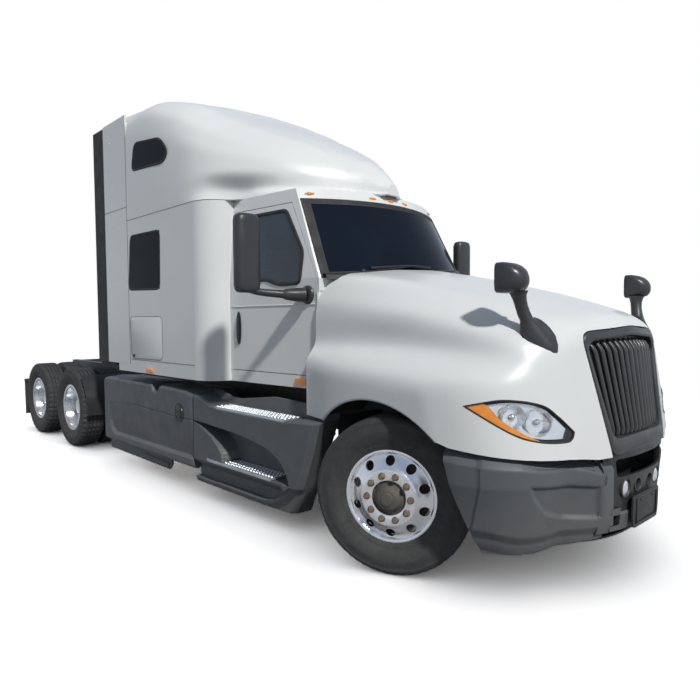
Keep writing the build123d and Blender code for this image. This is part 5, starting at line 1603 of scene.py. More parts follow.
# ---------------------------------------------------------------- headlamps
@dataclass
class HeadlampForm:
    """Almond outline of a headlamp on a plane that faces half forward and half outboard."""

    x: float = 0.900
    y: float = 0.960
    z: float = 1.080
    tip: Point = (-0.305, 0.070)
    brow: Point = (0.110, 0.079)
    knee: Point = (0.318, -0.085)
    toe: Point = (0.262, -0.135)

    def outline(self, grow: float = 0.0, count: int = 96) -> np.ndarray:
        """Closed outline for the left lamp, its first measure forward and inboard.

        Args:
            grow: margin added all round.
            count: how many points.

        Returns:
            The points.
        """
        upper = spline([self.tip, (-0.100, 0.108), self.brow, (0.215, 0.010), self.knee], count // 2)
        lower = spline([self.knee, (0.304, -0.120), self.toe, (0.10, -0.124), (-0.060, -0.075), self.tip], count // 2)
        ring = np.vstack([upper[:-1], lower[:-1]])
        centre = ring.mean(axis=0)
        away = ring - centre
        return ring + away / np.linalg.norm(away, axis=1, keepdims=True) * grow

    def lift(self, flat: np.ndarray) -> np.ndarray:
        """Places on the lamp's plane, left side, in the hood's own measure.

        Args:
            flat: places on the lamp's plane.

        Returns:
            The points.
        """
        root = math.sqrt(0.5)
        along = np.array([root, -root, 0.0])
        up = np.array([0.0, 0.0, 1.0])
        return np.array([self.x, self.y, self.z]) + flat[..., :1] * along + flat[..., 1:] * up

    def on_skin(self, flat: np.ndarray, back: float) -> np.ndarray:
        """Points of the hood's surface behind places on the plane, pushed back from it.

        Args:
            flat: places on the lamp's plane.
            back: how far behind the surface.

        Returns:
            The points.
        """
        root = math.sqrt(0.5)
        out = np.array([root, root, 0.0])
        origins = self.lift(flat) + out * 0.9
        hits = FORM.hit(origins, np.broadcast_to(-out, origins.shape), 0.0, 1.5)
        return placed(hits - out * back)

    def cutter(self, grow: float) -> Shape:
        """Closed shape that opens the hood for the left lamp.

        Args:
            grow: margin added all round.

        Returns:
            The shape.
        """
        root = math.sqrt(0.5)
        out = np.array([root, root, 0.0])
        ring = placed(self.lift(self.outline(grow)))
        return Shape.loft([ring - out * 0.25, ring + out * 0.45])


@dataclass
class Headlamp:
    """Clear lens over chrome bowls, with a ribbed amber strip along its lower edge."""

    form: HeadlampForm = field(default_factory=HeadlampForm)
    rings: int = 9

    def build(self) -> None:
        """Make both lamps."""
        SHOP.piece(
            "headlamp_housings", self._dish(1.0, 0.012, (0.026, 0.052, 0.085)).both_sides(), BLACK_PLASTIC, "hood",
            replaces=("headlamps",), sharp=45.0,
        )
        SHOP.piece(
            "headlamp_liners", self._dish(0.86, 0.018, (0.030, 0.044, 0.070)).both_sides(), CLEAR_LENS, "hood",
            sharp=45.0,
        )
        SHOP.piece("headlamp_lenses", self._lens().both_sides(), LAMP_GLASS, "hood", sharp=50.0)
        SHOP.piece("headlamp_reflectors", self._bowls().both_sides(), CHROME_TRIM, "hood", sharp=50.0)
        SHOP.piece("turn_signals", self._amber().both_sides(), AMBER_LENS, "hood", sharp=40.0)
        SHOP.piece("headlamp_seals", self._seal().both_sides(), BLACK_RUBBER, "hood", sharp=60.0)

    def _disc(self, scale: float, back: float) -> np.ndarray:
        """Ring of the lamp's outline scaled about its middle and pushed back from the skin.

        Args:
            scale: size as a share of the lamp's outline.
            back: how far behind the surface.

        Returns:
            The points.
        """
        ring = self.form.outline(-0.002)
        centre = ring.mean(axis=0)
        return self.form.on_skin(centre + (ring - centre) * scale, back)

    def _lens(self) -> Shape:
        """Lens: a thin sheet that follows the hood, domed by a few millimetres.

        Returns:
            The shape.
        """
        rings = [self._disc(1.0, 0.012)]
        for part in np.linspace(1.0, 0.06, self.rings):
            rings.append(self._disc(part, -0.004 * (1 - part**4)))
        return Shape.loft(rings, caps=False)

    def _dish(self, size: float, edge: float, backs: Sequence[float]) -> Shape:
        """Body behind the lens, deeper towards its middle.

        Args:
            size: its outline against the lamp's.
            edge: how far back its edge lies.
            backs: how far back its next rings lie.

        Returns:
            The body.
        """
        rings = [self._disc(size, edge)]
        for part, back in zip((0.97, 0.90, 0.10), backs):
            rings.append(self._disc(part * size, back))
        return Shape.loft(rings, caps=True)

    def _bowls(self) -> Shape:
        """Two reflector bowls with a bulb shield each, and a stepped bright shelf.

        Returns:
            The shape.
        """
        made = Shape()
        root = math.sqrt(0.5)
        for place, radius in (((-0.045, 0.012), 0.068), ((0.095, -0.020), 0.078)):
            centre = self.form.on_skin(np.array([place]), 0.062)[0]
            profile = [(0.046, radius), (0.030, radius * 0.86), (0.012, radius * 0.6), (0.0, radius * 0.25),
                       (0.0, 0.004)]
            made.join(Shape.lathe(profile, centre, (root, root, 0.05), 40, closed=False))
            made.join(Shape.lathe([(0.004, 0.012), (0.030, 0.018), (0.040, 0.010), (0.042, 0.001)], centre,
                                  (root, root, 0.05), 24, closed=False))
        shelf = np.array([(-0.20, 0.075), (-0.05, 0.090), (0.10, 0.062), (0.19, -0.010)])
        for offset in (0.0, -0.010, -0.020):
            line = self.form.on_skin(spline(shelf + [0.0, offset], 30), 0.022 - offset)
            made.join(Shape.tube(line, 0.0045, sides=8))
        return made

    def _amber(self) -> Shape:
        """Amber strip from the tip along the lower edge, with fine ribs.

        Returns:
            The shape.
        """
        lower = spline([
            (0.095, -0.122), (0.03, -0.106), (-0.05, -0.078), (-0.15, -0.026), (-0.235, 0.024), (-0.298, 0.067),
        ], 60)
        upper = spline([
            (0.098, -0.116), (0.03, -0.086), (-0.04, -0.048), (-0.12, 0.006), (-0.195, 0.083), (-0.296, 0.073),
        ], 60)
        rows = []
        for part in np.linspace(0.0, 1.0, 9):
            flat = lower * (1 - part) + upper * part
            back = 0.004 + 0.0012 * np.cos(np.arange(60) * math.pi)
            points = self.form.on_skin(flat, 0.0)
            rows.append(points - np.array([1.0, 1.0, 0.0]) * back[:, None] * math.sqrt(0.5))
        return Shape.grid(np.array(rows))

    def _seal(self) -> Shape:
        """Thin dark seal round the lens."""
        return Shape.tube(self._disc(1.004, 0.002), 0.0052, sides=8, closed=True)


# ---------------------------------------------------------------- roof fairing and sleeper
def ray_section(corners: Sequence[Point], angles: np.ndarray, centre: Point) -> np.ndarray:
    """Distance from a centre to a section's straight runs, at each angle.

    Args:
        corners: the section's corners in order round the centre.
        angles: directions, from level upward.
        centre: the point measured from.

    Returns:
        One distance for each angle.
    """
    ring = np.asarray(corners, float) - np.asarray(centre, float)
    turns = np.arctan2(ring[:, 1], ring[:, 0])
    out = np.empty(len(angles))
    for number, angle in enumerate(angles):
        piece = int(np.clip(np.searchsorted(turns, angle, side="right") - 1, 0, len(ring) - 2))
        a, b = ring[piece], ring[piece + 1]
        run = np.array([math.cos(angle), math.sin(angle)])
        side = b - a
        out[number] = (a[0] * side[1] - a[1] * side[0]) / (run[0] * side[1] - run[1] * side[0])
    return out


@dataclass
class RoofForm:
    """Smooth outer surface of the roof fairing, from the sleeper's rear to the nose over the windshield.

    Each section is (x; foot; hollow; lip; side; shoulder; edge; crown), as places across and heights
    above the cab roof.
    """

    base_z: float = 2.70
    turns: int = 181
    sections: tuple[tuple, ...] = (
        (-3.81, (1.215, 0.0), (1.215, 0.09), (1.215, 0.21), (1.213, 0.90), (1.190, 1.09), (1.060, 1.185), 1.230),
        (-3.40, (1.215, 0.0), (1.215, 0.09), (1.215, 0.21), (1.213, 0.86), (1.185, 1.05), (1.040, 1.165), 1.225),
        (-3.00, (1.215, 0.0), (1.215, 0.09), (1.215, 0.21), (1.210, 0.80), (1.180, 1.01), (1.030, 1.140), 1.205),
        (-2.60, (1.215, 0.0), (1.214, 0.09), (1.212, 0.21), (1.195, 0.68), (1.140, 0.88), (0.920, 1.035), 1.100),
        (-2.30, (1.215, 0.0), (1.208, 0.09), (1.203, 0.21), (1.165, 0.55), (1.070, 0.74), (0.810, 0.880), 0.950),
        (-2.10, (1.185, 0.0), (1.150, 0.09), (1.165, 0.21), (1.110, 0.46), (1.010, 0.63), (0.750, 0.770), 0.860),
        (-1.95, (1.060, 0.0), (1.010, 0.09), (1.105, 0.21), (1.050, 0.41), (0.950, 0.56), (0.700, 0.700), 0.795),
        (-1.80, (0.915, 0.0), (0.890, 0.08), (1.010, 0.21), (0.960, 0.37), (0.860, 0.50), (0.620, 0.630), 0.725),
        (-1.60, (0.885, 0.0), (0.770, 0.08), (0.850, 0.20), (0.805, 0.33), (0.710, 0.43), (0.510, 0.540), 0.620),
        (-1.40, (0.872, 0.0), (0.610, 0.06), (0.635, 0.19), (0.590, 0.28), (0.505, 0.36), (0.350, 0.450), 0.510),
        (-1.20, (0.835, 0.0), (0.400, 0.045), (0.380, 0.15), (0.345, 0.225), (0.290, 0.29), (0.190, 0.360), 0.395),
        (-1.05, (0.600, 0.0), (0.230, 0.035), (0.215, 0.11), (0.190, 0.170), (0.150, 0.215), (0.095, 0.255), 0.275),
        (-0.94, (0.190, 0.0), (0.130, 0.03), (0.120, 0.08), (0.100, 0.120), (0.075, 0.150), (0.045, 0.170), 0.180),
        (-0.86, (0.070, 0.0), (0.055, 0.02), (0.050, 0.04), (0.040, 0.055), (0.030, 0.065), (0.018, 0.075), 0.080),
    )
    _angles: np.ndarray = field(init=False, repr=False)
    _along: np.ndarray = field(init=False, repr=False)
    _radii: np.ndarray = field(init=False, repr=False)

    def __post_init__(self) -> None:
        """Turn the sections into one smooth table of distances from the centre line."""
        self._angles = np.linspace(0.0, math.pi / 2, self.turns)
        stations = np.array([section[0] for section in self.sections])
        rows = []
        for section in self.sections:
            shoulder = (0.5 * section[6][0], 0.25 * section[6][1] + 0.75 * section[7])
            corners = [*section[1:7], shoulder, (0.0, section[7])]
            full = ray_section(corners, self._angles, (0.0, 0.0))
            mirrored = np.concatenate([full, full[-2::-1]])
            rows.append(blur(mirrored, 0, 3.2)[: self.turns])
        table = np.array(rows)
        self._along = np.linspace(stations[0], stations[-1], 240)
        curves = []
        for turn in range(self.turns):
            knots = np.stack([stations, table[:, turn]], axis=1)
            curve = spline(knots, 500)
            curves.append(np.interp(self._along, curve[:, 0], curve[:, 1]))
        self._radii = blur(np.array(curves).T, 0, 2.6)

    def ring(self, x: float, count: int = 75, shrink: float = 0.0) -> np.ndarray:
        """Points over the fairing at one place along, right side to left side.

        Args:
            x: distance ahead of the front axle.
            count: how many points.
            shrink: how far inside the true line.

        Returns:
            The points.
        """
        wanted = np.linspace(0.0, math.pi / 2, count)
        row = np.array([np.interp(x, self._along, self._radii[:, turn]) for turn in range(self.turns)])
        radius = np.interp(wanted, self._angles, row) - shrink
        y, h = radius * np.cos(wanted), radius * np.sin(wanted)
        h = h + self._lines(x, y)
        half = np.stack([np.full(count, x), y, self.base_z + h], axis=1)
        other = half[-2::-1] * np.array([1.0, -1.0, 1.0])
        return np.vstack([half, other])[::-1]

    @staticmethod
    def _lines(x: float, y: np.ndarray) -> np.ndarray:
        """Lift that draws the shallow pan let into the top of the fairing.

        Args:
            x: distance ahead of the front axle.
            y: distance across.

        Returns:
            The lift at each point.
        """
        inside = smooth_step(np.full_like(y, x), -2.55, -2.40) * smooth_step(np.full_like(y, -x), 1.10, 1.20)
        half = 0.30 + 0.17 * (-x - 1.1)
        pan = smooth_step(-np.abs(y), -half, -half + 0.035)
        return -0.016 * inside * pan


ROOF = RoofForm()


@dataclass
class RoofFairing:
    """Roof fairing in one white moulding with the sleeper's upper windows let into it."""

    rear: float = -3.81
    nose: float = -0.86
    rows: int = 150
    skin: float = 0.028
    window: tuple[Point, ...] = ((-3.31, 3.46), (-2.755, 3.39), (-2.60, 3.235), (-2.70, 3.15), (-3.38, 3.19))

    def build(self) -> None:
        """Make the moulding, with the openings for the upper windows cut out."""
        shape = self._skin()
        opening = round_corners(self.window, 0.085, 8)
        cuts = [
            Shape.prism(opening, (FRONT_AXLE_X, side * 1.15 + 0.15, 0.0), (1, 0, 0), (0, 0, 1), 0.3)
            for side in (-1, 1)
        ]
        SHOP.piece(
            "roof_fairing_skin", shape, WHITE_PAINT, "chassis", replaces=("roof_fairing",), sharp=40.0,
            solid=self.skin, inward=(ahead(-2.9), 0.0, 3.0), cutters=cuts,
        )

    def _skin(self) -> Shape:
        """Sheet over the rings, closed at the nose and across the rear.

        Returns:
            The shape.
        """
        rows = [placed(ROOF.ring(x)) for x in np.linspace(self.rear, self.nose, self.rows)]
        shape = Shape.grid(np.array(rows))
        across = len(rows[0])
        shape.faces.append(tuple(range(across))[::-1])
        shape.faces.append(tuple((self.rows - 1) * across + number for number in range(across)))
        return shape


@dataclass
class SideWindow:
    """Fixed pane in the sleeper's side: glass darkened by painted shade, in a rubber that stands just proud of the
    skin.
    """

    name: str
    outline: tuple[Point, ...]
    face_y: float = 1.215
    corner: float = 0.075
    rubber: float = 0.012

    def build(self) -> tuple[Shape, Shape]:
        """Glass and rubber of the pane on both sides.

        Returns:
            The glass and the rubber.
        """
        ring = round_corners(self.outline, self.corner, 8)
        centre = ring.mean(axis=0)
        glass_ring = centre + (ring - centre) * 0.985
        glass = Shape.prism(glass_ring, (FRONT_AXLE_X, -self.face_y + 0.008, 0.0), (1, 0, 0), (0, 0, 1), 0.006)
        path = np.stack([ring[:, 0] + FRONT_AXLE_X, np.full(len(ring), -self.face_y + 0.004), ring[:, 1]], axis=1)
        rubber = Shape.tube(path, self.rubber, sides=8, flat=0.6, closed=True)
        return glass.both_sides(), rubber.both_sides()


@dataclass
class Sleeper:
    """Windows, hatch and seams of the sleeper's sides."""

    low_window: tuple[Point, ...] = ((-3.45, 2.53), (-2.79, 2.52), (-2.81, 1.95), (-3.51, 1.97))
    hatch: tuple[Point, ...] = ((-3.50, 1.685), (-2.78, 1.680), (-2.78, 1.250), (-3.48, 1.245))

    def build(self) -> None:
        """Make the panes, the hatch and the seams."""
        low = SideWindow("low", self.low_window).build()
        high = SideWindow("high", RoofFairing().window, corner=0.085).build()
        # The panes' near-black colour is painted shade of the interior behind them, with a painted sky reflection.
        SHOP.piece(
            "sleeper_window_panes", low[0].join(high[0]), GLASS_WITH_PAINTED_SHADE, "chassis", replaces=("sleeper_windows",),
            sharp=40.0,
        )
        SHOP.piece("sleeper_window_rubbers", low[1].join(high[1]), BLACK_RUBBER, "chassis", sharp=60.0)
        SHOP.piece("body_seams", self._seams().both_sides(), SEAM_BLACK, "chassis", sharp=60.0)
        SHOP.piece("hatch_doors", self._hatch().both_sides(), WHITE_PAINT, "chassis", sharp=40.0, bevel=0.002)
        SHOP.piece("hatch_latches", self._latch().both_sides(), BLACK_PLASTIC, "chassis", sharp=50.0, bevel=0.002)

    @staticmethod
    def _line(points: Sequence[Point], half: float = 0.0022, closed: bool = False) -> Shape:
        """Thin dark line on the body's right side through the points."""
        return Shape.tube(placed(np.asarray(points, float)), half, sides=6, flat=0.8, closed=closed)

    def _seams(self) -> Shape:
        """Seams between the sleeper, the roof and the side panels.

        Returns:
            The shape.
        """
        made = Shape()
        side = [(x, -1.2150, 2.70) for x in np.linspace(-3.52, -2.17, 20)]
        turn = [
            (-2.16 + 0.24 * math.sin(a), -0.975 - 0.24 * math.cos(a), 2.70)
            for a in np.linspace(0, math.pi / 2, 14)
        ]
        made.join(self._line([*side, *turn, (-1.92, -0.95, 2.70)]))
        made.join(self._line([(-3.518, -1.2155, z) for z in np.linspace(1.18, 3.70, 30)]))
        made.join(self._line([(x, -1.2155, 2.845) for x in np.linspace(-4.085, -3.525, 10)]))
        ring = round_corners(self.hatch, 0.07, 8)
        made.join(self._line([(x, -1.2153, z) for x, z in ring], closed=True))
        made.join(self._line([(x, -1.2155, 1.235) for x in np.linspace(-3.50, -2.17, 20)]))
        return made

    def _hatch(self) -> Shape:
        """Hatch panel that stands a millimetre proud.

        Returns:
            The shape.
        """
        ring = round_corners(self.hatch, 0.07, 8)
        centre = ring.mean(axis=0)
        inner = centre + (ring - centre) * 0.985
        return Shape.prism(inner, (FRONT_AXLE_X, -1.2138, 0.0), (1, 0, 0), (0, 0, 1), 0.0025)

    @staticmethod
    def _latch() -> Shape:
        """Small latch at the hatch's upper corner."""
        ring = round_corners([(-0.020, -0.016), (0.020, -0.016), (0.020, 0.016), (-0.020, 0.016)], 0.008)
        return Shape.prism(ring, (ahead(-3.42), -1.2160, 1.275), (1, 0, 0), (0, 0, 1), 0.006)


# ---------------------------------------------------------------- cab
@dataclass
class CabFront:
    """Bowed, raked front of the cab that carries the windshield."""

    belt_z: float = 1.96
    roof_z: float = 2.70
    corners: Point = (-0.80, -1.16)
    halves: Point = (0.925, 0.845)
    bows: Point = (0.300, 0.235)

    def point(self, y: np.ndarray, z: np.ndarray, out: float = 0.0) -> np.ndarray:
        """Places on the front, moved out from it.

        Args:
            y: places across.
            z: heights.
            out: distance forward of the surface.

        Returns:
            Points in the frame's axes.
        """
        y, z = np.asarray(y, float), np.asarray(z, float)
        part = (z - self.belt_z) / (self.roof_z - self.belt_z)
        corner = self.corners[0] + (self.corners[1] - self.corners[0]) * part
        half = self.halves[0] + (self.halves[1] - self.halves[0]) * part
        bow = self.bows[0] + (self.bows[1] - self.bows[0]) * part
        radius = (half**2 + bow**2) / (2 * bow)
        x = corner + bow - (radius - np.sqrt(np.maximum(radius**2 - y**2, 0.0)))
        rise = 0.44
        points = np.stack([x + out * 0.9, y + out * 0.25 * y, z + out * rise], axis=-1)
        return placed(points)


CAB = CabFront()


@dataclass
class Windshield:
    """Windshield's black surround, glass, wipers and cowl."""

    lower: tuple[Point, ...] = ((0.860, 1.985), (0.45, 2.000), (0.0, 2.010), (-0.45, 2.000), (-0.860, 1.985))
    upper: tuple[Point, ...] = ((-0.795, 2.580), (-0.40, 2.587), (0.0, 2.590), (0.40, 2.587), (0.795, 2.580))

    def _ring(self, sides: float, ends: float) -> np.ndarray:
        """Outline of the pane, moved outward by margins at its sides and at its top and foot.

        Args:
            sides: margin at the sides.
            ends: margin at the top and the foot.

        Returns:
            The points.
        """
        low = spline([(y * (1 + sides / 0.86), z - ends) for y, z in self.lower], 40)
        high = spline([(y * (1 + sides / 0.80), z + ends) for y, z in self.upper], 40)
        left = spline([low[-1], (low[-1] + high[0]) / 2, high[0]], 24)[1:-1]
        right = spline([high[-1], (low[0] + high[-1]) / 2, low[0]], 24)[1:-1]
        return np.vstack([low, left, high, right])

    def build(self) -> None:
        """Make the surround, the pane, the wipers and the cowl strip."""
        SHOP.piece("windshield_surround", self._surround(), BLACK_RUBBER, "chassis", sharp=40.0)
        # The windshield's near-black colour is painted shade of the cab's interior, with a painted sky reflection.
        SHOP.piece("windshield_pane", self._pane(), GLASS_WITH_PAINTED_SHADE, "chassis", replaces=("windshield",), sharp=40.0)
        SHOP.piece("wipers", self._wipers(), BLACK_PLASTIC, "chassis", sharp=50.0)
        SHOP.piece("cowl_strip", self._cowl(), BLACK_PLASTIC, "chassis", sharp=50.0)

    def _loop(self, sides: float, ends: float, out: float) -> np.ndarray:
        """Outline of the pane with its margins, laid on the cab's front."""
        ring = self._ring(sides, ends)
        return CAB.point(ring[:, 0], ring[:, 1], out)

    def _surround(self) -> Shape:
        """Band with a step down to the glass.

        Returns:
            The shape.
        """
        steps = ((0.050, 0.030, 0.001), (0.048, 0.028, 0.007), (0.018, 0.012, 0.009), (0.008, 0.004, 0.004),
                 (-0.012, -0.016, 0.003), (-0.012, -0.016, -0.020), (0.050, 0.030, -0.002))
        return Shape.loft([self._loop(*step) for step in steps] + [self._loop(*steps[0])], caps=False)

    def _pane(self) -> Shape:
        """Bowed glass as a grid between the lower and the upper edge.

        Returns:
            The shape.
        """
        low = spline(self.lower, 60)
        high = spline(self.upper, 60)[::-1]
        rows = []
        for out in (0.002, -0.004):
            sheet = []
            for part in np.linspace(0.0, 1.0, 24):
                line = low * (1 - part) + high * part
                sheet.append(CAB.point(line[:, 0], line[:, 1], out))
            rows.append(np.array(sheet))
        front, back = Shape.grid(rows[0]), Shape.grid(rows[1])
        return front.join(back)

    @staticmethod
    def _wipers() -> Shape:
        """Two wipers that lie along the foot of the glass.

        Returns:
            The shape.
        """
        made = Shape()
        for pivot, tip in ((-0.62, 0.08), (0.16, 0.80)):
            arm = spline([(pivot, 1.985), ((pivot + tip) / 2, 2.030), (tip - 0.18, 2.052)], 24)
            path = CAB.point(arm[:, 0], arm[:, 1], 0.034)
            made.join(Shape.tube(path, np.linspace(0.013, 0.006, 24), sides=8, flat=0.7))
            blade = spline([(tip - 0.62, 2.028), (tip - 0.25, 2.056), (tip + 0.02, 2.052)], 30)
            line = CAB.point(blade[:, 0], blade[:, 1], 0.018)
            made.join(Shape.tube(line, 0.006, sides=6, flat=1.9))
            made.join(Shape.lathe([(0.0, 0.026), (0.035, 0.022), (0.045, 0.012), (0.046, 0.001)],
                                  CAB.point(pivot, 1.985, 0.0), (0.6, 0, 0.8), 20, closed=False))
        return made

    @staticmethod
    def _cowl() -> Shape:
        """Dark strip in the gap between the hood and the glass.

        Returns:
            The shape.
        """
        y = np.linspace(-0.90, 0.90, 61)
        steps = ((1.978, 0.004), (1.975, 0.03), (1.955, 0.05), (1.925, 0.04))
        rows = [CAB.point(y, np.full(61, z), out) for z, out in steps]
        return Shape.grid(np.array(rows))


@dataclass
class DoorTrim:
    """What dresses one door: window rubber, handle, crease, mirror and its arm."""

    side: int
    window: tuple[Point, ...] = (
        (-1.80, 1.975), (-1.41, 1.975), (-1.30, 1.935), (-1.20, 1.925), (-1.01, 1.930), (-1.00, 2.171),
        (-1.24, 2.53), (-1.80, 2.53),
    )

    @property
    def body(self) -> str:
        """Body of the door."""
        return "door_left" if self.side > 0 else "door_right"

    def face(self, x: np.ndarray, z: np.ndarray, out: float = 0.0) -> np.ndarray:
        """Places on the door's outer skin.

        Args:
            x: distance ahead of the front axle.
            z: height.
            out: how far off the surface.

        Returns:
            The points.
        """
        x, z = np.asarray(x, float), np.asarray(z, float)
        lean = np.clip((z - 1.96) / 0.74, 0.0, 1.0)
        front = 0.925 + (0.845 - 0.925) * lean
        rear = 0.990 + (0.930 - 0.990) * lean
        corner = -0.80 - 0.36 * lean
        part = np.clip((corner - x) / (corner + 1.92), 0.0, 1.0)
        half = front + (rear - front) * part
        return placed(np.stack([x, self.side * (half + out), z], axis=-1))

    def build(self) -> None:
        """Make the door's pieces."""
        end = self.body.split("_")[1]
        ring = round_corners(self.window, 0.045, 8)
        path = self.face(ring[:, 0], ring[:, 1], 0.002)
        SHOP.piece(
            f"door_window_rubber_{end}", Shape.tube(path, 0.016, sides=8, flat=0.55, closed=True), BLACK_RUBBER,
            self.body, sharp=60.0,
        )
        SHOP.piece(f"door_handle_{end}", self._handle(), BLACK_PLASTIC, self.body, sharp=50.0)
        SHOP.piece(f"door_crease_{end}", self._crease(), WHITE_PAINT, self.body, sharp=60.0)
        name = f"mirror_{end}"
        SHOP.piece(f"{name}_housing", self._mirror(), BLACK_PLASTIC_SATIN, self.body, replaces=(name,), sharp=50.0)
        SHOP.piece(f"{name}_panes", self._panes(), MIRROR_GLASS, self.body, sharp=40.0)

    def _handle(self) -> Shape:
        """Upright handle in an oval dish.

        Returns:
            The shape.
        """
        z = np.linspace(1.425, 1.715, 26)
        dish = np.sin(np.linspace(0.0, math.pi, 26)) ** 0.35
        rows = []
        for turn in np.linspace(0.0, 2 * math.pi, 17):
            x = -1.795 + 0.036 * np.cos(turn) * dish
            rows.append(self.face(x, z, 0.004 + 0.004 * math.sin(turn)))
        made = Shape.grid(np.array(rows))
        grip = self.face(np.full(20, -1.789), np.linspace(1.455, 1.685, 20), 0.014)
        made.join(Shape.tube(grip, 0.013 * np.sin(np.linspace(0.35, math.pi - 0.35, 20)) ** 0.5, sides=10, flat=1.2))
        return made

    def _crease(self) -> Shape:
        """Soft swage line along the door below the mirror."""
        x = np.linspace(-1.88, -0.83, 40)
        return Shape.tube(self.face(x, np.full(40, 1.758), 0.0005), 0.006, sides=8, flat=0.35)

    def _mirror(self) -> Shape:
        """Upright housing with a rounded front, on an arm that swells to its foot.

        Returns:
            The shape.
        """
        rings = []
        for z, grow in (
            (1.846, 0.55), (1.852, 0.80), (1.870, 0.94), (1.905, 1.0), (2.37, 1.0), (2.405, 0.95), (2.424, 0.82),
            (2.432, 0.55),
        ):
            turns = np.linspace(0, 2 * math.pi, 36, endpoint=False)
            bulge = np.sign(np.cos(turns)) * np.abs(np.cos(turns)) ** np.where(np.cos(turns) > 0, 0.85, 0.42)
            across = np.sign(np.sin(turns)) * np.abs(np.sin(turns)) ** 0.62
            x = -1.115 + bulge * np.where(bulge > 0, 0.060, 0.045) * grow
            y = 1.365 + across * 0.107 * grow
            rings.append(placed(np.stack([x, self.side * y, np.full(36, z)], axis=1)))
        made = Shape.loft(rings if self.side > 0 else [ring[::-1] for ring in rings])
        arm = spline([(-0.925, 0.955, 1.832), (-0.965, 1.02, 1.832), (-1.02, 1.13, 1.838), (-1.085, 1.27, 1.852),
                      (-1.11, 1.36, 1.870)], 30)
        arm[:, 1] *= self.side
        radii = np.interp(np.linspace(0, 1, 30), [0, 0.18, 0.34, 0.40, 1.0], [0.062, 0.056, 0.046, 0.034, 0.027])
        made.join(Shape.tube(placed(arm), radii, sides=16, flat=0.92))
        foot = self.face(np.array([-0.925]), np.array([1.832]))[0]
        made.join(Shape.lathe([(-0.002, 0.074), (0.012, 0.070), (0.022, 0.058), (0.024, 0.020)], foot,
                              (0, self.side, 0), 28, closed=False))
        return made

    def _panes(self) -> Shape:
        """Flat and convex mirror glass in the housing's rear.

        Returns:
            The shape.
        """
        made = Shape()
        for low, high in ((1.885, 2.075), (2.090, 2.400)):
            ring = round_corners([(-0.082, low), (0.082, low), (0.082, high), (-0.082, high)], 0.02)
            made.join(Shape.prism(ring, (ahead(-1.158), self.side * 1.365, 0.0), (0, 1, 0), (0, 0, 1), -0.005))
        return made


@dataclass
class RoofLamps:
    """Oval amber lamps along the roof's front edge, and side markers."""

    places: tuple[float, ...] = (-0.74, -0.20, 0.0, 0.20, 0.74)

    def build(self) -> None:
        """Make the lamps and their seats."""
        lens, seats = Shape(), Shape()
        for y in self.places:
            x = -1.14 + 0.235 * (1 - (y / 0.845) ** 2) - 0.014
            centre = placed(np.array([x, y, 2.652]))
            lens.join(self._dome(centre, (0.064, 0.052, 0.032)))
            seats.join(self._dome(centre - np.array([0.012, 0, 0.004]), (0.072, 0.062, 0.030)))
        SHOP.piece("roof_lamps", lens, AMBER_LENS, "chassis", replaces=("lamps",), sharp=50.0)
        SHOP.piece("roof_lamp_seats", seats, CHROME_TRIM, "chassis", sharp=50.0)
        SHOP.piece("side_markers", self._markers().both_sides(), AMBER_LENS, "chassis", sharp=50.0, bevel=0.003)

    @staticmethod
    def _dome(centre: np.ndarray, size: Point) -> Shape:
        """Low oval dome, longer across the vehicle."""
        return Shape.pad(tuple(centre), (size[0], size[1] * 2, size[2]), power=2.4, count=14)

    @staticmethod
    def _markers() -> Shape:
        """Marker lamps on the sleeper's foot and on the cab's sill.

        Returns:
            The shape.
        """
        made = Shape()
        ring = round_corners([(-0.065, -0.022), (0.065, -0.022), (0.065, 0.022), (-0.065, 0.022)], 0.012)
        made.join(Shape.prism(ring, (ahead(-3.055), -1.2150, 1.137), (1, 0, 0), (0, 0, 1), 0.018))
        ring = round_corners([(-0.06, -0.026), (0.06, -0.026), (0.06, 0.026), (-0.06, 0.026)], 0.010)
        made.join(Shape.prism(ring, (ahead(-1.005), -0.9370, 1.150), (1, 0.058, 0), (0, 0, 1), 0.014))
        return made


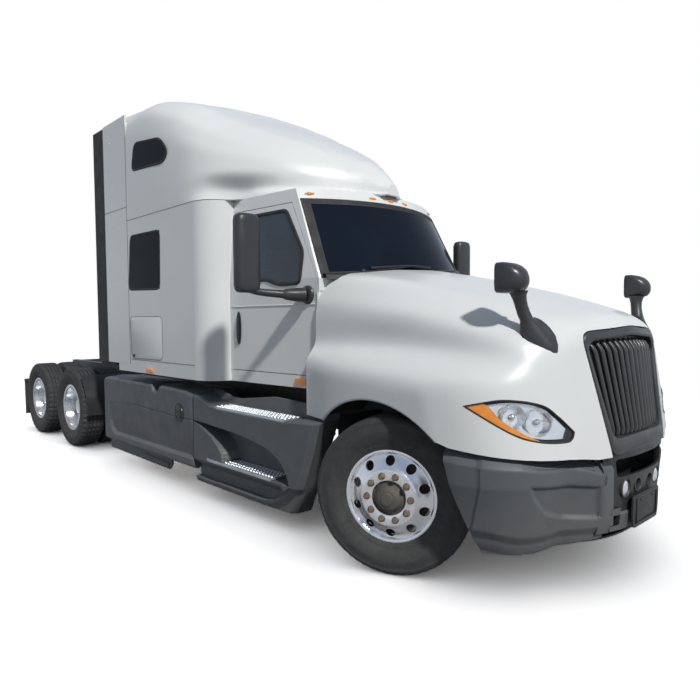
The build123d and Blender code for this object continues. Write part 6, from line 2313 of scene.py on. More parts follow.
# ---------------------------------------------------------------- bumper
@dataclass
class BumperForm:
    """Outer surface of the bumper: a bowed plan that spreads from its foot to its shoulder."""

    low_z: float = 0.290
    high_z: float = 0.700
    centres: Point = (1.172, 1.212)
    corners: Point = (1.010, 1.090)
    halves: Point = (1.130, 1.200)
    setbacks: Point = (0.205, 0.185)
    bow_half: float = 0.64
    bow_power: float = 2.6
    corner_length: float = 0.48
    back_x: float = 0.3
    plan_softness: float = 6.0
    rim_z: float = 0.75
    run_range: Point = (0.9, 1.8)
    top: tuple[Point, ...] = (
        (0.30, 0.893), (0.527, 0.890), (0.936, 0.865), (1.08, 0.815), (1.15, 0.778), (1.30, 0.770),
    )
    rear: tuple[Point, ...] = ((0.290, 0.720), (0.890, 0.527))
    bottom: tuple[Point, ...] = ((0.0, 0.335), (0.42, 0.335), (0.60, 0.300), (0.85, 0.286), (1.60, 0.286))
    ledge: float = 0.062
    _plans: list[np.ndarray] = field(init=False, repr=False)

    def __post_init__(self) -> None:
        """Work out the plan at the foot and at the shoulder."""
        self._plans = [self._plan(number) for number in (0, 1)]

    def _plan(self, number: int) -> np.ndarray:
        """Plan of one level as even points (across, ahead) from the centre to the rear.

        Args:
            number: which of the levels.

        Returns:
            The points.
        """
        centre, corner, half = self.centres[number], self.corners[number], self.halves[number]
        setback = self.setbacks[number]
        bow_end = np.array([self.bow_half, centre - setback])
        side_end = np.array([half, corner - self.corner_length])
        curve = corner_curve(bow_end, side_end, (half, corner))
        flat = np.linspace(0.0, self.bow_half, 30, endpoint=False)
        bow = np.stack([flat, centre - setback * (flat / self.bow_half) ** self.bow_power], axis=1)
        back = np.stack([np.full(20, half), np.linspace(side_end[1], self.back_x, 21)[1:]], axis=1)
        return blur(self._even(np.vstack([bow, curve, back]), 400), 0, self.plan_softness)

    @staticmethod
    def _even(path: np.ndarray, count: int) -> np.ndarray:
        """Even points along a path.

        Args:
            path: the points to follow.
            count: how many points.

        Returns:
            The points.
        """
        length = np.concatenate([[0.0], np.cumsum(np.linalg.norm(np.diff(path, axis=0), axis=1))])
        wanted = np.linspace(0.0, length[-1], count)
        return np.stack([np.interp(wanted, length, path[:, axis]) for axis in range(2)], axis=1)

    def at(self, run: np.ndarray, z: np.ndarray, out: np.ndarray) -> np.ndarray:
        """Points on the left half, from distances round the bumper from its centre.

        Args:
            run: distances round.
            z: heights.
            out: distances outward of the surface.

        Returns:
            Points measured from the front axle.
        """
        run, z, out = np.broadcast_arrays(np.asarray(run, float), np.asarray(z, float), np.asarray(out, float))
        part = np.clip((z - self.low_z) / (self.high_z - self.low_z), 0.0, 1.0)
        lengths = [np.linalg.norm(np.diff(plan, axis=0), axis=1).sum() for plan in self._plans]
        places, normals = [], []
        for plan, length in zip(self._plans, lengths):
            at = np.linspace(0.0, length, len(plan))
            slope = np.gradient(plan, at, axis=0)
            places.append([np.interp(run, at, plan[:, axis]) for axis in range(2)])
            normals.append([np.interp(run, at, slope[:, axis]) for axis in range(2)])
        low, high = np.array(places[0]), np.array(places[1])
        spot = low * (1 - part) + high * part
        slope = np.array(normals[0]) * (1 - part) + np.array(normals[1]) * part
        slope /= np.linalg.norm(slope, axis=0)
        return np.stack([spot[1] + slope[0] * out, spot[0] - slope[1] * out, z], axis=-1)

    def end(self, z: float) -> float:
        """Distance round at which the bumper stops behind, at a height.

        Args:
            z: height.

        Returns:
            The distance.
        """
        stop = np.interp(z, [row[0] for row in self.rear], [row[1] for row in self.rear])
        run = np.linspace(*self.run_range, 500)
        x = self.at(run, np.full(len(run), z), np.zeros(len(run)))[:, 0]
        return float(run[np.argmax(x < stop)]) if (x < stop).any() else self.run_range[1]

    def rim(self, run: float) -> Point:
        """Bottom and top heights at a distance round.

        Args:
            run: distance round from the centre.

        Returns:
            The two heights.
        """
        x = float(self.at(np.array([run]), np.array([self.rim_z]), np.array([0.0]))[0, 0])
        low = float(np.interp(run, [row[0] for row in self.bottom], [row[1] for row in self.bottom]))
        return low, float(np.interp(x, [row[0] for row in self.top], [row[1] for row in self.top]))


FACE = BumperForm()


@dataclass
class Bumper:
    """Grey moulded bumper ends with their pocket, and the dark insert between them."""

    seam: float = 0.452
    seam_z: float = 0.730
    seam_lean: float = 0.174
    skin: float = 0.020
    ledge_depth: float = 0.052
    crease_low_z: float = 0.405
    crease_rise: float = 0.04
    tuck_depth: float = 0.024
    edge_depth: float = 0.012
    pocket_depth: float = 0.020
    cut_x: float = 0.9
    cut_depth: float = 0.6
    lamp_z: float = 0.612
    lamps: tuple[Point, ...] = ((0.235, 0.054), (0.090, 0.042))
    lamp_openings: tuple[Point, ...] = ((0.235, 0.056), (0.090, 0.044))
    tow_opening: Point = (0.275, 0.355)
    band_half: float = 0.449
    band: Point = (0.345, 0.470)
    pocket: tuple[Point, ...] = (
        (0.475, 0.655), (1.00, 0.712), (0.955, 0.630), (0.86, 0.535), (0.70, 0.480), (0.475, 0.455),
    )

    def build(self) -> None:
        """Make both ends, the insert and its fittings."""
        SHOP.piece(
            "bumper_ends", self._end().both_sides(), GREY_PLASTIC, "chassis", replaces=("bumper",), sharp=34.0,
        )
        SHOP.piece(
            "bumper_insert_panel", self._insert(), BLACK_PLASTIC, "chassis", replaces=("bumper_insert",), sharp=40.0,
            solid=0.018, inward=(ahead(0.8), 0.0, 0.6), cutters=self._insert_cuts(),
        )
        SHOP.piece("bumper_valance", self._valance(), GREY_PLASTIC, "chassis", sharp=34.0)
        SHOP.piece("plate_bracket", self._plate(), BLACK_PLASTIC, "chassis", sharp=40.0, bevel=0.003)
        SHOP.piece("fog_lamps", self._fog_lenses(), CLEAR_LENS, "chassis", sharp=50.0)
        SHOP.piece("fog_lamp_bezels", self._fog_bezels(), BLACK_PLASTIC_SATIN, "chassis", sharp=50.0)
        SHOP.piece("bumper_step_pads", self._pads(), BLACK_RUBBER, "chassis", sharp=40.0)

    def _relief(self, run: float, z: np.ndarray, high: float) -> np.ndarray:
        """How far the surface stands out or in: ledge at the top, crease low down, pocket.

        Args:
            run: distance round from the centre.
            z: height.
            high: height of the upper edge there.

        Returns:
            Distances outward, negative inward.
        """
        ledge = -self.ledge_depth * np.clip((z - (high - FACE.ledge)) / FACE.ledge, 0.0, 1.0) ** 1.15
        crease_z = self.crease_low_z + self.crease_rise * smooth_step(np.array(run), 0.95, 1.25)
        tuck = -self.tuck_depth * np.clip((crease_z - z) / 0.05, 0.0, 1.0)
        tuck = tuck - 0.020 * np.clip((crease_z - 0.05 - z) / 0.08, 0.0, 1.0) ** 2
        end = FACE.end(0.5)
        edge = -self.edge_depth * smooth_step(np.array(run), end - 0.060, end - 0.045)
        return ledge + tuck + edge + self._pocket(run, z)

    def _pocket(self, run: float, z: np.ndarray) -> np.ndarray:
        """Depth of the pocket, with rounded walls.

        Args:
            run: distance round from the centre.
            z: height.

        Returns:
            Distances outward, negative inward.
        """
        ring = np.array(self.pocket)
        centre = ring.mean(axis=0)
        depth = np.full(len(z), np.inf)
        for a, b in zip(ring, np.roll(ring, -1, axis=0)):
            side = b - a
            normal = np.array([side[1], -side[0]]) / np.linalg.norm(side)
            if normal @ (centre - a) < 0:
                normal = -normal
            depth = np.minimum(depth, (np.full(len(z), run) - a[0]) * normal[0] + (z - a[1]) * normal[1])
        near_seam = smooth_step(np.array(run), self.seam + 0.004, self.seam + 0.02)
        return -self.pocket_depth * smooth_step(depth, -0.006, 0.022) * near_seam

    def _end(self) -> Shape:
        """Left end: an outer sheet with rolled edges, closed behind.

        Returns:
            The shape.
        """
        runs = np.concatenate([
            [self.seam, self.seam + 0.003], np.linspace(self.seam + 0.008, 1.04, 70), np.linspace(1.05, 1.8, 46),
        ])
        columns = []
        for run in runs:
            low, high = FACE.rim(run)
            heights = np.concatenate([
                [low], np.linspace(low + 0.004, high - FACE.ledge - 0.004, 58),
                np.linspace(high - FACE.ledge + 0.002, high - 0.003, 7), [high],
            ])
            stop = np.array([FACE.end(z) for z in heights]) if run > 1.1 else np.full(len(heights), 9.0)
            slant = (heights - self.seam_z) * self.seam_lean
            slant = slant * (1 - smooth_step(np.full(len(heights), run), self.seam, 0.62))
            here = np.minimum(run + slant, stop)
            columns.append(FACE.at(here, heights, self._relief(run, heights, high)))
        outer = np.array(columns)
        inner = outer.copy()
        inner[:, :, 0] -= self.skin
        inner[:, :, 1] -= self.skin * np.linspace(0.3, 1.4, len(runs))[:, None]
        ring = np.concatenate([outer, inner[:, ::-1]], axis=1)
        return Shape.loft([placed(row) for row in ring])

    def _insert(self) -> Shape:
        """Sheet between the ends, set back a little and turned back at its top.

        Returns:
            The shape.
        """
        y_runs = np.linspace(-self.seam + 0.002, self.seam - 0.002, 61)
        rows = []
        for z in np.linspace(0.455, 0.865, 40):
            points = FACE.at(np.abs(y_runs), np.full(61, min(z, 0.80)), np.full(61, -0.012))
            points[:, 1] *= np.sign(y_runs)
            points[:, 2] = z
            points[:, 0] -= 0.03 * max(0.0, z - 0.84) / 0.025
            rows.append(placed(points))
        return Shape.grid(np.array(rows))

    def _insert_cuts(self) -> list[Shape]:
        """Air slot and lamp openings through the insert.

        Returns:
            The closed shapes.
        """
        slot = round_corners([(-0.33, 0.690), (0.33, 0.690), (0.35, 0.800), (-0.35, 0.800)], 0.03)
        start = (ahead(self.cut_x), 0.0, 0.0)
        cuts = [Shape.prism(slot, start, (0, 1, 0), (0, 0, 1), self.cut_depth)]
        for y, radius in self.lamp_openings:
            for side in (-1, 1):
                disc = np.array([
                    (side * y + radius * math.cos(a), self.lamp_z + radius * math.sin(a))
                    for a in np.linspace(0, 2 * math.pi, 32, endpoint=False)
                ])
                cuts.append(Shape.prism(disc, start, (0, 1, 0), (0, 0, 1), self.cut_depth))
        return cuts

    def _valance(self) -> Shape:
        """Grey lower band and uprights that frame the insert, with tow openings.

        Returns:
            The shape.
        """
        made = Shape()
        for side in (-1, 1):
            made.join(self._strip(side))
        near, far = self.tow_opening
        bottom, top = self.band
        for low, high in ((-self.band_half, -far), (-near, near), (far, self.band_half)):
            made.join(self._band(low, high, bottom, top))
        for side in (-1, 1):
            low, high = sorted((side * near, side * far))
            made.join(self._band(low, high, bottom, 0.375)).join(self._band(low, high, 0.452, top))
        return made

    @staticmethod
    def _slab(runs: np.ndarray, rows: Sequence[Point]) -> Shape:
        """Closed band round the front: rows are (height, outward) in order round its section.

        Args:
            runs: distances round from the centre.
            rows: heights and distances outward, in order round the section.

        Returns:
            The shape.
        """
        rings = []
        for run in runs:
            points = FACE.at(abs(run), np.array([row[0] for row in rows]), np.array([row[1] for row in rows]))
            points[:, 1] *= 1.0 if run >= 0 else -1.0
            rings.append(placed(points))
        return Shape.loft(rings)

    def _band(self, low: float, high: float, bottom: float, top: float) -> Shape:
        """Part of the lower band between two places across.

        Args:
            low: its right end.
            high: its left end.
            bottom: its lower height.
            top: its upper height.

        Returns:
            The shape.
        """
        rows = [(bottom, -0.030), (bottom + 0.010, -0.008), (bottom + 0.05, 0.0), (top - 0.012, 0.0), (top, -0.010),
                (top, -0.030)]
        return self._slab(np.linspace(low, high, 14), rows)

    def _strip(self, side: int) -> Shape:
        """Upright that frames the insert at one side, wider at its foot.

        Args:
            side: 1 for left, -1 for right.

        Returns:
            The shape.
        """
        rings = []
        for part in np.linspace(0.0, 1.0, 6):
            points = []
            for z, out in ((0.400, -0.030), (0.400, 0.0), (0.745, 0.0), (0.790, -0.020), (0.790, -0.040)):
                low, high = 0.337 + (z - 0.47) * 0.14, 0.450 + (z - self.seam_z) * self.seam_lean
                points.append(FACE.at(np.array([low + (high - low) * part]), np.array([z]), np.array([out]))[0])
            ring = np.array(points)
            ring[:, 1] *= side
            rings.append(placed(ring))
        return Shape.loft(rings)

    @staticmethod
    def _plate() -> Shape:
        """Bare bracket for a number plate, below the lamps.

        Returns:
            The shape.
        """
        made = Shape()
        ring = round_corners([(-0.185, 0.360), (0.185, 0.360), (0.200, 0.430), (0.200, 0.560), (-0.200, 0.560),
                              (-0.200, 0.430)], 0.025)
        made.join(Shape.prism(ring, (ahead(1.187), 0.0, 0.0), (0, 1, 0), (0.02, 0, 1), 0.014))
        frame_ring = round_corners([(-0.155, 0.385), (0.155, 0.385), (0.155, 0.545), (-0.155, 0.545)], 0.012)
        path = np.stack([np.full(len(frame_ring), ahead(1.2135)), frame_ring[:, 0], frame_ring[:, 1]], axis=1)
        made.join(Shape.tube(path, 0.006, sides=8, closed=True))
        for y in (-0.09, 0.09):
            made.join(Shape.lathe([(0.0, 0.010), (0.006, 0.010), (0.008, 0.006), (0.008, 0.001)],
                                  (ahead(1.2105), y, 0.525), (1, 0, 0), 12, closed=False))
        return made

    def _lamp_places(self) -> list[tuple[float, float, float]]:
        """Across place, ahead place and radius of each lamp opening.

        Returns:
            One row for each opening.
        """
        out = []
        for y, radius in self.lamps:
            x = float(FACE.at(np.array([y]), np.array([self.lamp_z]), np.array([-0.016]))[0, 0])
            out.extend([(y, x, radius), (-y, x, radius)])
        return out

    def _fog_lenses(self) -> Shape:
        """Domed clear lenses of the outer lamps.

        Returns:
            The shape.
        """
        made = Shape()
        for y, x, radius in self._lamp_places()[:2]:
            profile = [(-0.030, 0.004), (-0.030, radius * 0.5), (-0.016, radius * 0.86), (0.0, radius * 0.90),
                       (0.008, radius * 0.6), (0.011, radius * 0.3), (0.012, 0.002)]
            made.join(Shape.lathe(profile, (ahead(x), y, self.lamp_z), (1, 0, 0), 36, closed=False))
        return made

    def _fog_bezels(self) -> Shape:
        """Stepped rings round all four openings, the inner two blanked.

        Returns:
            The shape.
        """
        made = Shape()
        for number, (y, x, radius) in enumerate(self._lamp_places()):
            profile = [(-0.036, radius * 0.92), (0.006, radius * 0.93), (0.009, radius * 0.98), (0.006, radius * 1.10),
                       (-0.010, radius * 1.12)]
            made.join(Shape.lathe(profile, (ahead(x), y, self.lamp_z), (1, 0, 0), 36, closed=False))
            if number > 1:
                blank = [(-0.034, 0.002), (-0.032, radius * 0.4), (-0.026, radius * 0.7), (-0.036, radius * 0.93)]
                made.join(Shape.lathe(blank, (ahead(x), y, self.lamp_z), (1, 0, 0), 36, closed=False))
        return made

    @staticmethod
    def _pads() -> Shape:
        """Ribbed strip that lies on the ledge of each end.

        Returns:
            The shape.
        """
        made = Shape()
        for offset in (-0.016, 0.0, 0.016):
            runs = np.linspace(0.50, 0.95, 40)
            rims = np.array([FACE.rim(run)[1] for run in runs])
            points = FACE.at(runs, rims - 0.030 + offset, -0.026 + offset * -0.8)
            made.join(Shape.tube(placed(points), 0.0028, sides=6))
        return made.both_sides()


# ---------------------------------------------------------------- hood mirrors
@dataclass
class HoodMirrors:
    """Convex mirrors on smooth posts that grow out of the fenders."""

    head: Point = (0.805, 0.890, 1.870)

    def build(self) -> None:
        """Make both mirrors and their glass."""
        SHOP.piece(
            "hood_mirror_housings", self._housing().both_sides(), BLACK_PLASTIC_SATIN, "hood",
            replaces=("hood_mirrors",), sharp=55.0,
        )
        SHOP.piece("hood_mirror_panes", self._pane().both_sides(), MIRROR_GLASS, "hood", sharp=50.0)

    def _housing(self) -> Shape:
        """Head with a flat rear and a domed front, and the post that spreads into its foot.

        Returns:
            The shape.
        """
        rings = []
        for part, half, top, bottom, square in (
            (0.0, 0.080, 0.078, -0.082, 0.34), (0.03, 0.088, 0.086, -0.088, 0.36), (0.20, 0.0915, 0.087, -0.089, 0.42),
            (0.42, 0.090, 0.080, -0.088, 0.50), (0.64, 0.082, 0.066, -0.084, 0.62), (0.82, 0.066, 0.046, -0.076, 0.75),
            (0.94, 0.042, 0.022, -0.058, 0.90), (1.0, 0.012, -0.008, -0.030, 1.0),
        ):
            turns = np.linspace(0, 2 * math.pi, 44, endpoint=False)
            c, s = np.cos(turns), np.sin(turns)
            y = self.head[1] + half * np.sign(c) * np.abs(c) ** square
            z = self.head[2] + (top + bottom) / 2 + (top - bottom) / 2 * np.sign(s) * np.abs(s) ** square
            rings.append(placed(np.stack([np.full(44, self.head[0] - 0.0725 + 0.158 * part), y, z], axis=1)))
        return Shape.loft(rings).join(self._post())

    def _post(self) -> Shape:
        """Post: a round neck under the head that widens into a long foot on the hood.

        Returns:
            The shape.
        """
        foot = np.array([
            (0.835, 0.840), (0.876, 0.829), (0.920, 0.800), (0.958, 0.764), (0.982, 0.727), (0.980, 0.704),
            (0.955, 0.695), (0.905, 0.706), (0.852, 0.742), (0.818, 0.785), (0.813, 0.822),
        ])
        foot = spline([*foot, foot[0]], 41)[:-1]
        origins = np.stack([foot[:, 0], foot[:, 1], np.full(40, 2.3)], axis=-1)
        ground = FORM.hit(origins, np.broadcast_to([0.0, 0.0, -1.0], origins.shape), 0.0, 1.2)[:, 2]
        away = foot - np.array([0.842, 0.802])
        turns = np.arctan2(away[:, 1], away[:, 0])
        neck = np.array([0.836, 0.806]) + 0.040 * np.stack([np.cos(turns), np.sin(turns)], axis=1)
        rings = []
        for part, lift, merge in (
            (0.0, -0.004, 0.0), (0.0, 0.012, 0.0), (0.05, 0.034, 0.02), (0.20, 0.052, 0.12), (0.42, 0.066, 0.34),
            (0.66, 0.078, 0.62), (0.86, 0.088, 0.85), (1.0, 0.10, 1.0),
        ):
            flat = foot * (1 - part) + neck * part
            z = (ground + lift) * (1 - merge) + 1.640 * merge
            rings.append(placed(np.column_stack([flat, z])))
        for x, y, z, radius in (
            (0.826, 0.816, 1.675, 0.0375), (0.819, 0.826, 1.710, 0.0365), (0.814, 0.836, 1.745, 0.0385),
            (0.811, 0.844, 1.772, 0.045), (0.810, 0.848, 1.795, 0.056),
        ):
            circle = np.stack([x + radius * np.cos(turns), y + radius * np.sin(turns), np.full(40, z)], axis=1)
            rings.append(placed(circle))
        return Shape.loft(rings)

    def _pane(self) -> Shape:
        """Convex glass in the head's rear.

        Returns:
            The shape.
        """
        rows = []
        for spread in np.linspace(1.0, 0.05, 8):
            turns = np.linspace(0, 2 * math.pi, 36, endpoint=False)
            y = self.head[1] + 0.078 * spread * np.sign(np.sin(turns)) * np.abs(np.sin(turns)) ** 0.7
            z = self.head[2] - 0.002 + 0.060 * spread * np.sign(np.cos(turns)) * np.abs(np.cos(turns)) ** 0.7
            x = np.full(36, self.head[0] - 0.0735 - 0.003 * (1 - spread**2))
            rows.append(placed(np.stack([x, y, z], axis=1)))
        return Shape.loft(rows, caps=True)


# ---------------------------------------------------------------- wheels
@dataclass
class Hub:
    """Place and direction of a wheel."""

    body: str
    joint: str
    side: int

    def _joint(self) -> dict:
        """The frame's row for the joint that the wheel turns on."""
        return next(row for row in frame["joints"] if row["name"] == self.joint)

    @property
    def centre(self) -> np.ndarray:
        """Middle of the wheel, or of the pair."""
        return np.array(self._joint()["pos_m"], float)

    @property
    def axis(self) -> np.ndarray:
        """Direction outboard."""
        axis = np.array(self._joint()["axis"], float)
        return axis if axis[1] * self.side > 0 else -axis


@dataclass
class Tyre:
    """Tyre with ribs, side wall rings and, on the drive axles, lugs."""

    radius: float = 0.512
    half: float = 0.149
    lugs: int = 0
    steps: int = 180

    def shape(self, centre: np.ndarray, axis: np.ndarray) -> Shape:
        """Tyre about a centre.

        Args:
            centre: middle of the tyre.
            axis: direction of its axle.

        Returns:
            The tyre.
        """
        side = [
            (-0.100, 0.2872), (-0.112, 0.294), (-0.122, 0.312), (-0.126, 0.326), (-0.1275, 0.330), (-0.1275, 0.336),
            (-0.129, 0.340), (-0.140, 0.366), (-0.1465, 0.392), (-0.149, 0.416), (-0.1485, 0.424), (-0.1478, 0.426),
            (-0.1478, 0.440), (-0.1462, 0.444), (-0.1435, 0.458), (-0.1405, 0.470), (-0.1415, 0.474), (-0.1400, 0.482),
            (-0.1340, 0.492), (-0.1275, 0.5005), (-0.1190, 0.5065), (-0.1085, 0.5100),
        ]
        crown = []
        for place in (-0.072, -0.026, 0.026, 0.072):
            crown += [(place - 0.0060, 0.5118), (place - 0.0045, 0.498)]
            crown += [(place + 0.0045, 0.498), (place + 0.0060, 0.5118)]
        profile = np.array(side + crown + [(-a, r) for a, r in side[::-1]])
        run = Vector(axis).normalized()
        across = run.cross(Vector((0, 0, 1))).normalized()
        third = run.cross(across)
        rows = []
        shoulder = smooth_step(np.abs(profile[:, 0]), 0.078, 0.10) * smooth_step(profile[:, 1], 0.470, 0.485)
        middle = (np.abs(profile[:, 0]) < 0.066) * (profile[:, 1] > 0.505)
        for step in range(self.steps):
            cut = 0.0022 if step % 3 == 0 else 0.0
            radii = profile[:, 1] - cut * shoulder
            if self.lugs:
                radii = radii - (0.011 * shoulder + 0.007 * middle) * (step % 4 == 0)
            turn = 2 * math.pi * step / self.steps
            spoke = across * math.cos(turn) + third * math.sin(turn)
            rows.append([Vector(centre) + run * a + spoke * r for a, r in zip(profile[:, 0], radii)])
        rows.append(rows[0])
        return Shape.grid(np.array(rows), wrap=True)


@dataclass
class Wheel:
    """Polished wheel with its nuts and hub.

    The face is a closed profile of (outboard, radius) turned about the axis.
    """

    face: tuple[Point, ...]
    nut_face: float
    hub: tuple[Point, ...]
    hole_low: float
    hole_high: float
    holes: int = 10
    hole_circle: float = 0.232
    hole_radius: float = 0.031
    nut_circle: float = 0.1429

    def _spokes(self, axis: np.ndarray) -> tuple[Vector, Vector, Vector]:
        """Axis and the two directions square to it.

        Args:
            axis: direction outboard along the axle.

        Returns:
            The axis and two directions across it.
        """
        run = Vector(axis).normalized()
        across = Vector((0, 0, 1))
        return run, across, run.cross(across)

    def cutters(self, centre: np.ndarray, axis: np.ndarray) -> list[Shape]:
        """Plugs that cut the hand holes.

        Args:
            centre: the middle.
            axis: direction outboard along the axle.

        Returns:
            The closed shapes.
        """
        run, across, third = self._spokes(axis)
        made = Shape()
        for number in range(self.holes):
            turn = 2 * math.pi * number / self.holes
            place = Vector(centre) + (across * math.cos(turn) + third * math.sin(turn)) * self.hole_circle
            rings = []
            for along in (self.hole_low, self.hole_high):
                middle = place + run * along
                rings.append(np.array([
                    middle + (across * math.cos(a) + third * math.sin(a)) * self.hole_radius
                    for a in np.linspace(0, 2 * math.pi, 24, endpoint=False)
                ]))
            made.join(Shape.loft(rings))
        return [made]

    def nuts(self, centre: np.ndarray, axis: np.ndarray) -> Shape:
        """Ten flanged nuts with their stud ends.

        Args:
            centre: the middle.
            axis: direction outboard along the axle.

        Returns:
            The shape.
        """
        run, across, third = self._spokes(axis)
        made = Shape()
        for number in range(10):
            turn = 2 * math.pi * (number + 0.5) / 10
            spoke = across * math.cos(turn) + third * math.sin(turn)
            place = Vector(centre) + spoke * self.nut_circle + run * self.nut_face
            made.join(Shape.lathe([(-0.002, 0.023), (0.004, 0.023), (0.007, 0.0195)], place, run, 20, closed=False))
            made.join(Shape.lathe([(0.004, 0.0195), (0.026, 0.0190), (0.030, 0.0165), (0.030, 0.010)], place, run, 6,
                                  closed=False))
            made.join(Shape.lathe([(0.024, 0.010), (0.038, 0.0098), (0.040, 0.008), (0.040, 0.0005)], place, run, 14,
                                  closed=False))
        return made


STEER_WHEEL = Wheel(
    face=(
        (0.117, 0.2985), (0.1188, 0.2935), (0.1180, 0.2870), (0.1130, 0.2790), (0.1060, 0.2725), (0.1000, 0.2690),
        (0.1040, 0.2600), (0.1180, 0.2380), (0.1330, 0.2140), (0.1460, 0.1930), (0.1540, 0.1830), (0.1580, 0.1765),
        (0.1590, 0.1720), (0.1590, 0.1130), (0.1570, 0.1105), (0.1380, 0.1100), (0.1380, 0.1150), (0.1450, 0.1700),
        (0.1280, 0.1980), (0.0850, 0.2600), (-0.1080, 0.2660), (-0.1170, 0.2780), (-0.1170, 0.2985), (-0.1080, 0.2985),
        (-0.1040, 0.2862), (0.1040, 0.2862), (0.1080, 0.2985),
    ),
    nut_face=0.159,
    hub=(
        (0.125, 0.1090), (0.140, 0.1085), (0.143, 0.0960), (0.150, 0.0900), (0.176, 0.0800), (0.190, 0.0700),
        (0.197, 0.0560), (0.198, 0.0420), (0.206, 0.0380), (0.208, 0.0250), (0.2085, 0.0010),
    ),
    hole_low=0.06,
    hole_high=0.20,
)
DRIVE_WHEEL = Wheel(
    face=(
        (0.2845, 0.2985), (0.2860, 0.2935), (0.2850, 0.2870), (0.2800, 0.2790), (0.2730, 0.2720), (0.2600, 0.2670),
        (0.0930, 0.2640), (0.0800, 0.2560), (0.0600, 0.2350), (0.0380, 0.2120), (0.0280, 0.2020), (0.0225, 0.1900),
        (0.0220, 0.1120), (0.0100, 0.1120), (0.0050, 0.1950), (0.0450, 0.2560), (0.0510, 0.2680), (0.0510, 0.2985),
        (0.0600, 0.2985), (0.0640, 0.2862), (0.2720, 0.2862), (0.2760, 0.2985),
    ),
    nut_face=0.022,
    hub=(
        (0.0180, 0.1110), (0.0400, 0.1105), (0.0450, 0.1040), (0.1600, 0.0980), (0.1640, 0.1080), (0.1760, 0.1080),
        (0.1790, 0.0900), (0.1930, 0.0840), (0.1990, 0.0700), (0.2000, 0.0010),
    ),
    hole_low=-0.05,
    hole_high=0.16,
)


@dataclass
class Wheels:
    """All the wheels and tyres."""

    spacing: float = 0.335

    def build(self) -> None:
        """Make the steered pair and the four dual pairs."""
        for side, end in ((-1, "right"), (1, "left")):
            hub = Hub(f"front_wheel_{end}", f"front_wheel_{end}_spin", side)
            tyre = Tyre().shape(hub.centre, hub.axis)
            SHOP.piece(f"front_tyre_{end}", tyre, TYRE_RUBBER, hub.body, replaces=(f"tyre_front_{end}",), sharp=30.0)
            self._wheel(f"front_wheel_{end}_rim", STEER_WHEEL, hub, (f"wheel_front_{end}",))
            for axle in ("front_drive", "rear_drive"):
                hub = Hub(f"{axle}_wheels_{end}", f"{axle}_wheels_{end}_spin", side)
                pair = Shape()
                for shift in (-0.5, 0.5):
                    pair.join(Tyre(lugs=1).shape(hub.centre + hub.axis * shift * self.spacing, hub.axis))
                SHOP.piece(
                    f"{axle}_tyres_{end}", pair, TYRE_RUBBER, hub.body, replaces=(f"tyres_{axle}_{end}",), sharp=30.0,
                )
                self._wheel(f"{axle}_outer_rim_{end}", DRIVE_WHEEL, hub, ())

    @staticmethod
    def _wheel(name: str, wheel: Wheel, hub: Hub, replaces: Sequence[str]) -> None:
        """Make one wheel's face, nuts and hub.

        Args:
            name: the start of its pieces' names.
            wheel: the wheel's sizes.
            hub: the hub's sizes.
            replaces: the frame nodes it stands for.
        """
        face = Shape.lathe(wheel.face, hub.centre, hub.axis, 120)
        SHOP.piece(
            name, face, POLISHED_ALUMINIUM, hub.body, replaces=replaces, sharp=40.0,
            cutters=wheel.cutters(hub.centre, hub.axis),
        )
        SHOP.piece(f"{name}_nuts", wheel.nuts(hub.centre, hub.axis), RUSTY_NUT, hub.body, sharp=35.0)
        core = Shape.lathe(wheel.hub, hub.centre, hub.axis, 48, closed=False)
        drum = Shape.lathe(
            [(wheel.hub[0][0] - 0.02, 0.112), (wheel.hole_low - 0.005, 0.150), (wheel.hole_low - 0.02, 0.235),
             (wheel.hole_low - 0.09, 0.238)], hub.centre, hub.axis, 48, closed=False,
        )
        SHOP.piece(f"{name}_hub", core.join(drum), CAST_METAL, hub.body, sharp=35.0)


# ---------------------------------------------------------------- steps and tank fairings
def inside_depth(ring: np.ndarray, x: np.ndarray, z: np.ndarray) -> np.ndarray:
    """How far places lie inside a closed outline; outside counts as less than nothing.

    Args:
        ring: corners of the outline.
        x: first measures of the places.
        z: second measures.

    Returns:
        Distances to the outline, positive within.
    """
    near = np.full(x.shape, np.inf)
    within = np.zeros(x.shape, bool)
    for a, b in zip(ring, np.roll(ring, -1, axis=0)):
        side = b - a
        part = np.clip(((x - a[0]) * side[0] + (z - a[1]) * side[1]) / (side @ side), 0.0, 1.0)
        near = np.minimum(near, np.hypot(x - a[0] - part * side[0], z - a[1] - part * side[1]))
        crosses = (a[1] > z) != (b[1] > z)
        with np.errstate(divide="ignore", invalid="ignore"):
            at = a[0] + (z - a[1]) * side[0] / (side[1] if side[1] else 1e-9)
        within ^= crosses & (x < at)
    return np.where(within, near, -near)


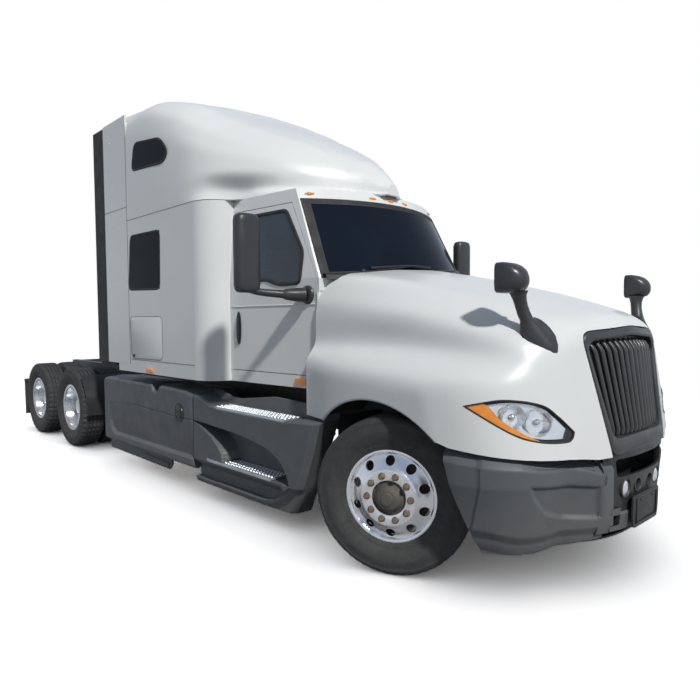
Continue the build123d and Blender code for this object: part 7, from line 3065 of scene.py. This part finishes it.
@dataclass
class StepFairings:
    """Grey fairing under each door, with a foot well, an undercut and bright treads."""

    rear: float = -2.262
    front_end: float = -0.54
    wide: float = 1.195
    inner: float = 0.945
    low: float = 0.160
    well_depth: float = 0.165
    foot_top: float = 0.375
    hole_pitch: float = 0.040
    lanes: int = 4
    corners: int = 8
    holes: tuple[Point, ...] = ((0.0150, 0.0), (0.0115, 0.0055), (0.0085, 0.0), (0.0085, -0.006))
    upper_tread: tuple[float, ...] = (-1.905, -0.925, 1.010, 1.180, 0.884)
    lower_tread: tuple[float, ...] = (-2.010, -1.075, 1.020, 1.196, 0.409)
    columns: int = 120
    rows: int = 110
    front: tuple[Point, ...] = ((0.16, -0.875), (0.30, -0.790), (0.467, -0.700), (0.718, -0.600), (0.905, -0.545))
    top: tuple[Point, ...] = (
        (-2.262, 0.962), (-2.17, 0.948), (-1.98, 0.895), (-1.83, 0.874), (-0.93, 0.872), (-0.75, 0.888), (-0.54, 0.902),
    )
    wall: tuple[Point, ...] = (
        (-2.262, 1.000), (-2.10, 0.990), (-1.95, 0.950), (-1.80, 0.945), (-1.55, 0.975), (-1.30, 1.005), (-0.75, 0.985),
        (-0.54, 0.955),
    )
    well: tuple[Point, ...] = (
        (-2.240, 0.716), (-1.900, 0.706), (-1.621, 0.690), (-1.380, 0.668), (-1.189, 0.638), (-1.060, 0.600),
        (-0.970, 0.545), (-0.900, 0.470), (-0.870, 0.393), (-1.760, 0.393), (-1.786, 0.486), (-1.850, 0.545),
        (-1.940, 0.606), (-2.066, 0.666), (-2.160, 0.700),
    )

    def build(self) -> None:
        """Make the fairings and their treads."""
        SHOP.piece(
            "step_fairing_bodies", self._body().both_sides(), GREY_PLASTIC, "chassis", replaces=("step_fairings",),
            sharp=36.0,
        )
        treads = self._tread(*self.upper_tread).join(self._tread(*self.lower_tread))
        SHOP.piece(
            "step_treads_pierced", treads.both_sides(), TREAD_ALUMINIUM, "chassis", replaces=("step_treads",),
            sharp=30.0,
        )

    def _relief(self, x: np.ndarray, z: np.ndarray) -> np.ndarray:
        """How far the outer face lies in from its widest.

        Args:
            x: distance ahead of the front axle.
            z: height.

        Returns:
            Distances inward.
        """
        depth = inside_depth(np.array(self.well), x, z)
        near_floor = smooth_step(0.42 - z, -0.02, 0.02)
        soft = 0.050 * (1 - near_floor) + 0.006 * near_floor
        well = self.well_depth * np.clip((depth + 0.004) / soft, 0.0, 1.0) ** 0.8
        strip_top = np.interp(x, [-1.22, -1.08, -0.96, -0.80], [0.205, 0.235, 0.300, 0.420])
        under = 0.070 * smooth_step(self.foot_top - z, 0.0, 0.075) * (z > strip_top)
        foot = 0.018 + 0.030 * smooth_step(strip_top - z, 0.0, 0.10)
        strip = np.where((z <= strip_top) & (z < self.foot_top), foot, 0.0)
        under *= 1 - smooth_step(x, -1.00, -0.93)
        ends = 0.010 * smooth_step(self.rear + 0.014 - x, 0.0, 0.012)
        crease = 0.006 * np.exp(-(((z - 0.716) / 0.006) ** 2)) * smooth_step(-1.95 - x, 0.0, 0.1)
        return np.maximum(np.maximum(well, under), strip) + ends + crease

    def _body(self) -> Shape:
        """Left fairing as sections from rear to front.

        Returns:
            The shape.
        """
        rings = []
        for part in np.linspace(0.0, 1.0, self.columns):
            middle = self.rear + (self.front_end - self.rear) * part
            top = np.interp(middle, *zip(*self.top))
            wall = max(np.interp(middle, *zip(*self.wall)), top + 0.012)
            z = np.linspace(top - 0.014, self.low, self.rows)
            front = np.interp(z, *zip(*self.front))
            x = self.rear + (front - self.rear) * part
            round_front = 0.045 * smooth_step(np.array(part), 0.955, 1.0) ** 2
            y = self.wide - self._relief(x, z) - round_front
            top_x = self.rear + (np.interp(top, *zip(*self.front)) - self.rear) * part
            head = [
                (top_x, self.inner, wall - 0.006), (top_x, self.inner + 0.010, wall),
                (top_x, self.inner + 0.020, wall - 0.008),
                (top_x, self.inner + 0.034, top + 0.014), (top_x, self.inner + 0.060, top + 0.006),
                (top_x, self.wide - round_front - 0.024, top), (top_x, self.wide - round_front - 0.008, top - 0.004),
            ]
            foot = [(x[-1], y[-1] - 0.012, self.low - 0.006), (x[-1], self.inner + 0.02, self.low - 0.006),
                    (x[-1], self.inner, self.low + 0.01)]
            rings.append(placed(np.vstack([head, np.stack([x, y, z], axis=1), foot])))
        return Shape.loft(rings)

    def _tread(self, rear: float, front: float, inner: float, outer: float, z: float) -> Shape:
        """Pressed sheet with rows of raised holes, and folded edges.

        Args:
            rear: its rear end.
            front: its front end.
            inner: its inboard edge.
            outer: its outboard edge.
            z: height of its face.

        Returns:
            The left tread.
        """
        count = int((front - rear) / self.hole_pitch)
        pitch = (front - rear) / count, (outer - inner) / self.lanes
        points, faces = [], []
        square = [(1, 0), (1, 1), (0, 1), (-1, 1), (-1, 0), (-1, -1), (0, -1), (1, -1)]
        for column in range(count):
            for lane in range(self.lanes):
                x, y = rear + (column + 0.5) * pitch[0], inner + (lane + 0.5) * pitch[1]
                first = len(points)
                points += [(x + a * pitch[0] / 2, y + b * pitch[1] / 2, z) for a, b in square]
                for radius, lift in self.holes:
                    turns = np.arange(self.corners) * math.pi / 4
                    points += [(x + radius * math.cos(t), y + radius * math.sin(t), z + lift) for t in turns]
                for ring in range(len(self.holes)):
                    low = first + ring * self.corners
                    high = low + self.corners
                    for n in range(self.corners):
                        after = (n + 1) % self.corners
                        faces.append((low + n, low + after, high + after, high + n))
        made = Shape(placed(np.array(points)).tolist(), faces)
        edge = [(inner, z - 0.016), (inner, z), (inner + 0.001, z + 0.0015), (inner - 0.010, z + 0.0015),
                (inner - 0.010, z - 0.016)]
        lip = [(outer, z), (outer + 0.006, z - 0.003), (outer + 0.008, z - 0.010), (outer + 0.006, z - 0.026),
               (outer - 0.002, z - 0.026), (outer - 0.002, z)]
        for section in (edge, lip):
            made.join(Shape.loft([
                placed(np.array([(x, y, height) for y, height in section])) for x in (rear, front)
            ]))
        for x in (rear - 0.006, front):
            plate = [(inner, z - 0.016), (outer + 0.006, z - 0.016), (outer + 0.006, z), (inner, z + 0.001)]
            made.join(Shape.prism(plate, (ahead(x), 0.0, 0.0), (0, 1, 0), (0, 0, 1), 0.006))
        return made


@dataclass
class TankFairings:
    """Grey fairing over each tank, with its swaged panel, skirt and filler cap."""

    rear: float = -4.345
    front: float = -2.270
    inner: float = 0.720
    wide: float = 1.203
    low: float = 0.266
    columns: int = 110
    rows: int = 90
    cap: Point = (-2.495, 0.772)
    notch_x: float = -3.02
    notch_size: float = 0.075
    panel: tuple[Point, ...] = (
        (-4.135, 0.72), (-4.135, 0.50), (-4.105, 0.40), (-4.03, 0.352), (-2.20, 0.352), (-2.20, 0.716),
        (-2.63, 0.718), (-3.66, 0.748),
    )
    top: tuple[Point, ...] = (
        (-4.345, 0.985), (-4.28, 1.0), (-3.15, 1.0), (-2.75, 1.0), (-2.40, 0.985), (-2.27, 0.965),
    )
    lean: tuple[Point, ...] = ((0.266, -4.270), (0.50, -4.345), (0.812, -4.335), (0.98, -4.262))

    def build(self) -> None:
        """Make the fairings, skirts and caps."""
        SHOP.piece(
            "tank_fairing_bodies", self._body().both_sides(), GREY_PLASTIC, "chassis", replaces=("tank_fairings",),
            sharp=36.0,
        )
        SHOP.piece("tank_fairing_skirts", self._skirt().both_sides(), GREY_PLASTIC, "chassis", sharp=36.0, bevel=0.003)
        SHOP.piece("filler_caps", self._cap().both_sides(), BLACK_PLASTIC, "chassis", sharp=40.0)

    def _relief(self, x: np.ndarray, z: np.ndarray) -> np.ndarray:
        """How far the outer face lies in from its widest.

        Args:
            x: distance ahead of the front axle.
            z: height.

        Returns:
            Distances inward.
        """
        depth = inside_depth(np.array(self.panel), x, z)
        taper = 0.004 + 0.036 * np.clip((0.70 - z) / 0.35, 0.0, 1.0) ** 1.3
        swage = taper * smooth_step(depth, -0.004, 0.030)
        crease = 0.007 * np.exp(-((depth / 0.006) ** 2)) * smooth_step(x, -3.75, -3.35) * (z > 0.6)
        hem = 0.034 * smooth_step(0.300 - z, 0.0, 0.035)
        ends = 0.055 * smooth_step(self.rear + 0.09 - x, 0.0, 0.09) ** 2
        gap = 0.012 * smooth_step(x - (self.front - 0.012), 0.0, 0.010)
        return np.maximum(swage, hem) + crease + ends + gap

    def _body(self) -> Shape:
        """Left fairing as sections from rear to front.

        Returns:
            The shape.
        """
        rings = []
        for middle in np.linspace(self.rear, self.front, self.columns):
            notch = self.notch_size * np.exp(-(((middle - self.notch_x) / self.notch_size) ** 4))
            top = np.interp(middle, *zip(*self.top)) - notch
            z = np.linspace(top - 0.028, self.low, self.rows)
            lean = np.interp(z, *zip(*self.lean))
            x = lean + (self.front - lean) * (middle - self.rear) / (self.front - self.rear)
            y = self.wide - self._relief(x, z)
            head = [
                (x[0], self.inner, 0.985), (x[0], self.inner + 0.26, 1.006 - notch * 0.2),
                (x[0], y[0] - 0.060, top + 0.002),
                (x[0], y[0] - 0.026, top - 0.002), (x[0], y[0] - 0.008, top - 0.012),
            ]
            foot = [(x[-1], y[-1] - 0.02, 0.260), (x[-1], y[-1] - 0.05, 0.275), (x[0], y[-1] - 0.05, 0.90),
                    (x[0], self.inner, 0.965)]
            rings.append(placed(np.vstack([head, np.stack([x, y, z], axis=1), foot])))
        return Shape.loft(rings)

    @staticmethod
    def _skirt() -> Shape:
        """Lower skirt set back under the panel, with a raised wedge.

        Returns:
            The shape.
        """
        made = Shape()
        ring = [(-4.30, 0.275), (-4.30, 0.150), (-2.86, 0.140), (-2.80, 0.205), (-2.82, 0.275)]
        made.join(Shape.prism(ring, (ahead(0.0), 1.108, 0.0), (1, 0, 0), (0, 0, 1), -0.020))
        wedge = [(-3.60, 0.155), (-2.89, 0.150), (-2.84, 0.205), (-3.42, 0.215)]
        return made.join(Shape.prism(wedge, (ahead(0.0), 1.122, 0.0), (1, 0, 0), (0, 0, 1), -0.016))

    def _cap(self) -> Shape:
        """Round cap in its dish.

        Returns:
            The shape.
        """
        x, z = self.cap
        centre = (ahead(x), self.wide - 0.002, z)
        ring = [(-0.012, 0.088), (0.004, 0.088), (0.007, 0.082), (-0.004, 0.070), (-0.006, 0.066)]
        plug = [(-0.006, 0.066), (0.010, 0.060), (0.014, 0.050), (0.012, 0.020), (0.012, 0.001)]
        made = Shape.lathe(ring, centre, (0, 1, 0), 40, closed=False)
        made.join(Shape.lathe(plug, centre, (0, 1, 0), 40, closed=False))
        bar = round_corners([(-0.045, -0.010), (0.045, -0.010), (0.045, 0.010), (-0.045, 0.010)], 0.006)
        return made.join(Shape.prism(bar, (centre[0], centre[1] + 0.008, z), (1, 0, 0), (0, 0, 1), -0.014))


# ---------------------------------------------------------------- cab interior
@dataclass
class Cushion:
    """Stuffed cushion: two crowned faces that meet at an edge seam, with sewn channels."""

    name: str
    centre: Point
    half: Point
    lean: float = 0.0
    channels: tuple[float, ...] = ()
    fill: float = 0.8
    square: float = 9.0
    steps: int = 46
    edge_pull: float = 0.035
    crown_rise: float = 0.14
    channel_depth: float = 0.10
    channel_width: float = 0.035

    def shape(self) -> Shape:
        """The cushion: its half sizes are ahead, across and up before it leans back.

        Returns:
            The shape.
        """
        ends = np.sin(np.linspace(-math.pi / 2, math.pi / 2, self.steps))
        u, v = np.meshgrid(ends, ends, indexing="ij")
        pull_u = 1 - self.edge_pull * (1 - v**2) * np.abs(u) ** 3
        pull_v = 1 - self.edge_pull * (1 - u**2) * np.abs(v) ** 3
        edge = np.clip(1 - np.abs(u) ** self.square, 0, 1) * np.clip(1 - np.abs(v) ** self.square, 0, 1)
        crown = (1 - self.crown_rise + self.crown_rise * (1 - u**2) * (1 - v**2)) * edge ** (1 / 2.6)
        for place in self.channels:
            crown -= self.channel_depth * np.exp(-(((np.abs(v) - place) / self.channel_width) ** 2)) * edge
        crown -= 0.05 * np.exp(-(((u - 0.45) / 0.03) ** 2)) * edge * bool(self.channels)
        turn = Matrix.Rotation(self.lean, 4, "Y")
        made = Shape()
        for side in (1, -1):
            ahead_, across, up = u * pull_u * self.half[0], v * pull_v * self.half[1], side * crown * self.half[2]
            face = np.stack([ahead_, across, up], axis=-1)
            made.join(Shape.grid(face if side > 0 else face[::-1]))
        return made.moved(Matrix.Translation(self.centre) @ turn)

    def build(self, finish: Finish) -> None:
        """Make the cushion in a finish."""
        made = SHOP.piece(self.name, self.shape(), finish, "chassis", sharp=70.0, subdivide=1)


@dataclass
class Interior:
    """Two seats on pedestals, the bunk and the steering wheel."""

    seat_y: float = 0.48
    back_lean: float = 82.0
    wheel_centre: Point = (1.80, 0.48, 1.79)
    wheel_axis: Point = (-0.819, 0.0, 0.5736)
    rim_radius: float = 0.2085
    spoke_turns: tuple[float, ...] = (0.25, math.pi - 0.25, 1.5 * math.pi)

    def build(self) -> None:
        """Make the seats, the bunk and the steering wheel."""
        SHOP.piece(
            "seat_frames", self._frames().both_sides(), TRIM_GREY, "chassis", replaces=("seats",), sharp=40.0,
            bevel=0.006,
        )
        back_lean = math.radians(self.back_lean)
        for side, end in ((-1, "right"), (1, "left")):
            y = side * self.seat_y
            for cushion in (
                Cushion(f"seat_cushion_{end}", (1.575, y, 1.487), (0.225, 0.235, 0.072), channels=(0.62,)),
                Cushion(f"seat_back_{end}", (1.345, y, 1.800), (0.255, 0.230, 0.058), lean=back_lean, channels=(0.6,)),
                Cushion(f"head_rest_{end}", (1.305, y, 2.175), (0.095, 0.140, 0.045), lean=back_lean, steps=30),
            ):
                cushion.build(SEAT_CLOTH)
        SHOP.piece("bunk_base", self._bunk(), TRIM_GREY, "chassis", replaces=("bunk",), sharp=40.0, bevel=0.010)
        Cushion("bunk_mattress", (-0.102, 0.0, 1.655), (0.525, 1.150, 0.088), channels=(0.0, 0.28, 0.56, 0.84),
                fill=0.85, square=16.0, steps=70).build(BEDDING)
        Cushion("bunk_pillow", (-0.10, 0.86, 1.735), (0.30, 0.22, 0.010), fill=0.5, square=5.0, steps=30).build(BEDDING)
        SHOP.piece(
            "steering_wheel_rim", self._wheel(), BLACK_RUBBER, "steering_wheel", replaces=("steering_wheel",),
            sharp=50.0,
        )

    def _frames(self) -> Shape:
        """Left pedestal, pan and back shell.

        Returns:
            The shape.
        """
        made = Shape()
        low = round_corners([(1.36, 0.32), (1.74, 0.32), (1.74, 0.64), (1.36, 0.64)], 0.04)
        pan = round_corners([(1.33, 0.24), (1.80, 0.24), (1.80, 0.72), (1.33, 0.72)], 0.06)
        for ring, bottom, top in ((low, 1.147, 1.36), (pan, 1.35, 1.425)):
            made.join(Shape.loft([np.array([(x, y, z) for x, y in ring]) for z in (bottom, top)]))
        back = round_corners([(-0.22, 0.0), (0.22, 0.0), (0.20, 0.66), (-0.20, 0.66)], 0.07)
        return made.join(Shape.prism(back, (1.334, self.seat_y, 1.44), (0, 1, 0), (-0.09, 0, 1), -0.032))

    @staticmethod
    def _bunk() -> Shape:
        """Bunk base with a lip that keeps the mattress in.

        Returns:
            The shape.
        """
        ring = round_corners([(-0.630, -1.157), (0.427, -1.157), (0.427, 1.157), (-0.630, 1.157)], 0.03)
        middle = ring.mean(axis=0)
        levels = ((1.147, 1.0), (1.570, 1.0), (1.580, 0.998), (1.566, 0.975))
        return Shape.loft([np.array([(*(middle + (spot - middle) * grow), z) for spot in ring]) for z, grow in levels])

    def _wheel(self) -> Shape:
        """Rim, three spokes, hub pad and column.

        Returns:
            The shape.
        """
        centre, axis = np.array(self.wheel_centre), Vector(self.wheel_axis).normalized()
        turns = np.linspace(0, 2 * math.pi, 14, endpoint=False)
        rim = [(0.0155 * math.sin(t), self.rim_radius + 0.0150 * math.cos(t)) for t in turns]
        made = Shape.lathe(rim, centre, axis, 64)
        across = Vector((0, 1, 0))
        up = axis.cross(across)
        for turn in self.spoke_turns:
            spoke = across * math.cos(turn) + up * math.sin(turn)
            drops = ((0.03, 0.030), (0.10, 0.024), (0.17, 0.008), (0.207, 0.0))
            path = [Vector(centre) + spoke * r - axis * drop for r, drop in drops]
            made.join(Shape.tube(np.array(path), [0.026, 0.020, 0.016, 0.013], sides=12, flat=0.55))
        hub = [(0.004, 0.001), (0.002, 0.040), (-0.010, 0.062), (-0.034, 0.066), (-0.050, 0.045), (-0.060, 0.030),
               (-0.245, 0.028), (-0.250, 0.001)]
        return made.join(Shape.lathe(hub, centre, axis, 36, closed=False))


@dataclass
class BodyDetails:
    """Dark sheet of painted shade behind the bumper, splash panels, and the extenders' rivets and ribs."""

    painted_shade_liner_half: float = 1.02
    splash_x: float = -0.585
    splash_rib_x: float = -0.577
    splash_ribs: tuple[float, ...] = (0.50, 0.65, 0.80)
    rivet_spot: Point = (-3.90, 1.2148)
    rivet_span: Point = (1.28, 3.70)
    rib_span: Point = (-4.34, -4.14)
    rib_y: float = 1.2115

    def build(self) -> None:
        """Make the remaining pieces."""
        # Dark sheet of painted shade that stands for the shaded hollow behind the bumper's openings.
        SHOP.piece("bumper_liner", self._painted_shade_liner(), BLACK_PLASTIC, "chassis", sharp=40.0)
        SHOP.piece("wheel_splash_panels", self._splash().both_sides(), BLACK_PLASTIC, "chassis", sharp=40.0)
        SHOP.piece("extender_rivets", self._rivets().both_sides(), CHROME_TRIM, "chassis", sharp=50.0)
        SHOP.piece("extender_edge_ribs", self._ribs().both_sides(), BLACK_RUBBER, "chassis", sharp=50.0)

    def _painted_shade_liner(self) -> Shape:
        """Dark sheet of painted shade inside the bumper that closes the view behind its openings.

        Returns:
            The shape.
        """
        heights = np.array([0.296, 0.300, 0.312, 0.312, 0.790, 0.810])
        outward = np.array([-0.180, -0.050, -0.050, -0.165, -0.165, -0.180])
        rings = []
        for run in np.linspace(-self.painted_shade_liner_half, self.painted_shade_liner_half, 41):
            points = FACE.at(abs(run), heights, outward)
            points[:, 1] *= 1.0 if run >= 0 else -1.0
            rings.append(placed(points))
        return Shape.loft(rings)

    def _splash(self) -> Shape:
        """Left upright panel behind the steered wheel, folded at its foot.

        Returns:
            The shape.
        """
        ring = round_corners([(0.460, 0.420), (0.700, 0.330), (0.940, 0.330), (0.940, 0.930), (0.460, 0.930)], 0.03)
        made = Shape.prism(ring, (ahead(self.splash_x), 0.0, 0.0), (0, 1, 0), (0, 0, 1), 0.008)
        for z in self.splash_ribs:
            path = np.array([(ahead(self.splash_rib_x), y, z) for y in np.linspace(0.50, 0.90, 10)])
            made.join(Shape.tube(path, 0.006, sides=8))
        return made

    def _rivets(self) -> Shape:
        """Rivet heads down the seam between sleeper and extender.

        Returns:
            The shape.
        """
        made = Shape()
        head = [(0.0, 0.007), (0.0015, 0.0065), (0.003, 0.004), (0.0034, 0.0004)]
        x, y = self.rivet_spot
        for z in np.linspace(*self.rivet_span, 22):
            made.join(Shape.lathe(head, (ahead(x), y, z), (0, 1, 0), 10, closed=False))
        return made

    def _ribs(self) -> Shape:
        """Upright ribs moulded in the rubber edge.

        Returns:
            The shape.
        """
        made = Shape()
        for x in np.linspace(*self.rib_span, 5):
            path = np.array([(ahead(x), self.rib_y, z) for z in np.linspace(1.24, 3.74, 12)])
            made.join(Shape.tube(path, 0.004, sides=8))
        return made


def dress_frame() -> None:
    """Give every frame node the finish of its material slot."""
    slots = {row["node"]: row["material_slot"] for row in frame["record"]["subparts"]}
    for name, node in frame["nodes"].items():
        finish = SLOT_FINISHES[slots[name]]
        node.data.materials.clear()
        node.data.materials.append(finish.material())


def main() -> None:
    """Build the scene in order."""
    logging.basicConfig(level=logging.INFO)
    Studio().build()
    dress_frame()
    assemblies = (
        Hood(), Grille(), Headlamp(), RoofFairing(), Sleeper(), Windshield(), DoorTrim(-1), DoorTrim(1), RoofLamps(),
        Bumper(), HoodMirrors(), Wheels(), StepFairings(), TankFairings(), Interior(), BodyDetails(),
    )
    for assembly in assemblies:
        assembly.build()


if __name__ == "__main__":
    main()
